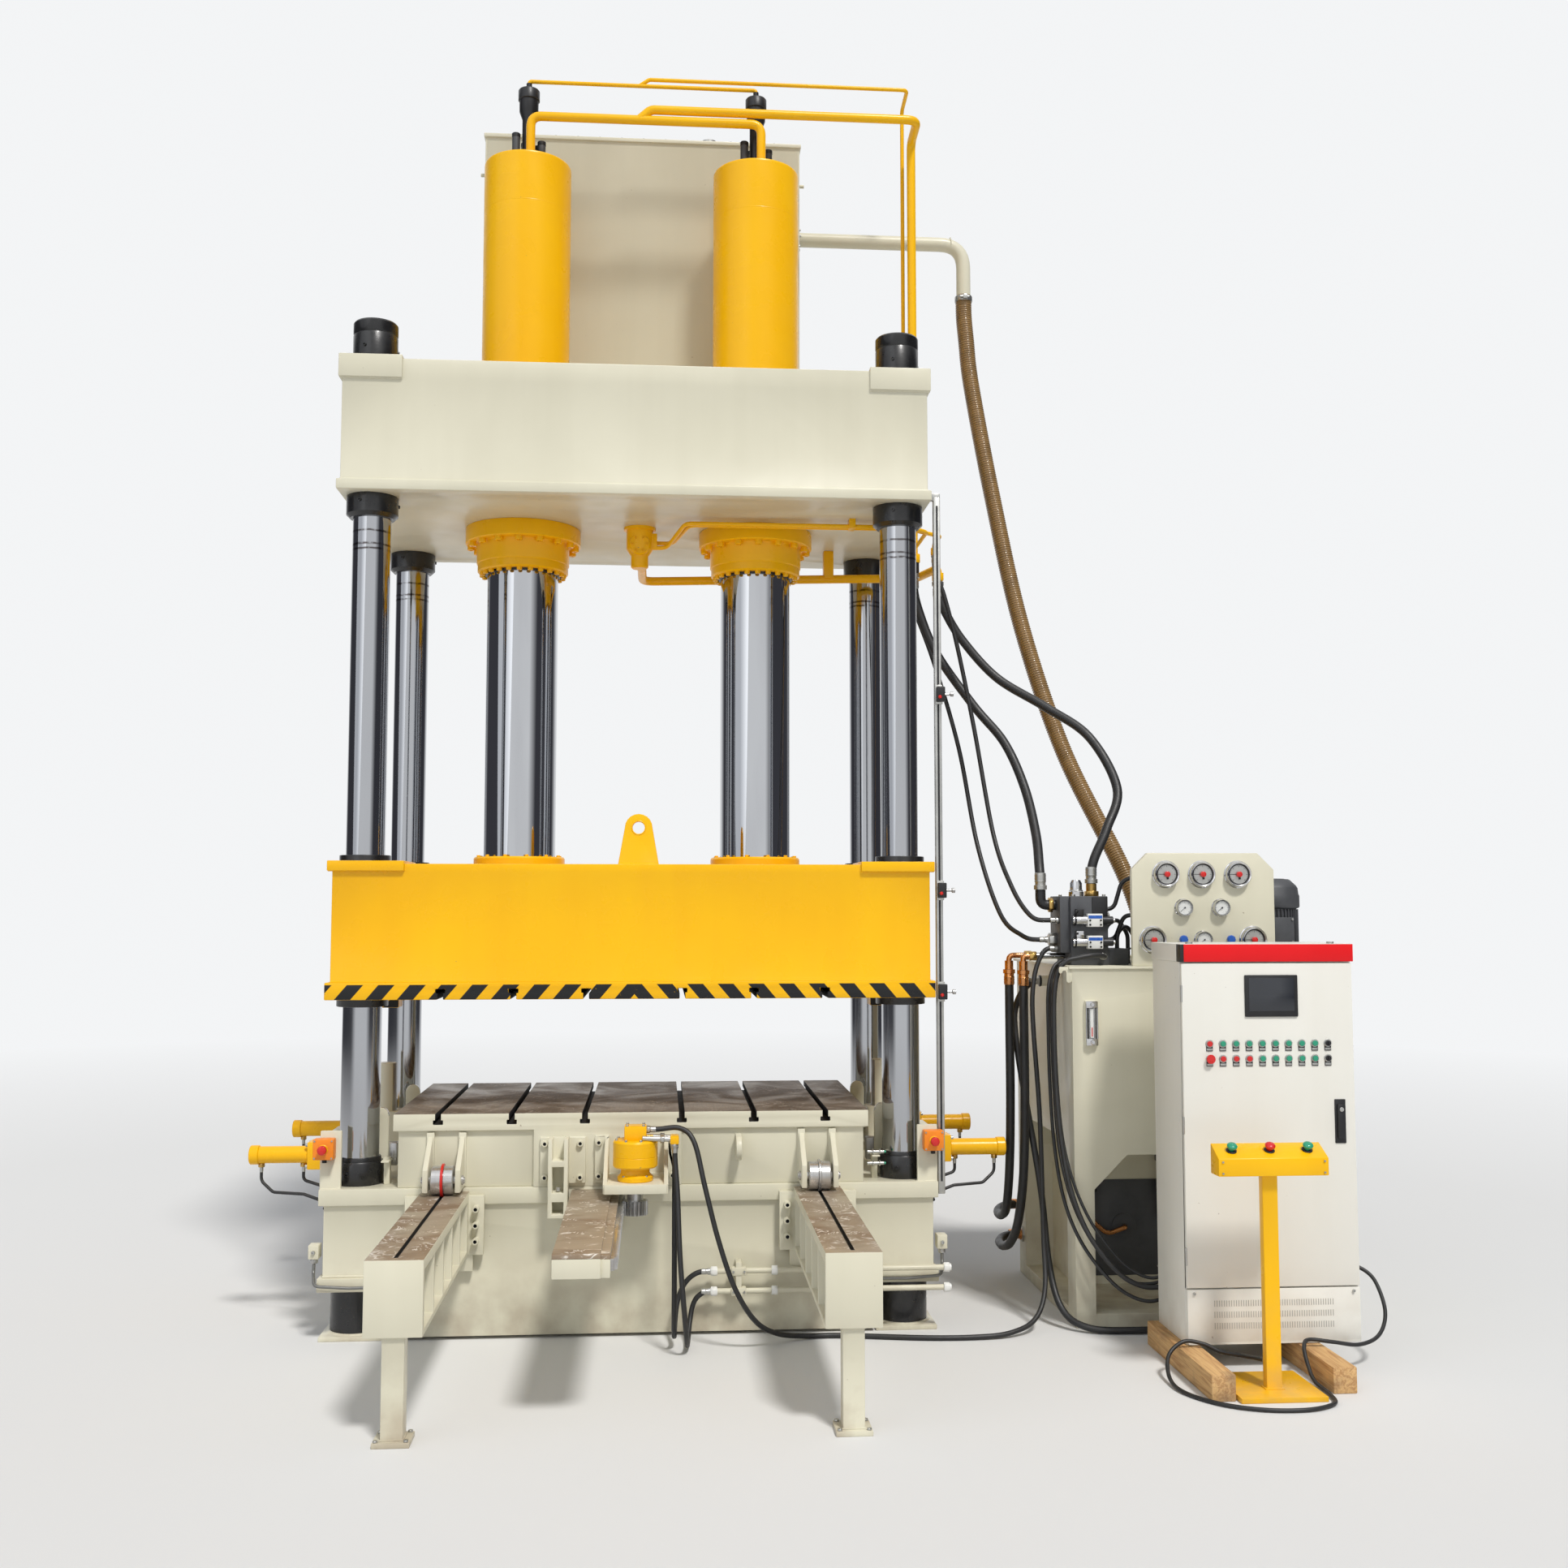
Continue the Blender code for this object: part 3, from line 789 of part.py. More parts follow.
def make_cords():
    """Hoses and cables that bend freely, each its own node."""
    high, gland_x = 3.54 - GAP, CAB_X + CAB_W / 2 + 0.05
    fall, floor, low = -BED_Y - 0.045, 0.0125, 0.0095
    hoses = {
        "suction_hose": (0.087, BROWN, [
            (SUCTION_X, SUCTION_Y, SUCTION_LOW - GAP), (SUCTION_X, SUCTION_Y, SUCTION_LOW - 0.07),
            (1.745, 0.49, 4.90), (1.768, 0.475, 4.65), (1.858, 0.40, 4.037),
            (1.984, 0.30, 3.322), (2.161, 0.15, 2.647), (2.38, -0.05, 2.08), (2.45, -0.12, 1.85),
            (2.47, -0.13, 1.72), (2.47, -0.13, UNIT_TOP + 0.06 + GAP)]),
        "pressure_hose_a": (0.045, BLACK, [
            (MAIN_PIPE_X, PIPE_FALL_Y, high), (MAIN_PIPE_X, PIPE_FALL_Y, high - 0.05), (1.415, 0.10, 3.34),
            (1.50, 0.07, 3.12), (1.67, 0.0, 2.853), (1.80, -0.1, 2.66),
            (1.87, -0.22, 2.432), (1.885, -0.38, 2.20), (1.872, -0.495, 2.04), (1.87, -0.52, 1.955),
            (1.87, -0.52, 1.93 + GAP)]),
        "pressure_hose_b": (0.045, BLACK, [
            (1.51, PIPE_FALL_Y, 3.50 - GAP), (1.51, PIPE_FALL_Y, 3.45), (1.55, 0.1, 3.34),
            (1.64, 0.09, 3.19), (1.80, 0.04, 3.00), (2.016, -0.08, 2.84), (2.20, -0.2, 2.68),
            (2.30, -0.32, 2.42), (2.22, -0.41, 2.22), (2.145, -0.447, 2.07), (2.13, -0.45, 1.98),
            (2.13, -0.45, 1.96 + GAP)]),
        "pilot_hose_a": (0.022, BLACK, [
            (PILOT_X, PIPE_FALL_Y + 0.08, 3.58 - GAP), (PILOT_X, PIPE_FALL_Y + 0.08, 3.54),
            (1.39, 0.18, 3.40), (1.493, 0.15, 3.10), (1.60, 0.05, 2.65), (1.66, -0.1, 2.158),
            (1.72, -0.33, 1.82), (1.79, -0.47, 1.72), (1.86, -0.52, 1.70), (1.90 - GAP, -0.52, 1.70)]),
        "pilot_hose_b": (0.022, BLACK, [
            (1.47, -0.02, 3.61 - GAP), (1.47, -0.02, 3.57), (1.52, -0.03, 3.40), (1.58, -0.04, 3.15),
            (1.655, -0.08, 2.725), (1.72, -0.20, 2.2), (1.76, -0.40, 1.95),
            (1.81, -0.53, 1.82), (1.87, -0.57, 1.79), (1.94 - GAP, -0.57, 1.79)]),
        "motor_hose_a": (0.022, BLACK, [
            (0.178, -0.965, 0.86 - GAP), (0.178, -0.965, 0.84), (0.178, -0.985, 0.65), (0.178, -1.03, 0.42),
            (0.178, -1.055, 0.25), (0.178, -1.03, 0.14), (0.179, -0.97, 0.065),
            (0.181, -0.90, 0.05), (0.184, -0.84, 0.09), (0.195, -0.806, 0.165), (0.225, fall, 0.235),
            (0.27, fall, 0.275), (0.32, fall, 0.285), (0.335 - GAP, fall, 0.285)]),
        "motor_hose_b": (0.022, BLACK, [
            (0.178, -1.01, 0.86 - GAP), (0.178, -1.01, 0.84), (0.190, -1.04, 0.65), (0.200, -1.10, 0.42),
            (0.215, -1.13, 0.24), (0.225, -1.11, 0.13), (0.232, -1.05, 0.055),
            (0.235, -0.965, 0.022), (0.24, -0.88, 0.035), (0.248, -0.825, 0.085), (0.258, -0.802, 0.135),
            (0.275, fall, 0.172), (0.302, fall, 0.194), (0.325, fall, 0.20), (0.335 - GAP, fall, 0.20)]),
        "drain_hose": (0.022, BLACK, [
            (MOTOR_X + 0.047 + GAP, MOTOR_Y, 0.912), (0.10, MOTOR_Y, 0.912), (0.20, -0.955, 0.916),
            (0.26, -0.985, 0.86), (0.305, -1.03, 0.68), (0.36, -1.06, 0.47), (0.43, -1.06, 0.27),
            (0.52, -1.00, 0.12), (0.62, -0.91, 0.045), (0.74, -0.845, 0.016), (0.90, -0.835, floor),
            (1.25, -0.90, floor), (1.48, -0.91, 0.0135), (1.63, -0.885, 0.022), (1.75, -0.82, 0.06),
            (1.815, -0.74, 0.17), (1.83, -0.66, 0.40),
            (1.83, -0.62, 0.90), (1.81, -0.60, 1.30), (1.813, -0.585, 1.47), (1.845, -0.56, 1.595),
            (1.905, -0.55, 1.66), (1.94 - GAP, -0.55, 1.66)]),
        "pedestal_cable": (0.016, BLACK, [
            (PED_X, PED_Y + 0.05 + GAP, 0.10), (PED_X, PED_Y + 0.06, 0.10), (2.415, -1.53, 0.085),
            (2.34, -1.48, 0.09), (2.28, -1.46, 0.115), (2.20, -1.455, 0.125), (2.13, -1.48, 0.08),
            (2.10, -1.58, 0.022), (2.11, -1.72, low), (2.20, -1.87, low), (2.34, -1.95, low),
            (2.50, -1.96, low), (2.62, -1.90, low), (2.652, -1.80, low), (2.65, -1.66, 0.018),
            (2.652, -1.59, 0.06), (2.662, -1.53, 0.112), (2.70, -1.485, 0.130), (2.80, -1.48, 0.118),
            (2.92, -1.46, 0.10), (3.03, -1.40, 0.12), (3.10, -1.31, 0.19), (3.105, -1.21, 0.29),
            (3.06, -1.162, 0.335), (gland_x + 0.01, -1.16, 0.34),
            (gland_x + GAP, -1.16, 0.34)]),
        "cabinet_cable": (0.030, BLACK, [
            (UNIT_X0 - 0.03 - GAP, -0.30, 1.50), (1.91, -0.30, 1.50), (1.80, -0.32, 1.40),
            (1.785, -0.37, 1.20), (1.85, -0.52, 0.60), (1.86, -0.64, 0.25), (1.89, -0.75, 0.08),
            (1.98, -0.84, 0.024), (2.15, -0.87, 0.017), (2.32, -0.875, 0.03), (2.44, -0.89, 0.11),
            (2.49, -0.92, 0.21), (2.50, -0.97, 0.29), (2.50, -1.01, 0.30),
            (2.50, CAB_FRONT + CAB_DEEP + GAP, 0.30)]),
    }
    for name, (diameter, colour, places) in hoses.items():
        line = [places[0]] + evenly(flowing(places), 2.95 * diameter) + [places[-1]]
        cord = hose_curve(name, line, diameter, 2)
        group("press").objects.link(cord)
        cord.data.materials.append(coloured(name, colour, 0.6))


def main():
    for thing in list(bpy.data.objects):
        bpy.data.objects.remove(thing)
    make_bed()
    make_columns()
    make_beam()
    make_rams()
    make_slide()
    make_bolster()
    make_drive()
    make_rails()
    make_clamps()
    make_top_tank()
    make_high_pipes()
    make_sensor_rail()
    make_estops()
    make_hardlines()
    make_power_unit()
    make_cabinet()
    make_pedestal()
    make_cords()
    for made in group("press").objects:
        for modifier in made.modifiers:
            modifier.show_viewport = modifier.show_render = True


main()
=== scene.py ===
"""Looks of a four-column hydraulic press with its power unit, control cabinet and push-button pedestal.

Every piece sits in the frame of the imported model: metres, +Z up, the origin on the floor between the columns.
"""

import json
import logging
import math
from collections.abc import Callable, Iterable, Sequence
from dataclasses import dataclass
from enum import Enum
from typing import Any

import bmesh
import bpy
from mathutils import Matrix, Vector
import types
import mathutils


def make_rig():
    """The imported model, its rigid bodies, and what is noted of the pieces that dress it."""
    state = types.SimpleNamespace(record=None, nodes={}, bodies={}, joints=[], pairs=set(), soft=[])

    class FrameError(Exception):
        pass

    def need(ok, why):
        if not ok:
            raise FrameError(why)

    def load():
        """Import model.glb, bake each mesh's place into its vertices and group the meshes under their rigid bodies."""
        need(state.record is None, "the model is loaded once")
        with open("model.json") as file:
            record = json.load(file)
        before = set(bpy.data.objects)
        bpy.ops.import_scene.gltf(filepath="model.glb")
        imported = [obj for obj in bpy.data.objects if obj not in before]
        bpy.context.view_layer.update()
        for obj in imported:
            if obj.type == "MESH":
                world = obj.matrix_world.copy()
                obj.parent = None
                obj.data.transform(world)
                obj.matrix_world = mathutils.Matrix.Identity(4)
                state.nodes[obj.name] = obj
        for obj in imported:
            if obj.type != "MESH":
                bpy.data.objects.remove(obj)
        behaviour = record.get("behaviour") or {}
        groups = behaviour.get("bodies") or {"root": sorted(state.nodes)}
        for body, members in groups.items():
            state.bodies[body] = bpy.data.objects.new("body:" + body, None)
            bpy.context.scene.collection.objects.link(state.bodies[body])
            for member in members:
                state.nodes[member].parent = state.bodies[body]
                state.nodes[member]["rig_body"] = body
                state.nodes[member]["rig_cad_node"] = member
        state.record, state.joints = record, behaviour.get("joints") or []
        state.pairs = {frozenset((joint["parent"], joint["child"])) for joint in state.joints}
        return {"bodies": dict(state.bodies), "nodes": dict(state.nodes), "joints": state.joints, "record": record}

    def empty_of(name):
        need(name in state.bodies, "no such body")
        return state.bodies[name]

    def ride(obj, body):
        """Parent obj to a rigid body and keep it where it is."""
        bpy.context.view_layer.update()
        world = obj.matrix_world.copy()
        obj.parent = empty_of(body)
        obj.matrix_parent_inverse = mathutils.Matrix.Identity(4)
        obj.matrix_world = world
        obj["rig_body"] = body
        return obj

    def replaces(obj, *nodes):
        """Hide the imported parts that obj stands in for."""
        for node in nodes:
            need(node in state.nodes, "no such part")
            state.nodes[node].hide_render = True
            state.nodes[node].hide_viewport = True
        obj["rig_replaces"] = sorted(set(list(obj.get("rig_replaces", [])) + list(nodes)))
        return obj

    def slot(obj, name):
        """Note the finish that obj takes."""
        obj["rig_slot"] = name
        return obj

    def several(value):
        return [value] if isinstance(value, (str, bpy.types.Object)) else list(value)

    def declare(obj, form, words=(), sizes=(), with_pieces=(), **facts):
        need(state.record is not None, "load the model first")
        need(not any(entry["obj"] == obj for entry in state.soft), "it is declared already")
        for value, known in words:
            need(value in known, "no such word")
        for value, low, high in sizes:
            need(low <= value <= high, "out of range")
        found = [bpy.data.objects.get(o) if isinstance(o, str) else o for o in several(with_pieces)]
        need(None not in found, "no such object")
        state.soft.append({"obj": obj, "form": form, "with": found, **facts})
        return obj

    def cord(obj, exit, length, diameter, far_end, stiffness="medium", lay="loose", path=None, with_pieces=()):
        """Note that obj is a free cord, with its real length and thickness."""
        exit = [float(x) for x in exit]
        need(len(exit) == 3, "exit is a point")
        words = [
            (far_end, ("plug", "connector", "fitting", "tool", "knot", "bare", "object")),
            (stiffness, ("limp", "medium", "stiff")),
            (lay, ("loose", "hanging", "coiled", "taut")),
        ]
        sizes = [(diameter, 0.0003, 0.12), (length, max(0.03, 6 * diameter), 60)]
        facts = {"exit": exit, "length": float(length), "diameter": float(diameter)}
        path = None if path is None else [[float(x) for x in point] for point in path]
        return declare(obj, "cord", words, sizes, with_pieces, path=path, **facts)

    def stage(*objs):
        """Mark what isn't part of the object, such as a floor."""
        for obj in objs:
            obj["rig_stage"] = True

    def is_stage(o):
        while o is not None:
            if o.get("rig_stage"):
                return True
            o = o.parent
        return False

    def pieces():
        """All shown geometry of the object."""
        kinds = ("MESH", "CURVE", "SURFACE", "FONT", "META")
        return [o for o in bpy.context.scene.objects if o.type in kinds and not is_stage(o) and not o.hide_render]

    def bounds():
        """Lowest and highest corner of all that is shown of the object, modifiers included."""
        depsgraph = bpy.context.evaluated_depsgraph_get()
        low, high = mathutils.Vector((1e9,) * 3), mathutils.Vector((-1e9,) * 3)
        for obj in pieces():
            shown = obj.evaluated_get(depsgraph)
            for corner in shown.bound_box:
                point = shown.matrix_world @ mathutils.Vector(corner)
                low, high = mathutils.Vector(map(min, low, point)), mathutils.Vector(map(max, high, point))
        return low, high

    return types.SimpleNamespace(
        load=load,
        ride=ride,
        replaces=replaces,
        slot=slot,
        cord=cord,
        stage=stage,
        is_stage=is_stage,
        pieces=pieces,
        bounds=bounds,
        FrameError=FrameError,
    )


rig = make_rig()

LOG = logging.getLogger("press")
Point = Sequence[float]
Profile = Sequence[tuple[float, float]]
Colour = tuple[float, float, float]
GAP = 0.0003
UP, DOWN = (0, 0, 1), (0, 0, -1)
FRONT, BACK = (0, -1, 0), (0, 1, 0)
RIGHT, LEFT = (1, 0, 0), (-1, 0, 0)
SIDES = (("l", -1), ("r", 1))
CORNERS = (("fl", -1, -1), ("fr", 1, -1), ("rl", -1, 1), ("rr", 1, 1))


class Axis(Enum):
    """The direction that a turned or extruded shape lies along."""

    X = 0
    Y = 1
    Z = 2


class Recipe:
    """Lays out the nodes of one material."""

    def __init__(self, name: str) -> None:
        """Starts a material with a Principled shader and Object coordinates.

        Args:
            name: The material's name.
        """
        self.material = bpy.data.materials.new(name)
        self.material.use_nodes = True
        self.nodes = self.material.node_tree.nodes
        self.shader = self.nodes["Principled BSDF"]
        self.place = self.nodes.new("ShaderNodeTexCoord").outputs["Object"]

    def wire(self, source: Any, target: Any) -> None:
        """Links a socket, or sets a plain value, on a target socket.

        Args:
            source: A socket, number or colour.
            target: The socket that takes it.
        """
        if isinstance(source, bpy.types.NodeSocket):
            self.material.node_tree.links.new(source, target)
        elif target.type == "RGBA":
            colour = source if hasattr(source, "__len__") else (source, source, source)
            target.default_value = (*colour, 1.0)
        else:
            target.default_value = source

    def put(self, **values: Any) -> None:
        """Gives the shader's sockets, named with _ for a space, their values or links."""
        for name, value in values.items():
            self.wire(value, self.shader.inputs[name.replace("_", " ")])

    def noise(self, scale: float, detail: float = 4.0, stretch: Point = (1, 1, 1), twist: float = 0.0) -> Any:
        """A noise field over the piece.

        Args:
            scale: Features per metre.
            detail: Octaves.
            stretch: Scale of each axis, where a small number draws the pattern out.
            twist: Distortion.

        Returns:
            The socket of its value from 0 to 1.
        """
        mapping = self.nodes.new("ShaderNodeMapping")
        mapping.inputs["Scale"].default_value = stretch
        self.wire(self.place, mapping.inputs["Vector"])
        noise = self.nodes.new("ShaderNodeTexNoise")
        self.wire(mapping.outputs["Vector"], noise.inputs["Vector"])
        for name, value in (("Scale", scale), ("Detail", detail), ("Distortion", twist)):
            noise.inputs[name].default_value = value
        return noise.outputs["Fac"]

    def span(self, value: Any, low: float, high: float, start: float = 0.0, end: float = 1.0) -> Any:
        """Maps a value from one span to another, and clamps it.

        Args:
            value: The value.
            low: Where the first span starts.
            high: Where it ends.
            start: What low becomes.
            end: What high becomes.

        Returns:
            The socket of the result.
        """
        node = self.nodes.new("ShaderNodeMapRange")
        for name, number in (
            ("Value", value), ("From Min", low), ("From Max", high), ("To Min", start), ("To Max", end)
        ):
            self.wire(number, node.inputs[name])
        return node.outputs["Result"]

    def mix(self, share: Any, first: Any, second: Any) -> Any:
        """Blends two colours.

        Args:
            share: How much of the second one shows, from 0 to 1.
            first: A colour.
            second: A colour.

        Returns:
            The socket of the blend.
        """
        node = self.nodes.new("ShaderNodeMix")
        node.data_type = "RGBA"
        for index, value in ((0, share), (6, first), (7, second)):
            self.wire(value, node.inputs[index])
        return node.outputs[2]

    def calc(self, operation: str, first: Any, second: Any = 0.0) -> Any:
        """Adds a Math node that clamps its result to 0..1.

        Args:
            operation: Blender's name of the operation.
            first: A value.
            second: A value.

        Returns:
            The socket of the result.
        """
        node = self.nodes.new("ShaderNodeMath")
        node.operation = operation
        node.use_clamp = True
        self.wire(first, node.inputs[0])
        self.wire(second, node.inputs[1])
        return node.outputs[0]

    def times(self, first: Any, second: Any) -> Any:
        """Multiplies two values and clamps the result to 0..1."""
        return self.calc("MULTIPLY", first, second)

    def raw(self, operation: str, first: Any, second: Any = 0.0) -> Any:
        """Adds a Math node that clamps nothing.

        Args:
            operation: Blender's name of the operation.
            first: A value.
            second: A value.

        Returns:
            The socket of the result.
        """
        result = self.calc(operation, first, second)
        result.node.use_clamp = False
        return result

    def part(self, axis: Axis, normal: bool = False) -> Any:
        """Picks one coordinate of the point, or of the surface's normal.

        Args:
            axis: Which coordinate.
            normal: Whether it is the normal's.

        Returns:
            The socket of the coordinate.
        """
        node = self.nodes.new("ShaderNodeSeparateXYZ")
        source = self.nodes.new("ShaderNodeNewGeometry").outputs["Normal"] if normal else self.place
        self.wire(source, node.inputs[0])
        return node.outputs[axis.value]

    def bump(self, height: Any, strength: float, distance: float = 0.002) -> None:
        """Adds a bump to the shader.

        Args:
            height: The socket of the height.
            strength: From 0 to 1.
            distance: Depth of the bump in metres.
        """
        node = self.nodes.new("ShaderNodeBump")
        node.inputs["Strength"].default_value = strength
        node.inputs["Distance"].default_value = distance
        self.wire(height, node.inputs["Height"])
        self.wire(node.outputs["Normal"], self.shader.inputs["Normal"])


@dataclass(frozen=True)
class Paint:
    """Machine paint sprayed on welded plate, with cloudy tone, runs, small chips and dust near the floor.

    Attributes:
        name: Material name.
        colour: Fresh paint.
        shade: Its dull tone.
        gloss: Roughness in the middle.
        dust: How much floor dust the lowest 0.4 m carries.
        stripes: Whether the lower lip of the slide has its warning stripes.
    """

    name: str
    colour: Colour
    shade: Colour
    gloss: float = 0.36
    dust: float = 0.0
    stripes: bool = False

    def build(self) -> bpy.types.Material:
        """Lays out the nodes.

        Returns:
            The material.
        """
        r = Recipe(self.name)
        cloud = r.span(r.noise(1.3, 5.0, twist=0.6), 0.35, 0.7)
        runs = r.span(r.noise(5.0, 3.0, (1.6, 1.6, 0.12)), 0.42, 0.75)
        tone = r.mix(r.times(cloud, 0.45), self.colour, self.shade)
        tone = r.mix(r.times(runs, 0.25), tone, self.shade)
        fine = r.noise(38.0, 6.0)
        chips = r.span(fine, 0.745, 0.765)
        tone = r.mix(r.times(chips, 0.55), tone, (0.22, 0.15, 0.09))
        if self.dust:
            low = r.span(r.part(Axis.Z), 0.42, 0.0)
            dirt = r.times(low, r.span(r.noise(7.0, 6.0), 0.38, 0.66))
            tone = r.mix(r.times(dirt, self.dust), tone, (0.34, 0.26, 0.18))
        rough = r.span(r.noise(9.0, 5.0), 0.3, 0.75, self.gloss - 0.07, self.gloss + 0.1)
        if self.stripes:
            x, z = r.part(Axis.X), r.part(Axis.Z)
            across = r.raw("ABSOLUTE", x)
            slant = r.raw("MULTIPLY", r.raw("SUBTRACT", z, 1.449), -0.85)
            lean = r.raw("SUBTRACT", across, slant)
            phase = r.raw("FRACT", r.raw("DIVIDE", r.raw("ADD", lean, 0.045), 0.134))
            band = r.times(r.span(phase, 0.46, 0.48), r.span(phase, 1.0, 0.98))
            wear = r.span(r.noise(60.0, 4.0), 0.22, 0.27)
            band = r.times(band, wear)
            lip = r.times(r.span(z, 1.5145, 1.5135), r.span(r.part(Axis.Y, True), -0.55, -0.6))
            tone = r.mix(r.times(band, lip), tone, (0.012, 0.012, 0.013))
        r.put(Base_Color=tone, Roughness=rough, Specular_IOR_Level=0.3, Coat_Weight=0.04, Coat_Roughness=0.2)
        waves = r.raw("ADD", r.noise(2.6, 2.0), r.raw("MULTIPLY", r.noise(210.0, 2.0), 0.05))
        r.bump(waves, 0.22, 0.004)
        return r.material


@dataclass(frozen=True)
class Steel:
    """Bare machined steel with its grinding lines, oil stains and light wipe marks.

    Attributes:
        name: Material name.
        clean: Bright metal.
        stain: Oxide or dried oil.
        cover: Share of the surface that is stained.
        rough: Roughness of clean metal.
        lines: Stretch of the grinding lines.
        swirls: Strength of the pale wipe marks.
        metal: Metallic share.
    """

    name: str
    clean: Colour
    stain: Colour
    cover: float = 0.5
    rough: float = 0.34
    lines: Point = (40.0, 1.0, 40.0)
    swirls: float = 0.0
    metal: float = 0.75

    def build(self) -> bpy.types.Material:
        """Lays out the nodes.

        Returns:
            The material.
        """
        r = Recipe(self.name)
        patch = r.span(r.noise(3.1, 7.0, twist=1.0), 0.62 - 0.45 * self.cover, 0.84 - 0.42 * self.cover)
        tone = r.mix(patch, self.clean, self.stain)
        grind = r.noise(6.0, 4.0, self.lines)
        tone = r.mix(r.times(r.span(grind, 0.35, 0.7), 0.35), tone, tuple(c * 0.55 for c in self.clean))
        if self.swirls:
            field = r.noise(6.5, 2.0, twist=3.0)
            phase = r.raw("FRACT", r.raw("MULTIPLY", field, 5.5))
            line = r.times(r.span(phase, 0.0, 0.08), r.span(phase, 0.34, 0.24))
            broken = r.times(line, r.span(r.noise(13.0), 0.5, 0.58))
            tone = r.mix(r.times(broken, self.swirls), tone, (0.82, 0.77, 0.7))
        rough = r.span(patch, 0.0, 1.0, self.rough, self.rough + 0.22)
        r.put(Base_Color=tone, Metallic=self.metal, Roughness=rough)
        r.bump(grind, 0.1, 0.001)
        return r.material


@dataclass(frozen=True)
class Chrome:
    """Hard chrome on a round bar, with faint lengthwise polish marks and oxide rings near a nut.

    Attributes:
        name: Material name.
        rings: Heights of the dark oxide rings.
        rough: Roughness.
        tone: Colour of the metal.
    """

    name: str
    rings: tuple[float, ...] = ()
    rough: float = 0.05
    tone: Colour = (0.66, 0.68, 0.71)

    def build(self) -> bpy.types.Material:
        """Lays out the nodes.

        Returns:
            The material.
        """
        r = Recipe(self.name)
        film = r.span(r.noise(4.0, 5.0, (2.0, 2.0, 0.25)), 0.4, 0.7)
        tone = r.mix(r.times(film, 0.22), self.tone, (0.34, 0.34, 0.36))
        rough = r.span(film, 0.0, 1.0, self.rough, self.rough + 0.05)
        for height in self.rings:
            z = r.part(Axis.Z)
            wavy = r.raw("ADD", z, r.raw("MULTIPLY", r.noise(22.0), 0.012))
            offset = r.raw("ABSOLUTE", r.raw("SUBTRACT", wavy, height + 0.006))
            ring = r.times(r.span(offset, 0.007, 0.002), r.span(r.noise(30.0, 5.0), 0.34, 0.52))
            tone = r.mix(r.times(ring, 0.85), tone, (0.05, 0.035, 0.03))
        r.put(Base_Color=tone, Metallic=1.0, Roughness=rough)
        return r.material


@dataclass(frozen=True)
class Plain:
    """A moulded, cast or coated surface: one colour with fine grain, slight blotches and its own gloss.

    Attributes:
        name: Material name.
        colour: Main colour.
        rough: Roughness.
        metal: Metallic share.
        grain: Grain features per metre.
        relief: Bump strength of the grain.
        blotch: How far the blotches go towards a darker tone.
        coat: Clear-coat weight.
    """

    name: str
    colour: Colour
    rough: float = 0.4
    metal: float = 0.0
    grain: float = 160.0
    relief: float = 0.1
    blotch: float = 0.35
    coat: float = 0.0

    def build(self) -> bpy.types.Material:
        """Lays out the nodes.

        Returns:
            The material.
        """
        r = Recipe(self.name)
        dark = tuple(c * 0.5 for c in self.colour)
        cloud = r.span(r.noise(14.0, 5.0), 0.4, 0.7)
        tone = r.mix(r.times(cloud, self.blotch), self.colour, dark)
        rough = r.span(r.noise(30.0, 3.0), 0.3, 0.7, self.rough - 0.05, self.rough + 0.07)
        r.put(Base_Color=tone, Roughness=rough, Metallic=self.metal, Coat_Weight=self.coat)
        r.bump(r.noise(self.grain, 3.0), self.relief, 0.001)
        return r.material


@dataclass(frozen=True)
class Timber:
    """Sawn pine with its grain along Y, dirty on the faces."""

    name: str

    def build(self) -> bpy.types.Material:
        """Lays out the nodes.

        Returns:
            The material.
        """
        r = Recipe(self.name)
        rings = r.noise(9.0, 4.0, (5.0, 0.35, 5.0), 1.4)
        fibre = r.noise(60.0, 5.0, (3.0, 0.1, 3.0))
        tone = r.mix(r.span(rings, 0.4, 0.6), (0.62, 0.38, 0.16), (0.42, 0.22, 0.085))
        tone = r.mix(r.times(r.span(fibre, 0.4, 0.7), 0.4), tone, (0.74, 0.52, 0.26))
        tone = r.mix(r.times(r.span(r.noise(6.0, 6.0), 0.5, 0.7), 0.5), tone, (0.12, 0.09, 0.07))
        r.put(Base_Color=tone, Roughness=0.78)
        r.bump(fibre, 0.45, 0.002)
        return r.material


@dataclass(frozen=True)
class Glazing:
    """Clear glass or acrylic in front of a dial."""

    name: str
    tint: Colour = (0.95, 0.97, 0.97)
    clear: float = 0.16

    def build(self) -> bpy.types.Material:
        """Lays out the nodes.

        Returns:
            The material.
        """
        r = Recipe(self.name)
        tone = r.mix(r.span(r.noise(9.0), 0.3, 0.7), self.tint, tuple(c * 0.92 for c in self.tint))
        r.put(Base_Color=tone, Roughness=0.03, Alpha=self.clear)
        return r.material


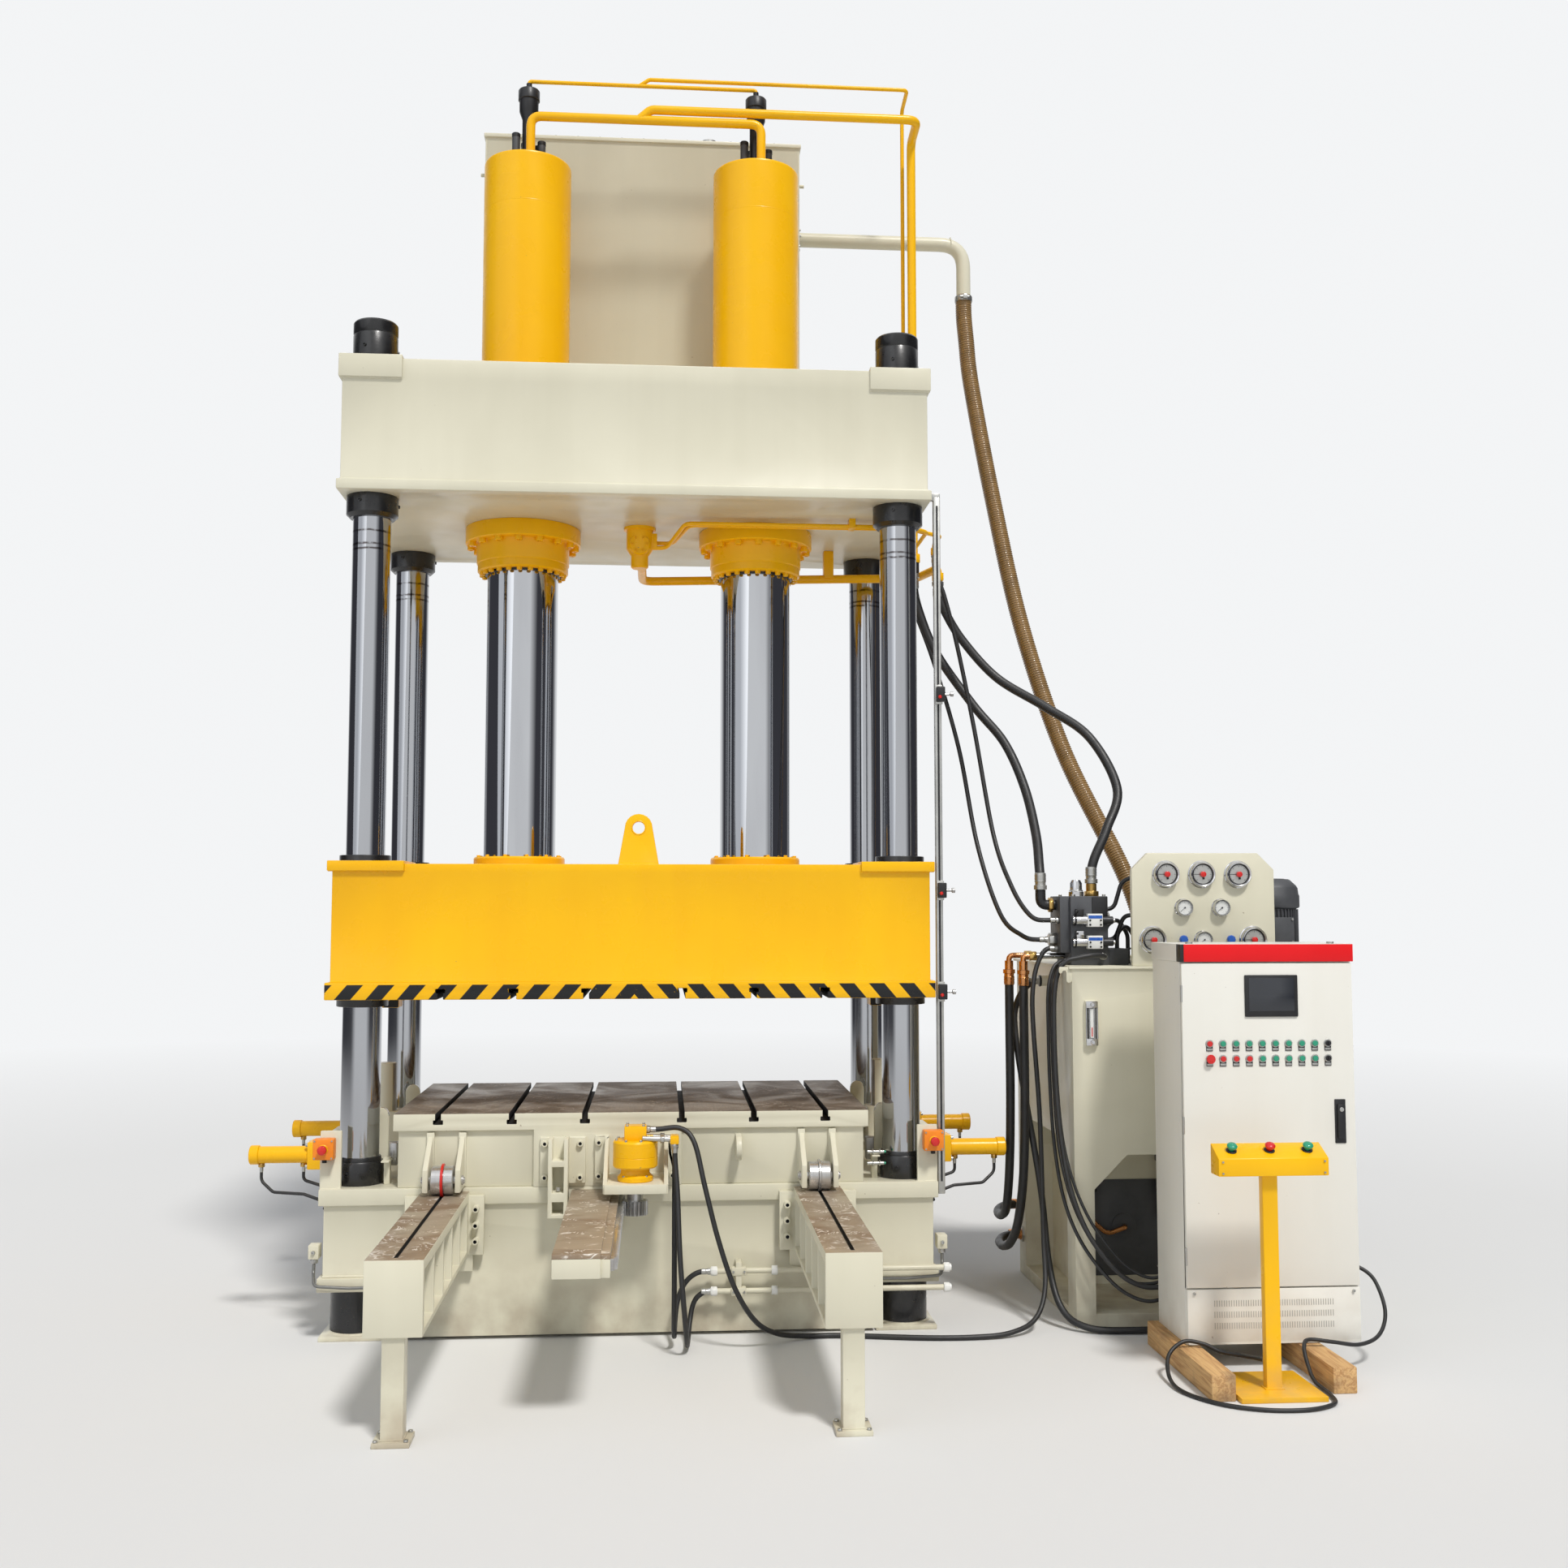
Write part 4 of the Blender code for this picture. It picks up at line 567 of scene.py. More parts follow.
class Finishes:
    """The finishes that several sub-assemblies share."""

    def __init__(self) -> None:
        """Builds each material once."""
        cream, dull = (0.7, 0.67, 0.53), (0.59, 0.56, 0.43)
        gold, amber = (0.93, 0.51, 0.002), (0.84, 0.4, 0.002)
        self.ivory = Paint("ivory_paint", cream, dull).build()
        self.ivory_low = Paint("ivory_paint_dusty", cream, dull, dust=0.6).build()
        self.white_coat = Paint("cabinet_paint", (0.79, 0.78, 0.72), (0.71, 0.69, 0.62), 0.4, 0.35).build()
        self.band = Paint("red_band_paint", (0.78, 0.006, 0.01), (0.66, 0.005, 0.008), 0.42).build()
        self.yellow = Paint("yellow_paint", gold, amber, gloss=0.3).build()
        self.yellow_low = Paint("yellow_paint_dusty", gold, amber, gloss=0.32, dust=0.35).build()
        self.slide = Paint("slide_paint", gold, amber, gloss=0.3, stripes=True).build()
        self.ground = Steel(
            "ground_steel", (0.46, 0.385, 0.29), (0.27, 0.185, 0.115), 0.5, 0.46, (1.5, 30.0, 1.5), 0.9, 0.4
        ).build()
        self.table = Steel(
            "table_steel", (0.36, 0.325, 0.285), (0.15, 0.115, 0.085), 0.6, 0.4, (26.0, 1.0, 26.0), 0.25, 0.6
        ).build()
        self.bright = Steel(
            "bright_steel", (0.56, 0.56, 0.56), (0.3, 0.28, 0.26), 0.35, 0.24, (1.0, 30.0, 30.0)
        ).build()
        self.zinc = Plain("zinc_plate", (0.5, 0.5, 0.48), 0.34, 0.9, 240.0, 0.08).build()
        self.column = Chrome("column_chrome", (3.535, 3.475, 3.452), 0.07, (0.47, 0.48, 0.5)).build()
        self.mirror = Chrome("rod_chrome", (), 0.035, (0.56, 0.57, 0.59)).build()
        self.nut = Plain("black_nut", (0.014, 0.014, 0.015), 0.3, 0.15, 90.0, 0.15, 0.6, 0.25).build()
        self.black = Plain("black_fitting", (0.022, 0.022, 0.024), 0.38, 0.3, 200.0, 0.1).build()
        self.graphite = Plain("graphite_casting", (0.075, 0.078, 0.085), 0.5, 0.25, 140.0, 0.35).build()
        self.brass = Plain("brass", (0.62, 0.4, 0.13), 0.3, 1.0, 150.0, 0.08, 0.5).build()
        self.copper = Plain("copper_plating", (0.66, 0.3, 0.12), 0.26, 1.0, 150.0, 0.08, 0.5).build()
        self.bezel = Plain("polished_bezel", (0.62, 0.62, 0.63), 0.1, 1.0, 200.0, 0.03, 0.25).build()
        self.red = Plain("red_plastic", (0.62, 0.012, 0.01), 0.28, coat=0.2, blotch=0.15).build()
        self.green = Plain("green_plastic", (0.012, 0.3, 0.17), 0.26, coat=0.3, blotch=0.15).build()
        self.blue = Plain("blue_plastic", (0.012, 0.1, 0.46), 0.28, coat=0.2, blotch=0.15).build()
        self.white = Plain("white_enamel", (0.8, 0.8, 0.77), 0.3, blotch=0.06, relief=0.02).build()
        self.orange = Plain(
            "orange_box", (0.9, 0.25, 0.008), 0.34, grain=300.0, relief=0.08, blotch=0.15
        ).build()
        self.rubber = Plain("black_rubber", (0.018, 0.018, 0.019), 0.46, 0.0, 420.0, 0.2, 0.6).build()
        self.braid = Plain("grey_conduit", (0.2, 0.2, 0.19), 0.42, 0.5, 500.0, 0.4).build()
        self.hose = Plain("brown_ribbed_hose", (0.27, 0.155, 0.05), 0.3, 0.0, 60.0, 0.15, 0.55, 0.25).build()
        # Grey painted shade that stands for the insides of the cabinet's pressed louvre slots.
        self.louvre = Plain("louvre_shade", (0.42, 0.41, 0.38), 0.5, blotch=0.1).build()
        # Near-black painted shade for the insides of T-slots, rail grooves, screw sockets and a sheet in the door.
        self.dark = Plain("dark_gap", (0.01, 0.01, 0.011), 0.7, blotch=0.2).build()
        self.screen = Plain(
            "display_glass", (0.006, 0.009, 0.016), 0.06, grain=20.0, relief=0.01, blotch=0.3, coat=0.8
        ).build()
        self.wood = Timber("sawn_timber").build()
        self.glass = Glazing("dial_glass").build()


def box_shape(low: Point, high: Point, edge: float = 0.002) -> bmesh.types.BMesh:
    """A block with rounded edges.

    Args:
        low: Lowest corner.
        high: Highest corner.
        edge: Width of the rounding, or 0 for none.

    Returns:
        A new bmesh.
    """
    ends = [sorted(pair) for pair in zip(low, high)]
    size = [b - a for a, b in ends]
    bm = bmesh.new()
    bmesh.ops.create_cube(
        bm, size=1.0, matrix=Matrix.Translation([(a + b) / 2 for a, b in ends]) @ Matrix.Diagonal((*size, 1))
    )
    if edge:
        bmesh.ops.bevel(
            bm, geom=bm.edges[:], offset=min(edge, min(size) * 0.3), offset_type="OFFSET", segments=2,
            profile=0.5, affect="EDGES", material=-1,
        )
    return bm


def aim(place: Point, direction: Point) -> Matrix:
    """A matrix that carries the origin to place and +Z to direction."""
    return Matrix.Translation(place) @ Vector(direction).to_track_quat("Z", "Y").to_matrix().to_4x4()


def circle(
    centre: Point, radius: float, count: int, start: float = 0.0, across: Axis = Axis.Z
) -> list[Point]:
    """Places that stand evenly round a centre.

    Args:
        centre: The middle of the circle.
        radius: Its radius.
        count: How many places.
        start: Angle of the first place, in radians.
        across: The direction that the circle faces.

    Returns:
        The places, in order.
    """
    first, second = [axis.value for axis in Axis if axis is not across]
    places = []
    for i in range(count):
        place = list(centre)
        place[first] += radius * math.cos(start + i * math.tau / count)
        place[second] += radius * math.sin(start + i * math.tau / count)
        places.append(place)
    return places


def turned_shape(profile: Profile, steps: int = 48) -> bmesh.types.BMesh:
    """Spins a profile about +Z into a closed solid, or into a ring if it never meets the axis.

    Args:
        profile: Pairs of radius and height.
        steps: Facets round the axis.

    Returns:
        A new bmesh.
    """
    bm = bmesh.new()
    verts = [bm.verts.new((radius, 0.0, height)) for radius, height in profile]
    ring = verts[:1] if min(profile[0][0], profile[-1][0]) > 0 else []
    edges = [bm.edges.new(pair) for pair in zip(verts, verts[1:] + ring)]
    bmesh.ops.spin(
        bm, geom=verts + edges, cent=(0, 0, 0), axis=(0, 0, 1), angle=math.tau, steps=steps, use_merge=True
    )
    bmesh.ops.remove_doubles(bm, verts=bm.verts[:], dist=1e-6)
    bmesh.ops.recalc_face_normals(bm, faces=bm.faces[:])
    return bm


def bar_shape(radius: float, length: float, steps: int = 32, edge: float = 0.001) -> bmesh.types.BMesh:
    """A round bar from the origin up +Z with chamfered ends.

    Args:
        radius: Its radius.
        length: Its length.
        steps: Facets round the axis.
        edge: Width of the chamfer.

    Returns:
        A new bmesh.
    """
    edge = min(edge, radius * 0.4, length * 0.4)
    return turned_shape([
        (0, 0), (radius - edge, 0), (radius, edge), (radius, length - edge), (radius - edge, length),
        (0, length),
    ], steps)


def plate_shape(
    outline: Profile, axis: Axis, low: float, high: float, edge: float = 0.002
) -> bmesh.types.BMesh:
    """Extrudes an outline along an axis and rounds its edges.

    Args:
        outline: Points across the axis.
        axis: The direction of the extrusion.
        low: Where it starts.
        high: Where it ends.
        edge: Width of the rounding, or 0 for none.

    Returns:
        A new bmesh.
    """
    bm = bmesh.new()

    def corner(u: float, v: float) -> tuple[float, float, float]:
        """Puts an outline point in space, at the low end."""
        return {Axis.X: (low, u, v), Axis.Y: (u, low, v), Axis.Z: (u, v, low)}[axis]

    face = bm.faces.new([bm.verts.new(corner(u, v)) for u, v in outline])
    grown = bmesh.ops.extrude_face_region(bm, geom=[face])
    step = Vector((0, 0, 0))
    step[axis.value] = high - low
    bmesh.ops.translate(bm, vec=step, verts=[v for v in grown["geom"] if isinstance(v, bmesh.types.BMVert)])
    bmesh.ops.recalc_face_normals(bm, faces=bm.faces[:])
    if edge:
        sharp = [e for e in bm.edges if e.is_manifold and e.calc_face_angle() > 0.5]
        bmesh.ops.bevel(
            bm, geom=sharp, offset=edge, offset_type="OFFSET", segments=2, profile=0.5, affect="EDGES",
            material=-1,
        )
    return bm


def ring_shape(
    radius: float, thick: float, steps: int = 40, sides: int = 12, arc: float = math.tau
) -> bmesh.types.BMesh:
    """Bends a round section into a ring about +Z.

    Args:
        radius: Middle radius.
        thick: Diameter of the section.
        steps: Facets along the ring.
        sides: Facets round the section.
        arc: Angle that the ring covers.

    Returns:
        A new bmesh.
    """
    bm = bmesh.new()
    turn = Matrix.Translation((radius, 0, 0)) @ Matrix.Rotation(math.pi / 2, 4, "X")
    made = bmesh.ops.create_circle(bm, cap_ends=False, segments=sides, radius=thick / 2, matrix=turn)
    geom = made["verts"] + bm.edges[:]
    bmesh.ops.spin(bm, geom=geom, cent=(0, 0, 0), axis=(0, 0, 1), angle=arc, steps=steps, use_merge=True)
    bmesh.ops.remove_doubles(bm, verts=bm.verts[:], dist=1e-6)
    bmesh.ops.recalc_face_normals(bm, faces=bm.faces[:])
    return bm


def screw_shape(width: float, steps: int = 18) -> bmesh.types.BMesh:
    """The head of a socket screw that stands up +Z, with its recess.

    Args:
        width: Diameter of the head.
        steps: Facets round the axis.

    Returns:
        A new bmesh.
    """
    r, h = width / 2, width * 0.62
    return turned_shape([
        (0, -0.002), (r, -0.002), (r, h * 0.85), (r * 0.86, h), (r * 0.52, h), (r * 0.5, h * 0.45),
        (0, h * 0.4),
    ], steps)


def hexagon_shape(width: float, height: float) -> bmesh.types.BMesh:
    """A hexagon nut that stands up +Z, with chamfered corners.

    Args:
        width: Size across the flats.
        height: Its height.

    Returns:
        A new bmesh.
    """
    bm = bmesh.new()
    bmesh.ops.create_cone(
        bm, cap_ends=True, segments=6, radius1=width / 1.732, radius2=width / 1.732, depth=height,
        matrix=Matrix.Translation((0, 0, height / 2)),
    )
    bmesh.ops.bevel(
        bm, geom=bm.edges[:], offset=width * 0.04, offset_type="OFFSET", segments=1, profile=0.5,
        affect="EDGES", material=-1,
    )
    return bm


class Shape:
    """One piece under construction, with one finish per material slot."""

    def __init__(self, name: str, *finishes: bpy.types.Material) -> None:
        """Starts an empty piece."""
        self.name, self.finishes = name, finishes
        self.bm = bmesh.new()

    def add(self, part: bmesh.types.BMesh, slot: int = 0, at: Iterable[Matrix] = (Matrix(),)) -> "Shape":
        """Copies a small bmesh to each place and frees it.

        Args:
            part: The bmesh.
            slot: Index of its finish.
            at: A matrix for each copy.

        Returns:
            This shape.
        """
        for face in part.faces:
            face.material_index = slot
        mesh = bpy.data.meshes.new("part")
        part.to_mesh(mesh)
        part.free()
        for place in at:
            mesh.transform(place)
            self.bm.from_mesh(mesh)
            mesh.transform(place.inverted())
        bpy.data.meshes.remove(mesh)
        return self

    def box(self, low: Point, high: Point, edge: float = 0.002, slot: int = 0) -> "Shape":
        """Adds a block with rounded edges."""
        return self.add(box_shape(low, high, edge), slot)

    def bar(
        self, start: Point, end: Point, width: float, slot: int = 0, steps: int = 32, edge: float = 0.001
    ) -> "Shape":
        """Adds a round bar between two points."""
        along = Vector(end) - Vector(start)
        return self.add(bar_shape(width / 2, along.length, steps, edge), slot, [aim(start, along)])

    def turn(
        self, profile: Profile, place: Point = (0, 0, 0), direction: Point = UP, slot: int = 0,
        steps: int = 48,
    ) -> "Shape":
        """Adds a turned solid whose own +Z points in a direction."""
        return self.add(turned_shape(profile, steps), slot, [aim(place, direction)])

    def screws(
        self, places: Iterable[Point], direction: Point, width: float, slot: int = 0, hole: int | None = None
    ) -> "Shape":
        """Adds a socket screw at each place.

        Args:
            places: Where the heads sit.
            direction: Where they point.
            width: Diameter of a head.
            slot: Index of their finish.
            hole: Index of the finish that paints shade into the sockets, if they have one.

        Returns:
            This shape.
        """
        seats = [aim(p, direction) for p in places]
        if hole is not None:
            # The socket recess gets its own finish, which is painted shade.
            r, h = width / 2, width * 0.62
            self.add(turned_shape([
                (0, h * 0.46), (r * 0.505, h * 0.5), (r * 0.515, h * 0.99), (r * 0.49, h * 0.99),
                (r * 0.485, h * 0.55), (0, h * 0.52),
            ], 18), hole, seats)
        return self.add(screw_shape(width), slot, seats)

    def nuts(
        self, places: Iterable[Point], direction: Point, width: float, height: float, slot: int = 0
    ) -> "Shape":
        """Adds a hexagon nut at each place.

        Args:
            places: Where the nuts stand.
            direction: Where they point.
            width: Size across the flats.
            height: Height of a nut.
            slot: Index of their finish.

        Returns:
            This shape.
        """
        return self.add(hexagon_shape(width, height), slot, [aim(place, direction) for place in places])

    def skin(
        self, node: bpy.types.Object, edge: float = 0.003,
        choose: Callable[[Vector, Vector], int] | None = None,
    ) -> "Shape":
        """Adds a copy of a CAD node with its corners merged and its sharp edges rounded.

        Args:
            node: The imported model's object.
            edge: Width of the rounding.
            choose: Gives the finish for a face from its centre and its normal.

        Returns:
            This shape.
        """
        bm = bmesh.new()
        bm.from_mesh(node.data)
        bmesh.ops.remove_doubles(bm, verts=bm.verts[:], dist=2e-5)
        bmesh.ops.dissolve_limit(bm, angle_limit=0.01, verts=bm.verts[:], edges=bm.edges[:])
        if edge:
            sharp = [
                e
                for e in bm.edges
                if e.is_manifold and e.calc_face_angle() > 0.6 and e.calc_length() > 3 * edge
            ]
            bmesh.ops.bevel(
                bm, geom=sharp, offset=edge, offset_type="OFFSET", segments=2, profile=0.5, affect="EDGES",
                clamp_overlap=False, material=-1,
            )
        slots = [choose(f.calc_center_median(), f.normal) if choose else 0 for f in bm.faces]
        mesh = bpy.data.meshes.new("part")
        for face, slot in zip(bm.faces, slots):
            face.material_index = slot
        bm.to_mesh(mesh)
        bm.free()
        self.bm.from_mesh(mesh)
        bpy.data.meshes.remove(mesh)
        return self

    def done(
        self, body: str = "frame", slot: str | None = None, nodes: Sequence[str] = (), soft: float = 0.62
    ) -> bpy.types.Object:
        """Turns the shape into a piece that rides on a body.

        Args:
            body: CAD body that it moves with.
            slot: Material slot of the record that it takes its finish from.
            nodes: CAD nodes that it stands for.
            soft: Angle below which an edge is shaded smooth, in radians.

        Returns:
            The new object.
        """
        for face in self.bm.faces:
            face.smooth = True
        for edge in self.bm.edges:
            edge.smooth = edge.is_manifold and edge.calc_face_angle() < soft
        mesh = bpy.data.meshes.new(self.name)
        self.bm.to_mesh(mesh)
        self.bm.free()
        for finish in self.finishes:
            mesh.materials.append(finish)
        return settle(bpy.data.objects.new(self.name, mesh), body, slot, nodes)


def settle(piece: bpy.types.Object, body: str, slot: str | None, nodes: Sequence[str]) -> bpy.types.Object:
    """Links a piece, puts it on its body and reports it.

    Args:
        piece: The object.
        body: CAD body that it moves with.
        slot: Material slot of the record.
        nodes: CAD nodes that it stands for.

    Returns:
        The same object.
    """
    bpy.context.scene.collection.objects.link(piece)
    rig.ride(piece, body)
    if slot:
        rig.slot(piece, slot)
    if nodes:
        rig.replaces(piece, *nodes)
    LOG.info("%s rides on %s", piece.name, body)
    return piece


def rounded(points: Sequence[Point], bend: float, steps: int = 8) -> list[Vector]:
    """Turns each corner of a pipe's centre line into an arc.

    Args:
        points: The corners and both ends.
        bend: Radius of the arcs.
        steps: Parts of an arc.

    Returns:
        The points of the line.
    """
    corners = [Vector(p) for p in points]
    line = [corners[0]]
    for before, corner, after in zip(corners, corners[1:], corners[2:]):
        back, on = before - corner, after - corner
        reach = min(bend / math.tan(back.angle(on) / 2), 0.48 * back.length, 0.48 * on.length)
        start, end = corner + back.normalized() * reach, corner + on.normalized() * reach
        for i in range(steps + 1):
            t = i / steps
            line.append(start * (1 - t) ** 2 + corner * 2 * t * (1 - t) + end * t**2)
    return line + [corners[-1]]


def flowing(places: Sequence[Point], parts: int = 10) -> list[Vector]:
    """A smooth line through all places but the first and last, which only aim its ends.

    Args:
        places: The places, with one more at each end.
        parts: Points between two places.

    Returns:
        The points of the line.
    """
    first, *points, last = [Vector(p) for p in places]
    start = points[1] - (points[0] - first).normalized() * 2 * (points[1] - points[0]).length
    end = points[-2] + (last - points[-1]).normalized() * 2 * (points[-1] - points[-2]).length
    ends = [start, *points, end]
    line = []
    for a, b, c, d in zip(ends, ends[1:], ends[2:], ends[3:]):
        for i in range(parts):
            t = i / parts
            line.append(0.5 * (
                2 * b + (c - a) * t + (2 * a - 5 * b + 4 * c - d) * t**2 + (3 * b - a - 3 * c + d) * t**3
            ))
    return [first] + line + [points[-1], last]


def curve_piece(
    name: str, lines: Sequence[Sequence[Vector]], width: float, finish: bpy.types.Material
) -> bpy.types.Object:
    """A curve object with a round section along each line.

    Args:
        name: The object's name.
        lines: Centre lines.
        width: Diameter of the section.
        finish: Its material.

    Returns:
        The new object, not linked.
    """
    curve = bpy.data.curves.new(name, "CURVE")
    curve.dimensions = "3D"
    curve.bevel_depth = width / 2
    curve.bevel_resolution = 5
    curve.use_fill_caps = True
    for line in lines:
        spline = curve.splines.new("POLY")
        spline.points.add(len(line) - 1)
        for point, place in zip(spline.points, line):
            point.co = (*place, 1.0)
        spline.use_smooth = True
    curve.materials.append(finish)
    return bpy.data.objects.new(name, curve)


def pipes(
    name: str, runs: Sequence[Sequence[Point]], width: float, bend: float, finish: bpy.types.Material,
    body: str = "frame", slot: str | None = None, nodes: Sequence[str] = (),
) -> bpy.types.Object:
    """Bent pipes of one size, as one piece.

    Args:
        name: The object's name.
        runs: Corners of each pipe.
        width: Diameter.
        bend: Radius of the bends.
        finish: Its material.
        body: CAD body that it moves with.
        slot: Material slot of the record.
        nodes: CAD nodes that it stands for.

    Returns:
        The new object.
    """
    return settle(curve_piece(name, [rounded(run, bend) for run in runs], width, finish), body, slot, nodes)


@dataclass
class Assembly:
    """A sub-assembly of the press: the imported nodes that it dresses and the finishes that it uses."""

    cad: dict[str, bpy.types.Object]
    finish: Finishes

    def build(self) -> None:
        """Makes the sub-assembly's pieces."""
        raise NotImplementedError


@dataclass
class Columns(Assembly):
    """Four chromed columns with their black nuts and foot plates."""

    x: float = 1.2
    y: float = 0.59
    width: float = 0.17

    def build(self) -> None:
        """Makes each column's shaft, nuts and foot."""
        f = self.finish
        r = self.width / 2
        for name, side, way in CORNERS:
            x, y = side * self.x, way * self.y
            shaft = Shape(f"column_{name}_shaft", f.column)
            shaft.turn([(0, 0.02), (r, 0.02), (r, 4.49), (0, 4.49)], (x, y, 0), steps=64)
            shaft.done(slot="chrome", nodes=[f"column_{name}"])
            nuts = Shape(f"column_{name}_nuts", f.nut)
            nuts.turn([(r, 0.02), (0.11, 0.02), (0.11, 0.2127), (r, 0.2127)], (x, y, 0), steps=64)
            nuts.turn([
                (r, 0.6453), (0.103, 0.6453), (0.105, 0.649), (0.105, 0.736), (0.1, 0.7453), (0.094, 0.7453),
                (0.094, 0.757), (0.091, 0.763), (r, 0.763),
            ], (x, y, 0), steps=64)
            nuts.turn([
                (r, 3.5997), (0.098, 3.5997), (0.115, 3.616), (0.115, 3.6975), (0.113, 3.6997), (r, 3.6997)
            ], (x, y, 0), steps=64)
            nuts.turn([
                (r, 4.3143), (0.098, 4.3143), (0.1, 4.317), (0.1, 4.44), (0.0965, 4.446), (0.1, 4.452),
                (0.1, 4.497), (0.094, 4.505), (0, 4.505),
            ], (x, y, 0), steps=64)
            for height, reach in ((0.695, 0.105), (3.665, 0.115), (4.38, 0.1)):
                for angle in (-1.9, 0.2, 2.3):
                    out = Vector((math.cos(angle), math.sin(angle), 0))
                    place = aim(Vector((x, y, height)) + out * (reach - 0.004), out)
                    nuts.add(screw_shape(0.016), 0, [place])
            nuts.done()
            foot = Shape(f"column_{name}_foot", f.ivory_low)
            foot.box((x - 0.135, y - 0.135, 0), (x + 0.135, y + 0.135, 0.02), 0.003)
            foot.turn([(r, 0.02), (0.124, 0.02), (0.117, 0.026), (r, 0.028)], (x, y, 0))
            foot.done(slot="ivory_paint")


@dataclass
class UpperBeam(Assembly):
    """The beam that carries the cylinders, with weld beads along its lip and pads."""

    half_x: float = 1.318
    half_y: float = 0.74
    low: float = 3.7

    def build(self) -> None:
        """Makes the beam and its welds."""
        skin = Shape("upper_beam_skin", self.finish.ivory).skin(self.cad["upper_beam"], 0.004)
        skin.done(slot="ivory_paint", nodes=["upper_beam"])
        weld = Shape("upper_beam_welds", self.finish.ivory)
        z = self.low + 0.046
        for way in (-1, 1):
            y = way * (self.half_y + 0.001)
            weld.bar((-self.half_x, y, z), (self.half_x, y, z), 0.01, steps=10)
            y = way * (self.half_y + 0.002)
            for side in (-1, 1):
                x0, x1 = side * (self.half_x + 0.012), side * (self.half_x + 0.015 - 0.28)
                weld.bar((x0, y, 4.208), (x1, y, 4.208), 0.009, steps=10)
        for side in (-1, 1):
            x = side * (self.half_x + 0.001)
            weld.bar((x, -self.half_y, z), (x, self.half_y, z), 0.01, steps=10)
        for side in (-1, 1):
            weld.add(ring_shape(0.217, 0.012, 64, 8), 0, [Matrix.Translation((side * 0.573, 0, 4.301))])
        weld.done()


@dataclass
class Rams(Assembly):
    """Two main cylinders with their bolted flanges and glands, and the chromed rods."""

    x: float = 0.573

    def build(self) -> None:
        """Makes both cylinders and both rods."""
        f = self.finish
        for name, side in SIDES:
            x = side * self.x
            barrel = Shape(f"cylinder_{name}_barrel", f.yellow)
            barrel.turn([
                (0.173, 3.4797), (0.212, 3.4797), (0.22, 3.4877), (0.22, 3.5217), (0.2235, 3.5247),
                (0.225, 3.5277), (0.225, 3.6117), (0.23, 3.6197), (0.275, 3.6197), (0.28, 3.6247),
                (0.28, 3.6967), (0.278, 3.6997), (0.215, 3.6997), (0.215, 3.704), (0.215, 5.291),
                (0.215, 5.294), (0.2143, 5.297), (0.2154, 5.3), (0.2143, 5.303), (0.215, 5.306),
                (0.215, 5.309), (0.215, 5.532), (0.215, 5.536), (0.2145, 5.542), (0.212, 5.547),
                (0.207, 5.5495), (0.2, 5.55), (0.03, 5.55), (0.03, 5.48), (0.173, 5.48), (0.173, 3.4797),
            ], (x, 0, 0), steps=96)
            barrel.screws(circle((x, 0, 3.481), 0.198, 24), DOWN, 0.026)
            barrel.screws(circle((x, 0, 3.6205), 0.254, 16), DOWN, 0.036)
            barrel.screws(circle((x, 0, 5.549), 0.15, 8), UP, 0.03)
            barrel.done(slot="yellow_paint", nodes=[f"cylinder_{name}"])
            seal = Shape(f"cylinder_{name}_wiper", f.black)
            seal.turn([(0.1726, 3.47), (0.182, 3.47), (0.186, 3.4795), (0.1726, 3.4795)], (x, 0, 0), steps=96)
            seal.done()
            shaft = Shape(f"rod_{name}_shaft", f.mirror).turn([
                (0, 2.045), (0.1725, 2.045), (0.1725, 4.05), (0, 4.05)
            ], (x, 0, 0), steps=96)
            shaft.done("slide_unit", "chrome", [f"rod_{name}"])
            ring = Shape(f"rod_{name}_ring", f.yellow)
            ring.turn([
                (0.173, 2.0403), (0.2185, 2.0403), (0.2185, 2.082), (0.2125, 2.0903), (0.18, 2.0903),
                (0.173, 2.086),
            ], (x, 0, 0), steps=96)
            ring.screws(circle((x, 0, 2.088), 0.197, 12, math.pi / 12), UP, 0.018)
            ring.done("slide_unit")


@dataclass
class TopTank(Assembly):
    """The oil tank on the beam, with its lid, breather, lifting pins and suction pipe."""

    half_x: float = 0.82
    front: float = 0.33
    top: float = 5.89

    def build(self) -> None:
        """Makes the tank and its pipe."""
        f = self.finish
        skin = Shape("oil_tank_skin", f.ivory).skin(self.cad["oil_tank"], 0.003)
        skin.done(slot="ivory_paint", nodes=["oil_tank"])
        trim = Shape("oil_tank_trim", f.ivory, f.zinc)
        trim.screws([
            (x * 0.115, y, self.top - 0.001) for x in range(-6, 7) for y in (self.front + 0.012, 0.712)
        ], UP, 0.016, 1)
        trim.bar((0.35, 0.53, self.top + 0.05), (0.35, 0.53, self.top + 0.095), 0.085, 1)
        for x in (-self.half_x, self.half_x):
            trim.bar((x, self.front + 0.004, 4.31), (x, self.front + 0.004, self.top - 0.02), 0.01, steps=10)
        y = self.front - 0.001
        trim.bar((-self.half_x, y, 4.305), (self.half_x, y, 4.305), 0.012, steps=10)
        trim.done()
        pipes(
            "suction_pipe_run", [[(0.82 + GAP, 0.5, 5.444), (1.734, 0.5, 5.444), (1.734, 0.5, 5.16)]], 0.076,
            0.13, f.ivory, slot="ivory_paint", nodes=["suction_pipe"],
        )
        flange = Shape("suction_pipe_flange", f.ivory, f.zinc)
        flange.turn([
            (0.036, 0), (0.065, 0), (0.065, 0.013), (0.063, 0.015), (0.036, 0.015)
        ], (0.82 + GAP, 0.5, 5.444), RIGHT)
        flange.screws(circle((0.835, 0.5, 5.444), 0.052, 6, across=Axis.X), RIGHT, 0.014, 1)
        for x in (1.43, 1.662):
            flange.add(ring_shape(0.0385, 0.005, 32, 8), 0, [aim((x, 0.5, 5.444), RIGHT)])
        flange.done()


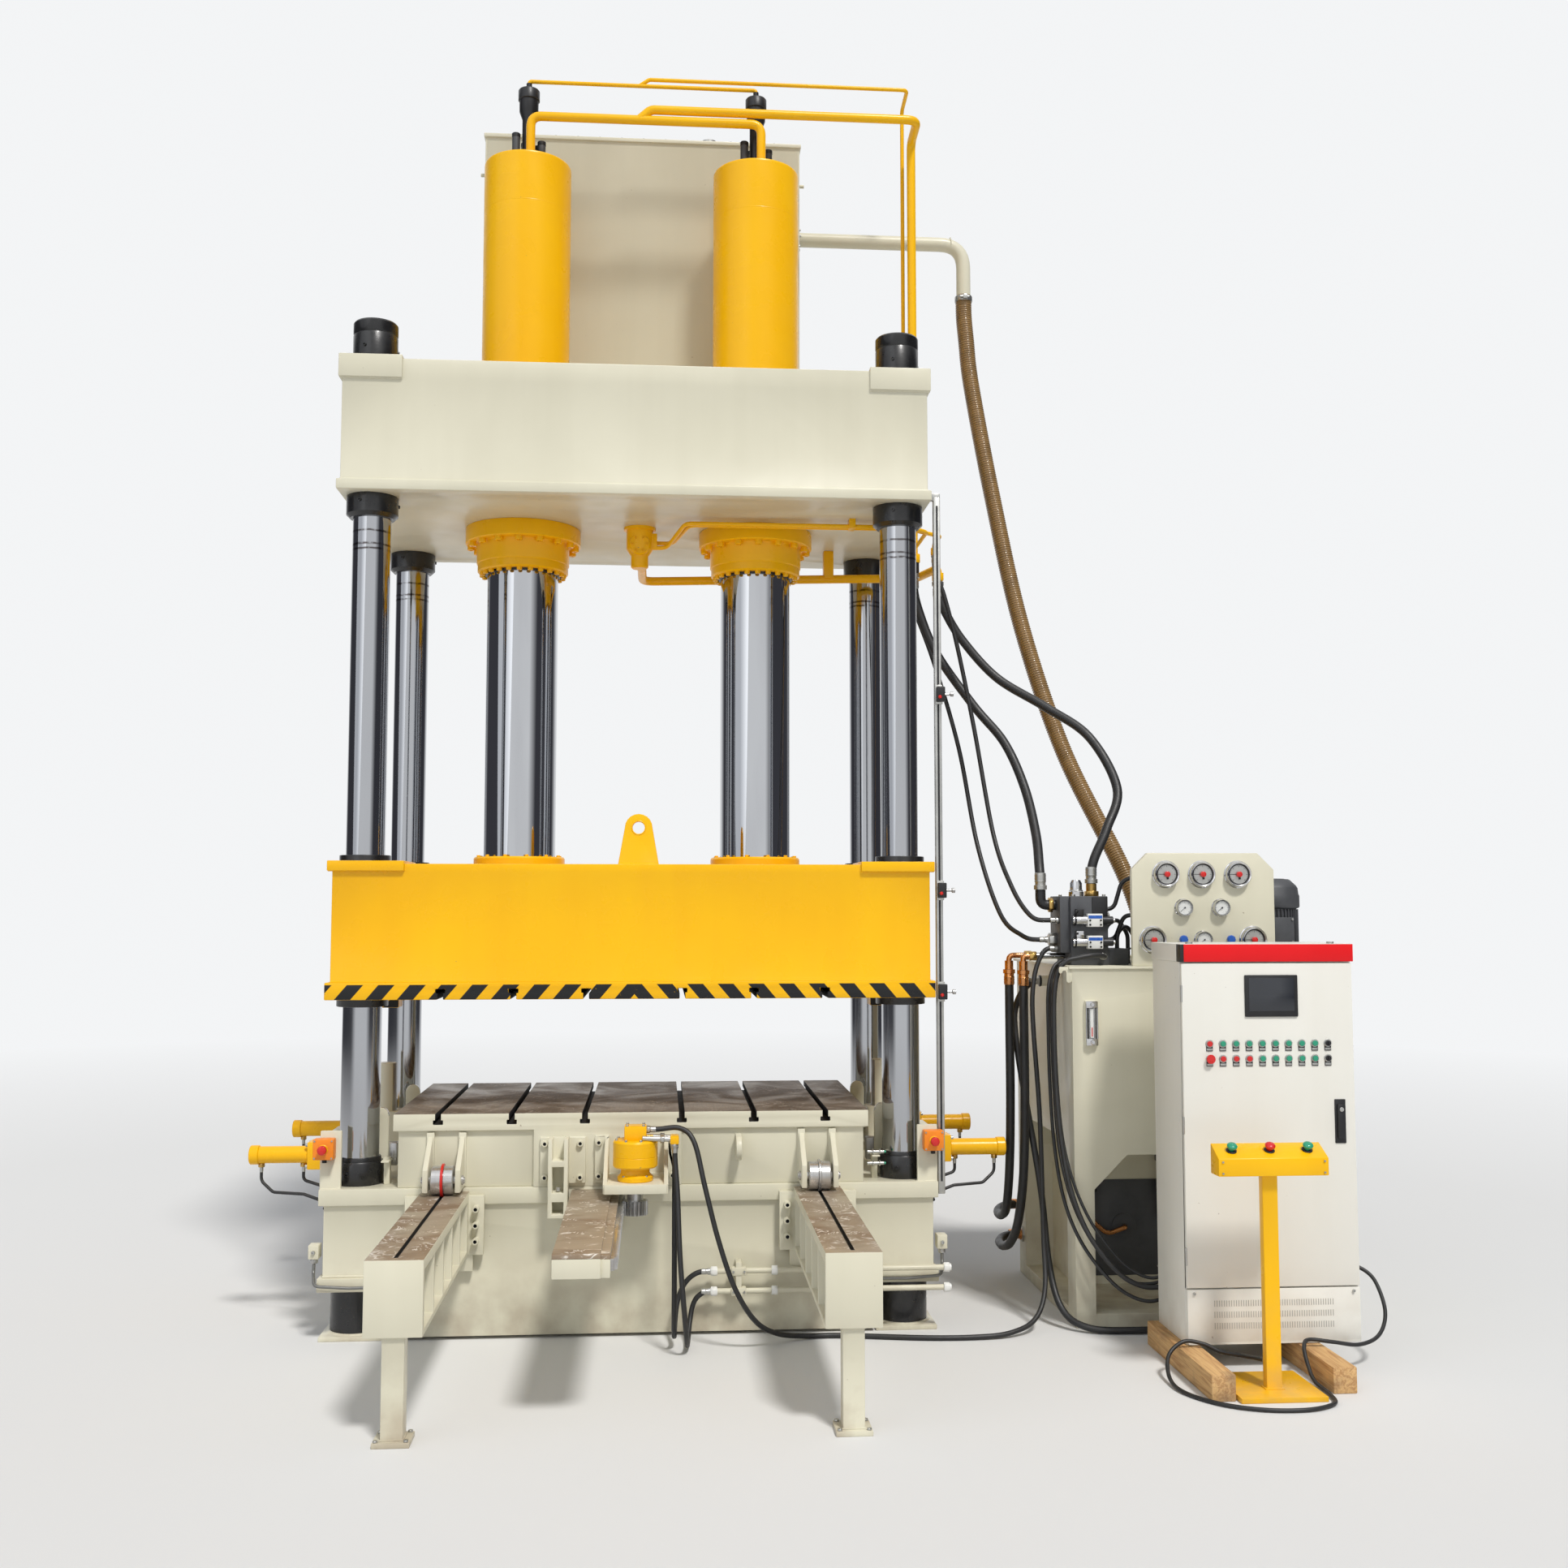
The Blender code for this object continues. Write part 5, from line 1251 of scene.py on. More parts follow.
@dataclass
class HighPipes(Assembly):
    """Pipes over the cylinders with their prefill valves, and the exhaust valve below the beam."""

    ram: float = 0.573
    tee: float = 0.01
    main_z: float = 5.77
    pilot_z: float = 6.005

    def build(self) -> None:
        """Makes the pipes and valves."""
        f = self.finish
        paint, black = f.yellow, f.black
        left, right, tee, y = 0.02 - self.ram, 0.02 + self.ram, self.tee, -0.11
        low, high, base = self.main_z, self.main_z + 0.055, 5.55 + GAP
        pipes("pressure_pipe_runs", [[(left, y, base), (left, y, low), (right, y, low), (right, y, base)], [
            (tee - 0.03, y, low), (tee + 0.03, y, high), (1.386, y, high), (1.386, 0.1, high - 0.02),
            (1.386, 0.1, 3.6),
        ]], 0.045, 0.055, paint, slot="yellow_paint", nodes=["pressure_pipe"])
        trim = Shape("pressure_pipe_fittings", paint, black, f.zinc)
        for x in (left, right):
            trim.turn([(0.022, 0), (0.04, 0), (0.04, 0.02), (0.03, 0.026), (0.022, 0.026)], (x, y, base))
        trim.box((1.3183, 0.07, 3.97), (1.386, 0.13, 4.02)).screws([(1.372, 0.069, 3.995)], FRONT, 0.016, 2)
        trim.nuts([(1.386, 0.1, 3.595)], UP, 0.062, 0.045, 0)
        trim.bar((1.386, 0.1, 3.6), (1.386, 0.1, 3.54), 0.056, 1)
        trim.done()
        p = self.pilot_z + 0.035
        pipes("pilot_line_runs", [
            [
                (-self.ram, 0, 5.975), (-self.ram, 0, self.pilot_z), (self.ram, 0, self.pilot_z),
                (self.ram, 0, 5.975),
            ],
            [
                (tee - 0.03, 0, self.pilot_z), (tee + 0.02, 0, p), (1.352, 0, p), (1.352, 0.18, p - 0.02),
                (1.352, 0.18, 3.58),
            ],
        ], 0.02, 0.03, paint, slot="yellow_paint", nodes=["pilot_line"])
        valves = Shape("prefill_valves", black, f.zinc, paint, f.graphite)
        for side in (-1, 1):
            place = (side * self.ram, 0, 0)
            valves.turn([
                (0, base), (0.078, base), (0.08, base + 0.003), (0.08, base + 0.018), (0.076, base + 0.02),
                (0.032, base + 0.024), (0.032, 5.8), (0.047, 5.842), (0.048, 5.9), (0.0535, 5.903),
                (0.0535, 5.95), (0.05, 5.955), (0.014, 5.96), (0.014, 5.992), (0, 5.992),
            ], place)
            for x, y2, high in (
                (-0.06, -0.02, 0.17), (0.064, 0.02, 0.15), (-0.022, 0.062, 0.16), (0.04, 0.052, 0.14)
            ):
                valves.bar((place[0] + x, y2, base + 0.01), (place[0] + x, y2, base + high), 0.04, 3, 24)
                valves.bar(
                    (place[0] + x, y2, base + high - 0.022), (place[0] + x, y2, base + high), 0.043, 0, 24,
                    0.003,
                )
        valves.box((1.3183, 0.165, 3.97), (1.352, 0.195, 4.0), slot=2)
        valves.done()
        y1, y2 = -0.33, -0.365
        pipes("exhaust_line_thin", [
            [
                (0.03, -0.09, 3.63), (0.16, -0.09, 3.63), (0.24, y1, 3.665), (1.3, y1, 3.665),
                (1.47, -0.2, 3.665), (1.47, -0.02, 3.665), (1.47, -0.02, 3.61),
            ],
            [
                (0.03, -0.12, 3.6), (0.13, -0.12, 3.6), (0.22, y2, 3.665), (1.3, y2, 3.665),
                (1.386, -0.3, 3.66), (1.386, 0.0765, 3.66),
            ],
        ], 0.02, 0.05, paint, slot="yellow_paint", nodes=["exhaust_line"])
        pipes("exhaust_line_thick", [[
            (0.01, -0.09, 3.53), (0.01, 0.35, 3.53), (1.44, 0.35, 3.57), (1.51, 0.1, 3.57), (1.51, 0.1, 3.5)
        ]], 0.044, 0.07, paint, slot="yellow_paint")
        body = Shape("exhaust_valve", paint, f.zinc)
        body.turn([
            (0, 3.5), (0.036, 3.5), (0.0425, 3.507), (0.0425, 3.56), (0.06, 3.585), (0.065, 3.595),
            (0.065, 3.685), (0.078, 3.687), (0.078, 3.6997), (0, 3.6997),
        ], (0, -0.1, 0))
        body.turn([
            (0, 0), (0.046, 0), (0.0525, 0.008), (0.0525, 0.125), (0.048, 0.132), (0, 0.132)
        ], (0, -0.161, 3.61), BACK)
        body.box((0.03, -0.13, 3.6), (0.085, -0.07, 3.67))
        body.screws(circle((0, -0.161, 3.61), 0.036, 6, across=Axis.Y), FRONT, 0.012)
        body.box((1.0, -0.385, 3.655), (1.03, -0.31, 3.6997)).box((0.95, 0.315, 3.56), (1.0, 0.385, 3.6997))
        body.nuts([(1.51, 0.1, 3.505)], UP, 0.055, 0.04, 0)
        body.nuts([(1.47, -0.02, 3.612)], UP, 0.03, 0.035, 0)
        body.done()


@dataclass
class Slide(Assembly):
    """The yellow slide with its warning stripes, guide bushes and lifting lug."""

    low: float = 1.449
    high: float = 2.04

    def pick(self, centre: Vector, normal: Vector) -> int:
        """Chooses paint, bush metal, or painted shade for the inside of a slot.

        Args:
            centre: The middle of the face.
            normal: Its normal.

        Returns:
            The index of the finish.
        """
        bush = Vector((abs(centre.x) - 1.2, abs(centre.y) - 0.59)).length < 0.118
        outside = centre.z > self.high or centre.z < self.low + 0.002
        collar = self.high + 0.002 < centre.z < self.high + 0.014 and normal.z > 0.9
        if bush and outside and not collar:
            return 1
        slot = min(abs(abs(centre.x) - s) for s in (0.21, 0.525, 0.84))
        square = abs(normal.x) > 0.9 or abs(normal.z) > 0.9
        # Inside a T-slot the near-black finish is painted shade.
        if slot < 0.0215 and square and self.low + 0.001 < centre.z < self.low + 0.047:
            return 2
        return 0

    def build(self) -> None:
        """Makes the slide, its lug welds and its plate edges."""
        f = self.finish
        skin = Shape("slide_skin", f.slide, f.nut, f.dark).skin(self.cad["slide"], 0.004, self.pick)
        skin.done("slide_unit", "yellow_paint", ["slide"])
        weld = Shape("slide_welds", f.yellow)
        weld.bar((-1.312, -0.7365, 1.5255), (1.312, -0.7365, 1.5255), 0.009, steps=10)
        weld.bar((-1.312, 0.7365, 1.5255), (1.312, 0.7365, 1.5255), 0.009, steps=10)
        for y in (-0.6465, -0.5935):
            weld.bar((-0.075, y, 2.042), (0.1, y, 2.042), 0.012, steps=10)
        weld.add(ring_shape(0.0305, 0.006, 32, 8), 0, [
            aim((0.012, y, 2.206), BACK) for y in (-0.645, -0.595)
        ])
        for side in (-1, 1):
            for way in (-1, 1):
                y = way * 0.7375
                weld.bar((side * 1.333, y, 2.0095), (side * 1.005, y, 2.0095), 0.008, steps=10)
        weld.done("slide_unit")


@dataclass
class Bed(Assembly):
    """The welded bed with its side plates, stop posts and small lubrication blocks."""

    half_x: float = 1.34
    half_y: float = 0.755

    def pick(self, centre: Vector, normal: Vector) -> int:
        """Finds the finish of a face: paint, or ground steel on the guide plates and posts."""
        return int(centre.z > 0.86 and abs(centre.x) < 1.18 and abs(normal.y) < 0.9)

    def build(self) -> None:
        """Makes the bed and what is screwed to it."""
        f = self.finish
        skin = Shape("bed_skin", f.ivory_low, f.bright).skin(self.cad["bed"], 0.004, self.pick)
        skin.done(slot="ivory_paint", nodes=["bed"])
        trim = Shape("bed_trim", f.ivory_low, f.zinc, f.bright)
        for way in (-1, 1):
            trim.bar(
                (-self.half_x + 0.02, way * (self.half_y - 0.018), 0.575),
                (self.half_x - 0.02, way * (self.half_y - 0.018), 0.575), 0.012, steps=10,
            )
            for side in (-1, 1):
                x0 = side * 1.07
                trim.bar(
                    (x0, way * (self.half_y - 0.018), 0.275),
                    (side * 1.32, way * (self.half_y - 0.018), 0.275), 0.012, steps=10,
                )
        for side in (-1, 1):
            for z in (0.68, 0.8):
                trim.screws([(side * (1.131 + dx), -0.4508, z) for dx in (-0.02, 0.02)], BACK, 0.014, 1)
            x = side * self.half_x
            trim.box((x, -0.72, 0.345), (x + side * 0.045, -0.655, 0.405), 0.004)
            trim.screws([(x + side * 0.022, -0.721, 0.375)], FRONT, 0.016, 1)
            trim.nuts([(x + side * 0.024, -0.69, 0.346)], DOWN, 0.03, 0.022, 2)
            trim.box((side * 1.06, -0.64, 0.645), (side * 1.085, -0.6, 0.76), 0.002)
            trim.box((side * 1.055, -0.69, 0.745), (side * 1.09, -0.6, 0.752), 0.001)
        trim.done()
        lamps = Shape("proximity_sensors", f.zinc, f.green)
        for z in (0.715, 0.765):
            lamps.bar((1.035, -0.675, z), (1.11, -0.675, z), 0.016, steps=20)
            lamps.bar((1.11, -0.675, z), (1.118, -0.675, z), 0.012, 1, 16)
            lamps.nuts([(x, -0.675, z) for x in (1.057, 1.088)], RIGHT, 0.024, 0.006)
        lamps.done()
        for name, side in SIDES:
            x = side * (self.half_x + 0.024)
            pipes(f"lubrication_line_{name}", [[
                (x, -0.69, 0.345), (x, -0.7, 0.285), (side * 1.345, -0.775, 0.245),
                (side * 1.2, -0.775, 0.235), (side * 1.02, -0.775, 0.238), (side * 0.98, -0.74, 0.24),
            ]], 0.014, 0.03, f.braid)


@dataclass
class Bolster(Assembly):
    """The rolling bolster with its T-slots, roller ears, brackets, screws and towing eye."""

    front: float = -0.755
    top: float = 0.96
    slots: tuple[float, ...] = (-0.84, -0.525, -0.21, 0.21, 0.525, 0.84)

    def pick(self, centre: Vector, normal: Vector) -> int:
        """Chooses paint, machined table, or painted shade for the inside of a slot.

        Args:
            centre: The middle of the face.
            normal: Its normal.

        Returns:
            The index of the finish.
        """
        near = min(abs(centre.x - s) for s in self.slots) < 0.0215
        inside = near and centre.z > 0.905 and centre.y > self.front - 0.001
        square = abs(normal.x) > 0.9 or abs(normal.z) > 0.9
        # Inside a T-slot the near-black finish is painted shade.
        if inside and square and centre.z < self.top - 0.0005:
            return 2
        return int(normal.z > 0.5 and centre.z > self.top - 0.004 and self.front < centre.y)

    def build(self) -> None:
        """Makes the bolster and what is screwed to it."""
        f = self.finish
        skin = Shape("bolster_skin", f.ivory, f.table, f.dark).skin(self.cad["bolster"], 0.0025, self.pick)
        skin.done("bolster_unit", "ivory_paint", ["bolster"])
        y = self.front - 0.021
        trim = Shape("bolster_trim", f.zinc, f.ivory, f.bright, f.dark)
        # The screws' sockets are painted in the near-black gap shade.
        trim.screws([(x, y, z) for x in (-0.38, -0.228) for z in (0.688, 0.832)], FRONT, 0.028, 1, 3)
        trim.screws([(x, y, z) for x in (-0.148, 0.17) for z in (0.692, 0.835)], FRONT, 0.028, 1, 3)
        for side in (-1, 1):
            for dx in (-0.068, 0.068):
                x = side * 0.8025 + dx
                trim.box(
                    (x - 0.016, self.front + 0.002, 0.65), (x + 0.016, self.front + 0.028, 0.88), 0.002, 1
                )
                for out in (-1, 1):
                    trim.turn(
                        [(0, 0), (0.02, 0), (0.02, 0.006), (0.017, 0.009), (0, 0.009)],
                        (x + out * 0.011, -0.845, 0.6933), (out, 0, 0), 2, 24,
                    )
            trim.bar(
                (side * 0.8025 - 0.092, -0.845, 0.6933), (side * 0.8025 + 0.092, -0.845, 0.6933), 0.028, 2
            )
        trim.bar((-0.3175, -0.83, 0.64), (-0.3175, -0.83, 0.655), 0.02, 2)
        trim.done("bolster_unit")
        seam = Shape("bolster_welds", f.ivory)
        seam.bar((-1.02, self.front + 0.019, 0.886), (-0.435, self.front + 0.019, 0.886), 0.007, steps=8)
        seam.bar((0.215, self.front + 0.019, 0.886), (1.02, self.front + 0.019, 0.886), 0.007, steps=8)
        seam.done("bolster_unit")


@dataclass
class Drive(Assembly):
    """The hydraulic motor on its shelf, the toothed pinion and the two track rollers."""

    x: float = 0.012
    y: float = -0.95
    teeth: int = 20

    def tooth_outline(self) -> list[tuple[float, float]]:
        """Draws the pinion's outline, with a tooth on -X.

        Returns:
            The outline's points.
        """
        outline = []
        for i in range(self.teeth):
            middle = math.pi + i * math.tau / self.teeth
            for radius, turn in (
                (0.044, -0.46), (0.05, -0.25), (0.0547, -0.13), (0.0547, 0.13), (0.05, 0.25), (0.044, 0.46)
            ):
                angle = middle + turn * math.tau / self.teeth
                outline.append((self.x + radius * math.cos(angle), self.y + radius * math.sin(angle)))
        return outline

    def build(self) -> None:
        """Makes the motor, its ports, the pinion and the rollers."""
        f = self.finish
        place = (self.x, self.y, 0)
        motor = Shape("drive_motor_body", f.yellow, f.zinc, f.black, f.brass)
        motor.turn([
            (0, 0.615), (0.02, 0.615), (0.02, 0.7003), (0.073, 0.7003), (0.075, 0.703), (0.075, 0.719),
            (0.066, 0.727), (0.061, 0.735), (0.061, 0.75), (0.07, 0.757), (0.088, 0.757), (0.094, 0.764),
            (0.094, 0.8), (0.0925, 0.802), (0.094, 0.804), (0.094, 0.862), (0.088, 0.87), (0.08, 0.872),
            (0, 0.872),
        ], place, steps=72)
        motor.box((self.x - 0.047, self.y - 0.047, 0.868), (self.x + 0.047, self.y + 0.047, 0.93), 0.006)
        motor.box((0.158, self.y - 0.078, 0.858), (0.195, self.y + 0.008, 0.892), 0.006)
        for dy, wide in ((-0.055, 0.022), (-0.015, 0.026)):
            motor.bar((self.x + 0.03, self.y + dy, 0.882), (0.16, self.y + dy, 0.878), wide, 1, 24)
            motor.nuts([(0.116, self.y + dy, 0.879)], RIGHT, wide + 0.008, 0.018, 1)
        motor.screws(circle((self.x, self.y, 0.871), 0.082, 8, 0.3), UP, 0.012, 1)
        motor.screws([
            (self.x + dx, self.y + dy, 0.929) for dx in (-0.034, 0.034) for dy in (-0.034, 0.034)
        ], UP, 0.012, 1)
        motor.screws(circle((self.x, self.y, 0.719), 0.066, 4, math.pi / 4), UP, 0.014, 1)
        for y2 in (-0.965, -1.01):
            motor.nuts([(0.178, y2, 0.842)], UP, 0.03, 0.02, 1)
        motor.nuts([(0.059, self.y, 0.912)], RIGHT, 0.028, 0.014, 1)
        motor.bar(
            (self.x + 0.047, self.y - 0.03, 0.885), (self.x + 0.075, self.y - 0.03, 0.885), 0.022, 3, 20
        )
        motor.done("bolster_unit", "yellow_paint", ["drive_motor"])
        pinion = Shape("pinion_gear", f.bright)
        pinion.add(plate_shape(self.tooth_outline(), Axis.Z, 0.56, 0.618, 0.0))
        pinion.turn([
            (0.0206, 0.6175), (0.034, 0.6175), (0.034, 0.652), (0.031, 0.655), (0.0206, 0.655)
        ], place)
        pinion.turn([(0, 0.554), (0.022, 0.554), (0.026, 0.558), (0.026, 0.561), (0, 0.561)], place)
        pinion.done("pinion_body", "steel", ["pinion"])
        for name, side in SIDES:
            centre = (side * 0.8025, -0.845, 0.6933)
            roller = Shape(f"roller_{name}_wheel", f.bright, f.red if side < 0 else f.bright)
            half = 0.0475
            profile = [
                (0, -0.056), (0.022, -0.056), (0.022, -half), (0.057, -half), (0.061, -0.0435),
                (0.061, -0.0065), (0.0565, -0.006), (0.0565, 0.006), (0.061, 0.0065), (0.061, 0.0435),
                (0.057, half), (0.022, half), (0.022, 0.056), (0, 0.056),
            ]
            roller.turn(profile, centre, RIGHT, steps=72)
            roller.turn([
                (0.056, -0.0055), (0.068, -0.0055), (0.07, -0.0035), (0.07, 0.0035), (0.068, 0.0055),
                (0.056, 0.0055),
            ], centre, RIGHT, 1, 72)
            for x in (-0.026, 0.026):
                roller.turn([
                    (0.06, x - 0.0025), (0.0613, x - 0.0015), (0.0613, x + 0.0015), (0.06, x + 0.0025)
                ], centre, RIGHT, 0, 72)
            roller.done(f"roller_{name}_body", "steel", [f"roller_{name}"])


@dataclass
class Rails(Assembly):
    """Two grooved rail arms on legs and the arm that carries the rack."""

    x: float = 0.8025
    width: float = 0.205
    top: float = 0.632
    back: float = -0.7553

    def pick(self, centre: Vector, normal: Vector) -> int:
        """Chooses paint, running surface, or painted shade for the groove.

        Args:
            centre: The middle of the face.
            normal: Its normal.

        Returns:
            The index of the finish.
        """
        if normal.z > 0.5 and centre.z > self.top - 0.003:
            return 1
        # The groove takes the near-black finish, which is painted shade.
        groove = abs(abs(centre.x) - self.x) < 0.0085 and centre.y > -2.06
        return 2 if groove and centre.z > self.top - 0.022 else 0

    def build(self) -> None:
        """Makes the arms, the rack and their screws."""
        f = self.finish
        for name, side in SIDES:
            arm = Shape(f"rail_arm_{name}_skin", f.ivory_low, f.ground, f.dark, f.zinc)
            arm.skin(self.cad[f"rail_arm_{name}"], 0.0025, self.pick)
            for way in (-1, 1):
                # The screws' sockets are painted in the near-black gap shade.
                arm.screws([
                    (side * self.x + way * (self.width / 2 + 0.033), self.back - 0.054, z)
                    for z in (0.43, 0.497, 0.565)
                ], FRONT, 0.03, 0, 2)
            leg_y = -2.032
            for dx, dy in ((-0.052, -0.052), (0.052, -0.052), (-0.052, 0.052), (0.052, 0.052)):
                arm.nuts([(side * self.x + dx, leg_y + dy, 0.0175)], UP, 0.016, 0.008, 3)
            for z in (0.02, 0.366):
                place = Matrix.Translation((side * self.x, leg_y, z)) @ Matrix.Rotation(math.pi / 4, 4, "Z")
                place = place @ Matrix.Scale(1.41, 4, (1, 0, 0)) @ Matrix.Scale(1.41, 4, (0, 1, 0))
                arm.add(ring_shape(0.0395, 0.006, 4, 8), 0, [place])
            arm.done(slot="ivory_paint", nodes=[f"rail_arm_{name}"])
        left, right, front = -0.264, -0.052, -2.04
        arm = Shape("rack_arm_body", f.ivory_low, f.ground, f.zinc)
        arm.box((left, front, 0.545), (right - 0.04, self.back, self.top - 0.014), 0.003)
        arm.box((left, front, self.top - 0.02), (right - 0.04, self.back, self.top), 0.002, 1)
        arm.box((right - 0.05, front + 0.012, 0.545), (right - 0.006, self.back, self.top - 0.02), 0.003)
        arm.box(
            (right - 0.0445, front + 0.012, self.top - 0.024), (right - 0.006, self.back, self.top - 0.008),
            0.002, 1,
        )
        arm.box((left, self.back - 0.03, 0.455), (right, self.back, 0.565), 0.003)
        arm.screws([(x, self.back - 0.029, 0.487) for x in (-0.235, -0.158, -0.081)], FRONT, 0.024, 2)
        arm.screws([(right - 0.007, y, 0.556) for y in [-1.95 + 0.19 * i for i in range(7)]], RIGHT, 0.01, 2)
        arm.done(slot="ivory_paint", nodes=["rack_arm"])
        rack = Shape("rack_teeth", f.bright)
        root, face, tip, step = -0.0444, -0.0383, -0.0336, math.tau * 0.05 / 20
        rack.box((-0.07, front + 0.02, 0.568), (root, self.back, 0.61), 0.001)
        count = int((-0.78 - (front + 0.03)) / step)
        start = -0.95 + step / 2
        first = math.ceil((front + 0.03 - start) / step)
        tooth = [
            (root - 0.001, -0.0062), (root, -0.006), (face, -0.0038), (tip, -0.0021), (tip, 0.0021),
            (face, 0.0038), (root, 0.006), (root - 0.001, 0.0062),
        ]
        rack.add(plate_shape(tooth, Axis.Z, 0.568, 0.61, 0.0), 0, [
            Matrix.Translation((0, start + (first + i) * step, 0)) for i in range(count)
        ])
        rack.done(slot="steel")


@dataclass
class Clamps(Assembly):
    """Four side cylinders that push jaws against the bolster."""

    y: float = 0.42
    z: float = 0.745
    face: float = 1.3403
    end: float = 1.7

    def build(self) -> None:
        """Makes each cylinder with its fittings and each rod with its jaw."""
        f = self.finish
        for name, side, way in CORNERS:
            y = way * self.y
            out = (side, 0, 0)
            body = Shape(f"clamp_cylinder_{name}", f.yellow, f.zinc, f.brass, f.black)
            body.box(
                (side * self.face, y - 0.055, 0.685), (side * (self.face + 0.11), y + 0.055, 0.805), 0.004
            )
            body.screws([
                (side * (self.face + 0.109), y + dy, self.z + dz)
                for dy in (-0.042, 0.042)
                for dz in (-0.047, 0.047)
            ], out, 0.018, 1)
            length = self.end - self.face - 0.1
            body.turn([
                (0.023, 0), (0.046, 0), (0.046, 0.012), (0.0375, 0.016), (0.0375, length - 0.032),
                (0.041, length - 0.03), (0.0425, length - 0.028), (0.0425, length + 0.006),
                (0.039, length + 0.01), (0, length + 0.01), (0, length - 0.02), (0.023, length - 0.02),
                (0.023, 0),
            ], (side * (self.face + 0.1), y, self.z), out, steps=64)
            for x in (self.face + 0.135, self.end - 0.04):
                body.nuts([(side * x, y, self.z - 0.036)], DOWN, 0.026, 0.018, 2)
                body.bar((side * x, y, self.z - 0.05), (side * x, y, self.z - 0.076), 0.016, 1, 20)
            body.done(slot="yellow_paint", nodes=[f"clamp_cyl_{name}"])
            x0, x1 = side * (self.face + 0.135), side * (self.end - 0.04)
            pipes(f"clamp_tube_{name}", [
                [
                    (x0, y, 0.672), (x0, y, 0.632), (side * 1.4, y - 0.02, 0.612),
                    (side * 1.349, y - 0.05, 0.6), (side * 1.349, y - 0.1, 0.57),
                ],
                [
                    (x1, y, 0.672), (x1, y, 0.63), (side * 1.6, y - 0.03, 0.585),
                    (side * 1.46, y - 0.06, 0.58), (side * 1.352, y - 0.08, 0.545),
                    (side * 1.352, y - 0.14, 0.53),
                ],
            ], 0.014, 0.04, f.rubber)
            rod = Shape(f"clamp_rod_{name}_jaw", f.bright, f.mirror)
            rod.bar((side * 1.1, y, self.z), (side * 1.56, y, self.z), 0.045, 1, 40)
            rod.box((side * 1.06, y - 0.027, self.z - 0.05), (side * 1.115, y + 0.027, self.z + 0.05), 0.004)
            rod.turn([
                (0.0226, 0), (0.029, 0), (0.029, 0.01), (0.0226, 0.014)
            ], (side * 1.113, y, self.z), out)
            rod.done(f"clamp_{name}", "chrome", [f"clamp_rod_{name}"])


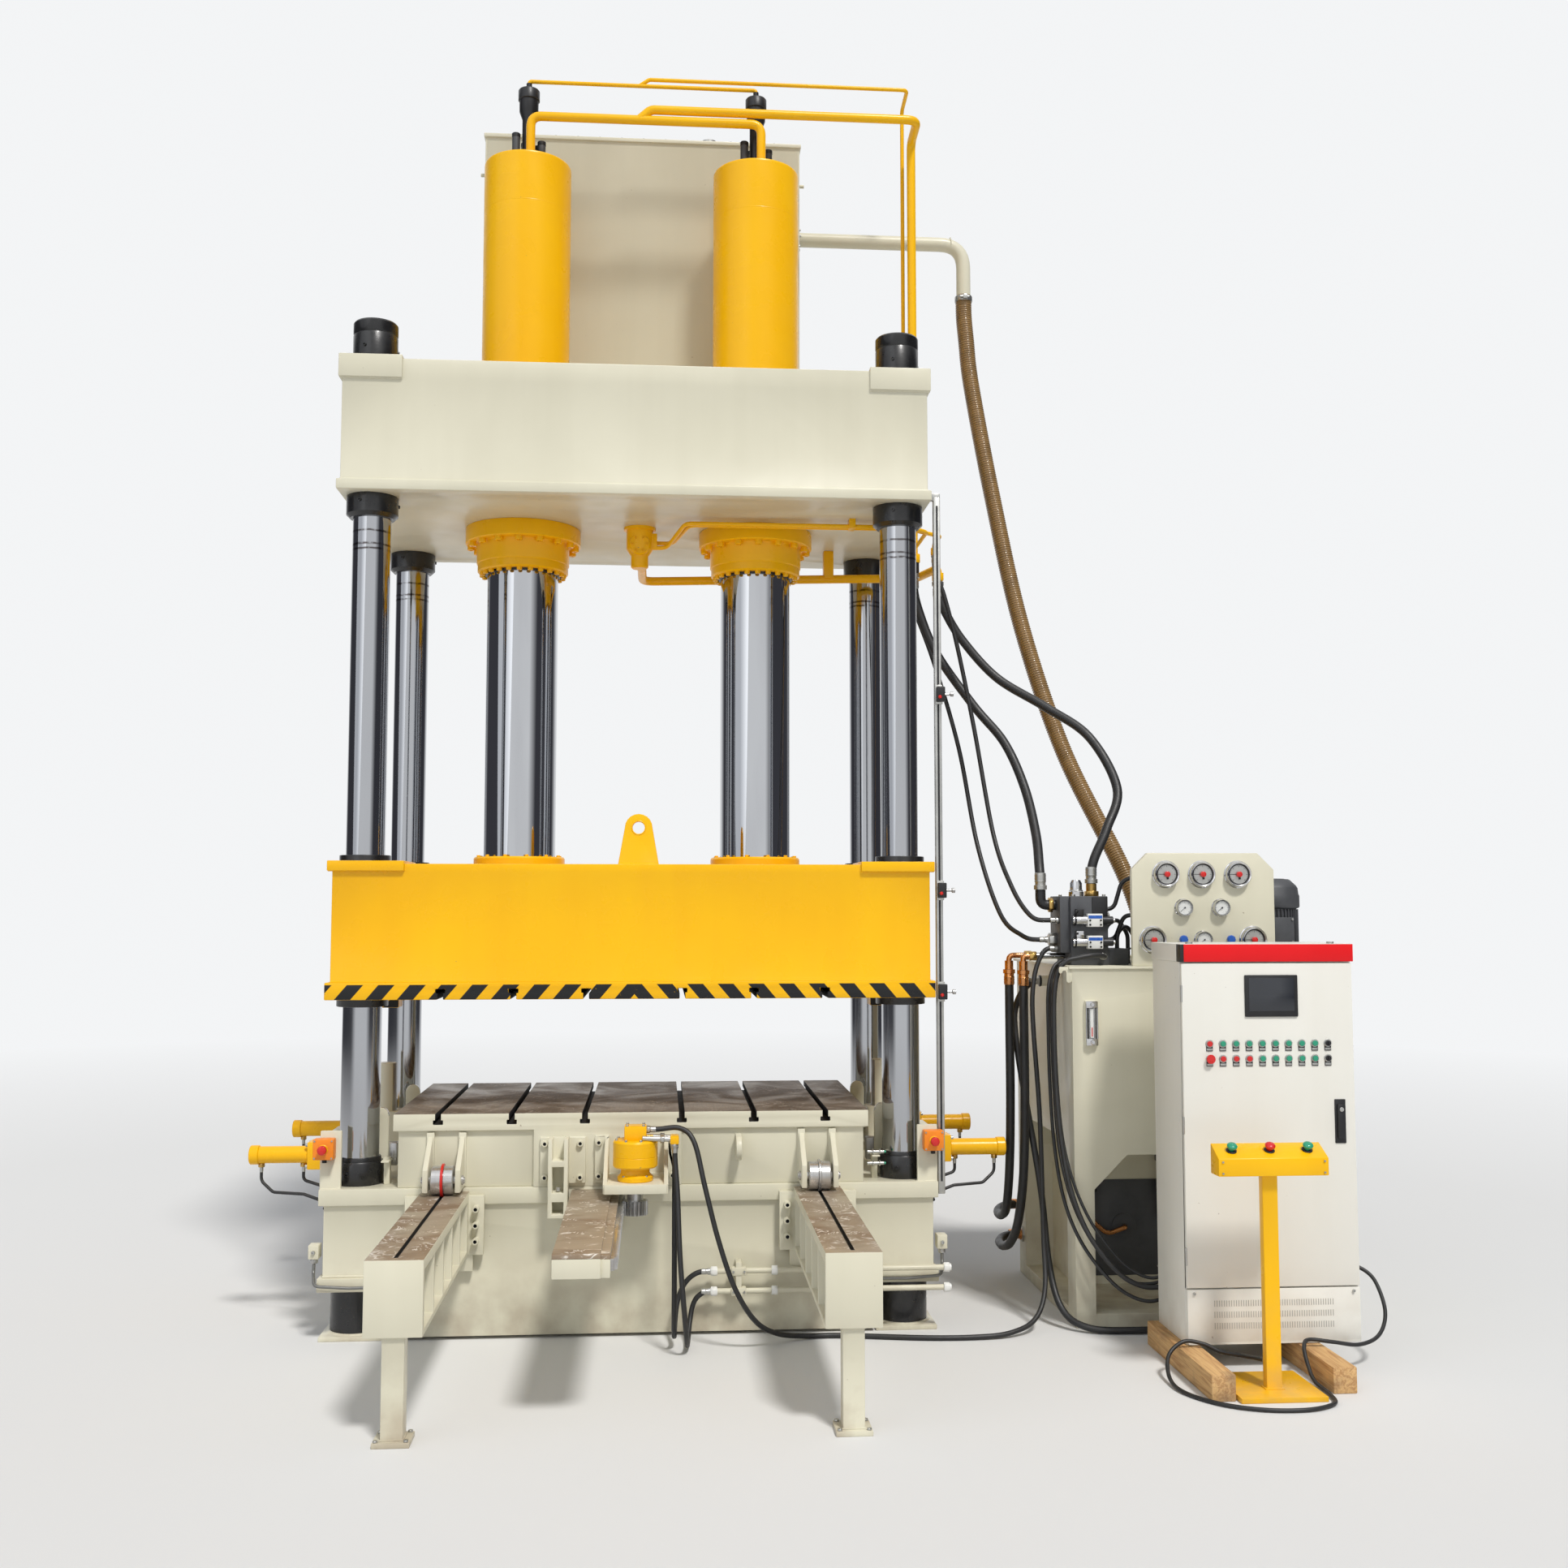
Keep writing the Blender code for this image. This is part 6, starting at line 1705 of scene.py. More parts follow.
@dataclass
class Controls(Assembly):
    """Limit switches on their rail, emergency-stop boxes and the pipes along the bed's front."""

    def build(self) -> None:
        """Makes the rail with its switches, both stop boxes and the hard pipes."""
        f = self.finish
        rail = Shape("sensor_rail_post", f.zinc, f.black, f.red, f.bright)
        x0, x1, y0, y1 = 1.3453, 1.376, -0.725, -0.695
        rail.box((x0, y0, 0.585), (x1, y1, 3.72), 0.003)
        rail.box((1.3403, y0 + 0.003, 0.59), (x1, y1 - 0.003, 0.63))
        rail.box((1.3333, y0 + 0.003, 3.705), (x1, y1 - 0.003, 3.74))
        rail.box((x0 + 0.011, y0 - 0.0012, 0.64), (x1 - 0.011, y0 + 0.001, 3.68), 0.0, 1)
        for z in (2.81, 1.925, 1.474):
            rail.box((x0 + 0.004, y0 - 0.032, z - 0.034), (x1 + 0.012, y0 + 0.004, z + 0.034), 0.004, 1)
            rail.box((x0 + 0.001, y0 - 0.006, z - 0.044), (x1 + 0.004, y0 + 0.006, z + 0.044), 0.002)
            rail.bar((x1 + 0.01, y0 - 0.014, z), (x1 + 0.042, y0 - 0.014, z), 0.012, 3, 20)
            rail.bar((x1 + 0.036, y0 - 0.022, z), (x1 + 0.05, y0 - 0.022, z), 0.022, 3, 24)
            rail.turn(
                [(0, 0), (0.008, 0), (0.008, 0.004), (0.005, 0.008), (0, 0.009)],
                (x0 + 0.018, y0 - 0.031, z - 0.014), FRONT, 2, 20,
            )
        rail.done(slot="steel", nodes=["sensor_rail"])
        for name, side, z in (("l", -1, 0.819), ("r", 1, 0.827)):
            x, face = side * 1.316, -0.7353
            front = face - 0.058
            box = Shape(f"estop_box_{name}_case", f.orange, f.zinc, f.black, f.yellow)
            box.box((x - 0.044, front + 0.018, z - 0.044), (x + 0.044, face, z + 0.044), 0.006)
            box.box((x - 0.044, front, z - 0.044), (x + 0.044, front + 0.0165, z + 0.044), 0.005)
            box.screws([
                (x + dx, front + 0.0015, z + dz) for dx in (-0.036, 0.036) for dz in (-0.036, 0.036)
            ], FRONT, 0.008, 1)
            box.turn([
                (0.0113, 0), (0.021, 0), (0.021, 0.002), (0.0185, 0.004), (0.0113, 0.004)
            ], (x, front, z), FRONT, 3, 40)
            box.bar((x, face - 0.025, z - 0.042), (x, face - 0.025, z - 0.06), 0.02, 2, 24)
            box.done(slot="yellow_paint", nodes=[f"estop_box_{name}"])
            knob = Shape(f"estop_knob_{name}", f.red, f.black)
            knob.turn([
                (0, -0.009), (0.0105, -0.009), (0.0105, 0.013), (0, 0.013)
            ], (x, front, z), FRONT, 1, 32)
            knob.turn([
                (0, 0.012), (0.0115, 0.012), (0.0185, 0.016), (0.02, 0.02), (0.02, 0.027), (0.018, 0.0315),
                (0.013, 0.034), (0, 0.035),
            ], (x, front, z), FRONT, 0, 48)
            knob.done(f"estop_{name}", "red_plastic", [f"estop_button_{name}"])
        y = -0.8
        pipes(
            "hardline_tubes", [[(0.335, y, z), (1.375, y, z)] for z in (0.285, 0.2)], 0.024, 0.05,
            f.ivory_low, slot="steel", nodes=["hardlines"],
        )
        clamp = Shape("hardline_fittings", f.ivory_low, f.zinc, f.white)
        clamp.box((0.445, -0.818, 0.168), (0.47, -0.7353, 0.322), 0.003)
        clamp.box((0.425, -0.822, 0.268), (0.49, -0.779, 0.302), 0.004)
        clamp.box((0.425, -0.822, 0.183), (0.49, -0.779, 0.217), 0.004)
        clamp.screws([(x, -0.8215, z) for x in (0.434, 0.481) for z in (0.285, 0.2)], FRONT, 0.01, 1)
        for z in (0.285, 0.2):
            for x in (0.338, 0.6, 1.352):
                clamp.nuts([(x, y, z)], RIGHT, 0.036, 0.026, 2)
            clamp.bar((0.335, y, z), (0.366, y, z), 0.03, 2).bar((1.36, y, z), (1.385, y, z), 0.03, 2)
        clamp.done()


@dataclass
class PowerUnit(Assembly):
    """The oil power unit: tank, gauge panel, valve block and pump motor."""

    x0: float = 1.95
    front: float = -0.76
    top: float = 1.585
    GAUGES = (
        (2.389, 1.998, 0.118, 3.3), (2.5545, 1.998, 0.118, 3.3), (2.722, 1.998, 0.118, 3.3),
        (2.468, 1.847, 0.078, 2.3), (2.64, 1.847, 0.078, 2.3), (2.324, 1.703, 0.118, 3.3),
        (2.787, 1.703, 0.118, 3.3), (2.556, 1.703, 0.078, 2.3),
    )

    def gauge(self, shape: Shape, x: float, z: float, width: float, turn: float) -> None:
        """Adds one pressure gauge to a shape.

        Args:
            shape: A shape whose slots are paint, fitting, dial, mark, knob, glass, hand wheel and bezel.
            x: Place across the panel.
            z: Height of the dial's middle.
            width: Outer diameter of the case.
            turn: Angle of the needle from straight up, in radians.
        """
        place, r = aim((x, self.front + 0.005, z), FRONT), width / 2
        large = width > 0.1
        inner = r * (0.8 if large else 0.86)
        case = [
            (0, 0), (r * 1.06, 0), (r * 1.06, 0.004), (r * 0.99, 0.007), (r * 0.99, 0.022), (r * 0.96, 0.029),
            (r * 0.91, 0.032), (inner + 0.002, 0.03), (inner, 0.026), (inner, 0.019), (0, 0.019),
        ]
        shape.add(turned_shape(case, 64), 7, [place])
        shape.add(turned_shape([
            (0, 0.0185), (inner + 0.001, 0.0185), (inner + 0.001, 0.0205), (0, 0.0205)
        ], 56), 1 if large else 2, [place])
        rim = [(inner * 0.9, 0.0205), (inner * 0.99, 0.0205), (inner * 0.99, 0.0225), (inner * 0.9, 0.0215)]
        shape.add(turned_shape(rim, 56), 3, [place])
        long = box_shape((-0.0008, inner * 0.7, 0.0204), (0.0008, inner * 0.9, 0.0211), 0)
        short = box_shape((-0.0005, inner * 0.79, 0.0204), (0.0005, inner * 0.9, 0.021), 0)
        angles = [math.radians(-135 + 270 * i / 30) for i in range(31)]
        shape.add(long, 3, [place @ Matrix.Rotation(a, 4, "Z") for a in angles[::5]])
        shape.add(short, 3, [place @ Matrix.Rotation(a, 4, "Z") for a in angles])
        thick = 0.005 if large else 0.0014
        needle = box_shape(
            (-thick, -inner * 0.2, 0.0218), (thick, inner * (0.5 if large else 0.74), 0.023), 0.0004
        )
        shape.add(needle, 3, [place @ Matrix.Rotation(turn, 4, "Z")])
        knob, reach = (0.013, 0.006) if large else (0.004, 0.0)
        hub = [
            (0, 0.0215), (knob, 0.0215), (knob, 0.0265 + reach), (knob * 0.7, 0.0285 + reach),
            (0, 0.029 + reach),
        ]
        shape.add(turned_shape(hub, 20), 4 if large else 3, [place])
        if large:
            shape.add(box_shape((-inner * 0.86, -0.0012, 0.0214), (0.0, 0.0012, 0.0222), 0.0), 3, [place])
            return
        shape.add(turned_shape([(0, 0.0262), (inner, 0.0262), (inner, 0.027), (0, 0.0282)], 48), 5, [place])

    def build(self) -> None:
        """Makes the tank and what stands on it."""
        self.tank()
        self.panel()
        self.valves()
        self.pump()

    def tank(self) -> None:
        """Makes the tank with its level glass, covers, filler and pumps in the bay."""
        f = self.finish
        skin = Shape("power_tank_skin", f.ivory_low).skin(self.cad["power_tank"], 0.003)
        skin.done(slot="ivory_paint", nodes=["power_tank"])
        trim = Shape("power_tank_trim", f.ivory, f.zinc, f.glass, f.red, f.black, f.white, f.bezel)
        y = self.front - 0.018
        for low, high in ((1.235, 1.266), (1.401, 1.432)):
            trim.box((2.006, y - 0.008, low), (2.06, y + 0.003, high), 0.005, 6)
        for x in (2.0085, 2.0575):
            trim.bar((x, y - 0.003, 1.25), (x, y - 0.003, 1.42), 0.007, 6, 16)
        trim.box((2.013, y - 0.001, 1.262), (2.053, y + 0.002, 1.405), 0.001, 4)
        trim.box((2.026, y - 0.003, 1.27), (2.04, y, 1.397), 0.0, 5)
        trim.box((2.018, y - 0.008, 1.264), (2.048, y - 0.002, 1.403), 0.002, 2)
        trim.box((2.03, y - 0.0045, 1.275), (2.036, y - 0.0028, 1.315), 0, 3)
        trim.screws([(2.033, y - 0.007, z) for z in (1.2505, 1.4165)], FRONT, 0.018, 6)
        hook = [
            (1.952, 1.583), (1.897, 1.583), (1.893, 1.577), (1.893, 1.56), (1.899, 1.552), (1.906, 1.556),
            (1.912, 1.566), (1.922, 1.566), (1.926, 1.556), (1.926, 1.522), (1.932, 1.512), (1.944, 1.512),
            (1.952, 1.522),
        ]
        trim.add(plate_shape(hook, Axis.Y, self.front + 0.002, self.front + 0.01, 0.0015), 0)
        for x in (2.42, 2.7):
            trim.box((x, -0.6, self.top), (x + 0.2, -0.3, self.top + 0.01), 0.002)
            corners = [(x + dx, -0.45 + dy, self.top + 0.009) for dx in (0.02, 0.18) for dy in (-0.13, 0.13)]
            trim.screws(corners, UP, 0.014, 1)
        trim.turn([
            (0.044, 1.6), (0.062, 1.6), (0.062, 1.612), (0.05, 1.62), (0.05, 1.645), (0.044, 1.645)
        ], (2.47, -0.13, 0))
        cap = [(0, 0), (0.046, 0), (0.046, 0.05), (0.052, 0.054), (0.052, 0.085), (0.044, 0.092), (0, 0.092)]
        trim.turn(cap, (2.2, 0.18, self.top), slot=4)
        gland = [(0.0155, 0), (0.026, 0), (0.027, 0.003), (0.027, 0.008), (0.0155, 0.01)]
        trim.turn(gland, (1.9198, -0.3, 1.5), LEFT, 4, 32)
        for y, z in ((0.265, 0.352), (0.265, 0.202)):
            trim.turn([(0.021, 0), (0.04, 0), (0.04, 0.01), (0.021, 0.014)], (self.x0, y, z), LEFT, 1, 6)
        trim.done()
        cover = Shape("bay_cover", f.graphite, f.zinc, f.black)
        cover.box((2.1, -0.2135, 0.1), (2.89, -0.2108, 0.55), 0.0008)
        cover.screws([(x, -0.2128, z) for x in (2.13, 2.495, 2.86) for z in (0.14, 0.51)], FRONT, 0.012, 1)
        for x in (2.33, 2.66):
            cover.turn([
                (0, 0), (0.06, 0), (0.06, 0.008), (0.048, 0.01), (0, 0.01)
            ], (x, -0.213, 0.33), FRONT, 0, 40)
        cover.done()
        pipes("bay_pipes", [
            [
                (2.17, -0.245, 0.748), (2.17, -0.245, 0.36), (2.24, -0.245, 0.3), (2.33, -0.245, 0.33),
                (2.33, -0.225, 0.33),
            ],
            [
                (2.5, -0.245, 0.748), (2.5, -0.245, 0.4), (2.56, -0.245, 0.33), (2.66, -0.245, 0.33),
                (2.66, -0.225, 0.33),
            ],
        ], 0.022, 0.05, f.copper)
        unions = Shape("bay_unions", f.black)
        for x in (2.17, 2.5):
            unions.nuts([(x, -0.245, z) for z in (0.64, 0.5)], UP, 0.042, 0.05)
        unions.done()

    def panel(self) -> None:
        """Makes the gauge panel."""
        f, y, cut = self.finish, self.front + 0.005, 0.075
        shape = Shape("gauge_panel_face", f.ivory, f.zinc, f.white, f.black, f.red, f.glass, f.blue, f.bezel)
        low, high, left, right = self.top + GAP, 2.095, 2.232, 2.893
        shape.add(plate_shape([
            (left, low), (right, low), (right, high - cut), (right - cut, high), (left + cut, high),
            (left, high - cut),
        ], Axis.Y, y, y + 0.03, 0.004))
        for x, z, width, turn in self.GAUGES:
            self.gauge(shape, x, z, width, turn)
        for x in (2.459, 2.678):
            shape.turn([
                (0, 0), (0.009, 0), (0.009, 0.014), (0.017, 0.016), (0.019, 0.02), (0.019, 0.034),
                (0.015, 0.04), (0, 0.04),
            ], (x, y, 1.705), FRONT, 6, 12)
            shape.turn([(0, 0), (0.013, 0), (0.013, 0.007), (0, 0.007)], (x, y, 1.705), FRONT, 1, 6)
        for x in (left + 0.05, right - 0.12):
            shape.add(plate_shape([
                (y + 0.025, low), (y + 0.2, low), (y + 0.19, low + 0.02), (y + 0.045, low + 0.3),
                (y + 0.025, low + 0.3),
            ], Axis.X, x - 0.004, x + 0.004, 0.001))
        shape.done(slot="ivory_paint", nodes=["gauge_panel"])
        pipes("gauge_capillaries", [
            [
                (x, y + 0.028, z), (x, y + 0.06, z), (x - 0.02, y + 0.07, 1.66), (2.27, -0.58, 1.66),
                (2.2, -0.58, 1.645),
            ]
            for x, z in ((2.389, 1.998), (2.5545, 1.998), (2.722, 1.998), (2.468, 1.847), (2.64, 1.847))
        ], 0.008, 0.03, f.black)

    def valves(self) -> None:
        """Makes the manifold with its solenoid valves, cartridge, elbows and outlet tubes."""
        f, low = self.finish, self.top + GAP
        block = Shape("valve_manifold", f.graphite, f.zinc, f.black, f.brass, f.white, f.blue, f.bezel)
        block.box((1.985, -0.62, low), (2.16, -0.36, 1.9), 0.004)
        block.box((1.94, -0.6, 1.64), (2.02, -0.42, 1.9), 0.004)
        block.box((2.1, -0.6, low), (2.26, -0.42, 1.66), 0.004)
        block.box((2.085, -0.624, 1.8), (2.158, -0.6, 1.898), 0.003, 2)
        for z in (1.66, 1.76):
            block.box((2.055, -0.658, z), (2.125, -0.618, z + 0.06), 0.003, 4)
            block.box((2.058, -0.6588, z + 0.038), (2.122, -0.6575, z + 0.052), 0.0, 5)
            block.screws([
                (x, -0.6575, z + dz) for x in (2.065, 2.115) for dz in (0.01, 0.03)
            ], FRONT, 0.009, 2)
            block.bar((1.988, -0.636, z + 0.03), (2.054, -0.636, z + 0.03), 0.042, 6, 32)
            block.bar((1.996, -0.636, z + 0.03), (2.004, -0.636, z + 0.03), 0.05, 2, 32, 0.002)
            block.bar((2.126, -0.636, z + 0.03), (2.176, -0.636, z + 0.03), 0.036, 2, 32)
            block.bar((2.176, -0.636, z + 0.03), (2.186, -0.636, z + 0.03), 0.02, 6, 24)
            block.box((2.004, -0.65, z + 0.048), (2.04, -0.62, z + 0.082), 0.004, 6 if z < 1.7 else 2)
            block.bar((2.008, -0.652, z + 0.07), (1.995, -0.668, z + 0.07), 0.012, 2, 16)
        stack = [
            (0, 1.895), (0.035, 1.895), (0.035, 1.92), (0.028, 1.926), (0.028, 1.96), (0.02, 1.975),
            (0, 1.975),
        ]
        block.turn(stack, (2.03, -0.55, 0), slot=6)
        block.nuts([(2.03, -0.55, 1.9)], UP, 0.058, 0.03, 1)
        block.nuts([(2.13, -0.45, 1.899)], UP, 0.062, 0.026, 3)
        block.bar((2.13, -0.45, 1.92), (2.13, -0.45, 1.96), 0.05, 3)
        block.nuts([(1.94, -0.52, 1.7)], LEFT, 0.055, 0.035, 1)
        block.nuts([(2.16, -0.5, 1.8)], RIGHT, 0.055, 0.035, 1)
        block.nuts([(1.905, -0.52, 1.86)], RIGHT, 0.06, 0.022, 3)
        block.bar((1.94, -0.57, 1.79), (1.955, -0.57, 1.79), 0.035, 3, 24)
        block.bar((1.94, -0.55, 1.66), (1.955, -0.55, 1.66), 0.035, 3, 24)
        block.screws([(x, y, 1.899) for x in (2.0, 2.145) for y in (-0.605, -0.375)], UP, 0.016, 1)
        for y in (-0.604, -0.584, -0.564):
            block.bar((1.98, y, 1.606), (1.99, y, 1.606), 0.018, 2, 20)
        block.bar((2.13, -0.616, 1.625), (2.13, -0.628, 1.625), 0.03, 1, 24)
        block.done(slot="black", nodes=["valve_block"])
        elbow = [(1.96, -0.52, 1.86), (1.87, -0.52, 1.86), (1.87, -0.52, 1.93)]
        pipes("valve_elbow", [elbow], 0.048, 0.035, f.black, slot="black")
        pipes("valve_back_lines", [
            [
                (2.155, -0.47, 1.84), (2.23, -0.47, 1.84), (2.27, -0.47, 1.97), (2.34, -0.5, 2.0),
                (2.34, -0.726, 2.0),
            ],
            [
                (2.155, -0.53, 1.7), (2.215, -0.53, 1.7), (2.25, -0.58, 1.82), (2.324, -0.62, 1.8),
                (2.324, -0.726, 1.703),
            ],
            [
                (2.18, -0.5, 1.655), (2.18, -0.5, 1.76), (2.25, -0.46, 1.8), (2.31, -0.42, 1.72),
                (2.31, -0.42, self.top),
            ],
            [
                (2.22, -0.55, 1.655), (2.22, -0.55, 1.73), (2.28, -0.5, 1.77), (2.35, -0.46, 1.68),
                (2.35, -0.46, self.top),
            ],
        ], 0.02, 0.06, f.black)
        nuts = Shape("outlet_unions", f.brass, f.bezel, f.copper)
        for x, y in ((1.745, -0.4), (1.79, -0.5)):
            nuts.bar((1.835, y, 1.624), (1.984, y, 1.624), 0.026, 1, 24)
            nuts.nuts([(1.818, y, 1.624)], RIGHT, 0.038, 0.034, 0)
            nuts.bar((x, y, 1.558), (x, y, 1.6), 0.04, 2, 24)
        nuts.done()
        pipes("outlet_elbows", [
            [(1.822, -0.4, 1.624), (1.745, -0.4, 1.624), (1.745, -0.4, 1.575)],
            [(1.824, -0.5, 1.624), (1.79, -0.5, 1.624), (1.79, -0.5, 1.575)],
        ], 0.026, 0.05, f.copper)

    def pump(self) -> None:
        """Makes the upright pump motor with its fins, fan cover and terminal box."""
        f, x, y, low, high = self.finish, 2.945, -0.52, self.top + GAP, 0.395
        motor = Shape("pump_motor_body", f.graphite, f.zinc, f.black)
        motor.turn([
            (0, 0), (0.145, 0), (0.145, 0.018), (0.121, 0.024), (0.119, 0.046), (0.135, 0.058),
            (0.135, high - 0.138), (0.147, high - 0.133), (0.15, high - 0.128), (0.15, high - 0.078),
            (0.146, high - 0.07), (0.143, high - 0.042), (0.136, high - 0.03), (0.108, high - 0.003),
            (0.1, high), (0, high),
        ], (x, y, low), steps=72)
        fin = box_shape((-0.0018, 0.13, 0.062), (0.0018, 0.1435, high - 0.14), 0.0006)
        centre = Matrix.Translation((x, y, low))
        motor.add(fin, 0, [centre @ Matrix.Rotation(i * math.tau / 48, 4, "Z") for i in range(48)])
        for radius in (0.03, 0.048, 0.066, 0.084):
            motor.add(ring_shape(radius, 0.004, 48, 6), 2, [Matrix.Translation((x, y, low + high))])
        motor.box((x - 0.055, y - 0.183, low + 0.1), (x + 0.055, y - 0.1, low + 0.215), 0.005)
        motor.box((x - 0.058, y - 0.187, low + 0.097), (x + 0.058, y - 0.17, low + 0.218), 0.004)
        lid = [(x + dx, y - 0.1865, low + dz) for dx in (-0.049, 0.049) for dz in (0.106, 0.209)]
        motor.screws(lid, FRONT, 0.01, 1)
        motor.bar((x - 0.02, y - 0.145, low + 0.075), (x - 0.02, y - 0.145, low + 0.102), 0.026, 2, 24)
        motor.nuts(circle((x, y, low + 0.0175), 0.131, 4, math.pi / 4), UP, 0.02, 0.012, 1)
        motor.done(slot="black", nodes=["pump_motor"])


@dataclass
class Cabinet(Assembly):
    """The control cabinet on its timbers, with the dressed door."""

    x: float = 2.585
    half: float = 0.36
    front: float = -1.41
    door: float = -1.4303

    def pick(self, centre: Vector, normal: Vector) -> int:
        """Chooses paint or the red band.

        Args:
            centre: The middle of the face.
            normal: Its normal.

        Returns:
            The index of the finish.
        """
        if centre.z > 1.6275 and centre.y < self.front - 0.0005 and normal.z < 0.9:
            return 1
        return 0

    def build(self) -> None:
        """Makes the body, the door with its switches, and the timbers."""
        f = self.finish
        skin = Shape("cabinet_body_skin", f.white_coat, f.band).skin(
            self.cad["cabinet_body"], 0.0025, self.pick
        )
        skin.done(slot="ivory_paint", nodes=["cabinet_body"])
        trim = Shape("cabinet_trim", f.white_coat, f.louvre, f.black, f.zinc)
        left, right, y = self.x - self.half, self.x + self.half, self.front - 0.0202
        # The louvre slots are small bars in a grey that is painted shade.
        slot = box_shape((-0.0012, y - 0.0012, -0.012), (0.0012, y + 0.002, 0.012), 0.0)
        places = [
            Matrix.Translation((2.338 + 0.01 * i, 0, z)) for i in range(50) for z in (0.176, 0.22, 0.264)
        ]
        trim.add(slot, 1, places)
        trim.box(
            (left - 0.0042, self.front - 0.0262, 1.6275), (left + 0.012, self.front + 0.02, 1.6995), 0.0008, 2
        )
        trim.box((left + 0.004, y - 0.0012, 0.104), (right - 0.004, y + 0.002, 0.11), 0.0, 0)
        trim.turn([
            (0, 0), (0.026, 0), (0.026, 0.008), (0.02, 0.012), (0.017, 0.04), (0, 0.04)
        ], (right + 0.01, -1.16, 0.34), RIGHT, 2, 32)
        for side in (-1, 1):
            trim.bar((self.x + side * 0.3, -1.36, 1.699), (self.x + side * 0.3, -1.36, 1.708), 0.03, 3, 24)
        trim.screws([(xx, y - 0.0005, 0.305) for xx in (left + 0.03, right - 0.03)], FRONT, 0.012, 3)
        trim.done()
        door = Shape("cabinet_door_panel", f.white_coat, f.black, f.screen, f.green, f.red, f.zinc, f.dark)
        low, high = 0.325, 1.622
        door.box((left + 0.002, self.door, low), (right - 0.002, self.front - GAP, high), 0.004)
        # A thin sheet in the near-black painted gap shade, set within the door's block.
        door.box(
            (left + 0.006, self.door + 0.006, low + 0.004), (right - 0.006, self.door + 0.009, high - 0.004),
            0, 6,
        )
        y = self.door
        door.box((2.489, y - 0.008, 1.405), (2.711, y + 0.004, 1.574), 0.004, 1)
        door.box((2.505, y - 0.0088, 1.428), (2.695, y - 0.006, 1.562), 0.0008, 2)
        door.box((2.855, y - 0.004, 0.893), (2.901, y + 0.004, 1.07), 0.003, 1)
        door.box((2.8635, y - 0.018, 0.912), (2.8925, y - 0.003, 1.051), 0.006, 1)
        door.bar((2.878, y - 0.016, 1.03), (2.878, y - 0.02, 1.03), 0.018, 5, 24)
        for z in (0.45, 0.97, 1.5):
            door.bar(
                (left + 0.0015, y + 0.004, z - 0.035), (left + 0.0015, y + 0.004, z + 0.035), 0.01, 5, 16
            )
        collar = [(0, 0), (0.0165, 0), (0.0165, 0.003), (0.0145, 0.005), (0, 0.005)]
        cap = [(0, 0.004), (0.0108, 0.004), (0.0112, 0.0105), (0.0095, 0.0122), (0, 0.0124)]
        heads = {(0, 0): 4, (1, 1): 4, (1, 2): 4, (1, 3): 4, (0, 9): 1, (1, 9): 1}
        for row, z in enumerate((1.297, 1.236)):
            for i in range(10):
                x = 2.338 + i * 0.055
                head = heads.get((row, i), 3)
                door.turn(collar, (x, y, z), FRONT, 5, 28)
                door.box((x - 0.0135, y - 0.0035, z - 0.03), (x + 0.0135, y + 0.001, z - 0.004), 0.001, 1)
                door.box((x - 0.012, y - 0.0042, z - 0.027), (x + 0.012, y - 0.003, z - 0.0185), 0.0003, 5)
                if (row, i) == (1, 0):
                    door.turn([
                        (0, 0.004), (0.01, 0.004), (0.0105, 0.01), (0.0175, 0.014), (0.019, 0.018),
                        (0.017, 0.0225), (0, 0.024),
                    ], (x, y, z), FRONT, 4, 36)
                    continue
                door.turn(cap, (x, y, z), FRONT, head, 28)
                if head == 1:
                    door.box((x - 0.003, y - 0.018, z - 0.011), (x + 0.003, y - 0.011, z + 0.011), 0.0015, 1)
        door.done("door", "ivory_paint", ["cabinet_door"])
        for name, _ in SIDES:
            beam = Shape(f"timber_{name}_beam", f.wood).skin(self.cad[f"timber_{name}"], 0.006)
            beam.done(slot="wood", nodes=[f"timber_{name}"])


@dataclass
class Pedestal(Assembly):
    """The yellow push-button pedestal."""

    x: float = 2.455
    y: float = -1.725
    low: float = 0.826
    pitch: float = 0.15

    def build(self) -> None:
        """Makes the stand, its box and the three buttons."""
        f, x, y = self.finish, self.x, self.y
        stand = Shape("pedestal_stand", f.yellow_low, f.zinc, f.black, f.white)
        stand.skin(self.cad["pedestal"], 0.003)
        slope = Matrix.Rotation(math.atan2(0.047, 0.09), 4, "X")
        seats = [
            Matrix.Translation((x + i * self.pitch, y - 0.02, self.low + 0.0905)) @ slope for i in (-1, 0, 1)
        ]
        collar = [(0.0113, -0.002), (0.0205, -0.002), (0.0205, 0.003), (0.018, 0.005), (0.0113, 0.005)]
        stand.add(turned_shape(collar, 40), 2, seats)
        stand.box((x - 0.038, y - 0.028, 0.018), (x + 0.038, y + 0.028, 0.025), 0.002)
        stand.screws([
            (x + dx, y - 0.0655, self.low + dz) for dx in (-0.2, 0.2) for dz in (0.012, 0.055)
        ], FRONT, 0.008, 1)
        gland = [(0.008, 0), (0.017, 0), (0.017, 0.01), (0.013, 0.016), (0.008, 0.016)]
        stand.turn(gland, (x, y + 0.034, 0.1), BACK, 2, 28)
        stand.done(slot="yellow_paint", nodes=["pedestal"])
        head = [
            (0, -0.012), (0.0105, -0.012), (0.0105, 0.012), (0.0155, 0.013), (0.0195, 0.018), (0.02, 0.024),
            (0.0165, 0.029), (0.01, 0.0315), (0, 0.032),
        ]
        for name, seat, tone in zip(("start", "stop", "return"), seats, (f.green, f.red, f.green)):
            cap = Shape(f"pedestal_{name}_cap", tone).add(turned_shape(head, 48), 0, [seat])
            cap.done(
                f"button_{name}", "red_plastic" if name == "stop" else "green_plastic",
                [f"pedestal_button_{name}"],
            )


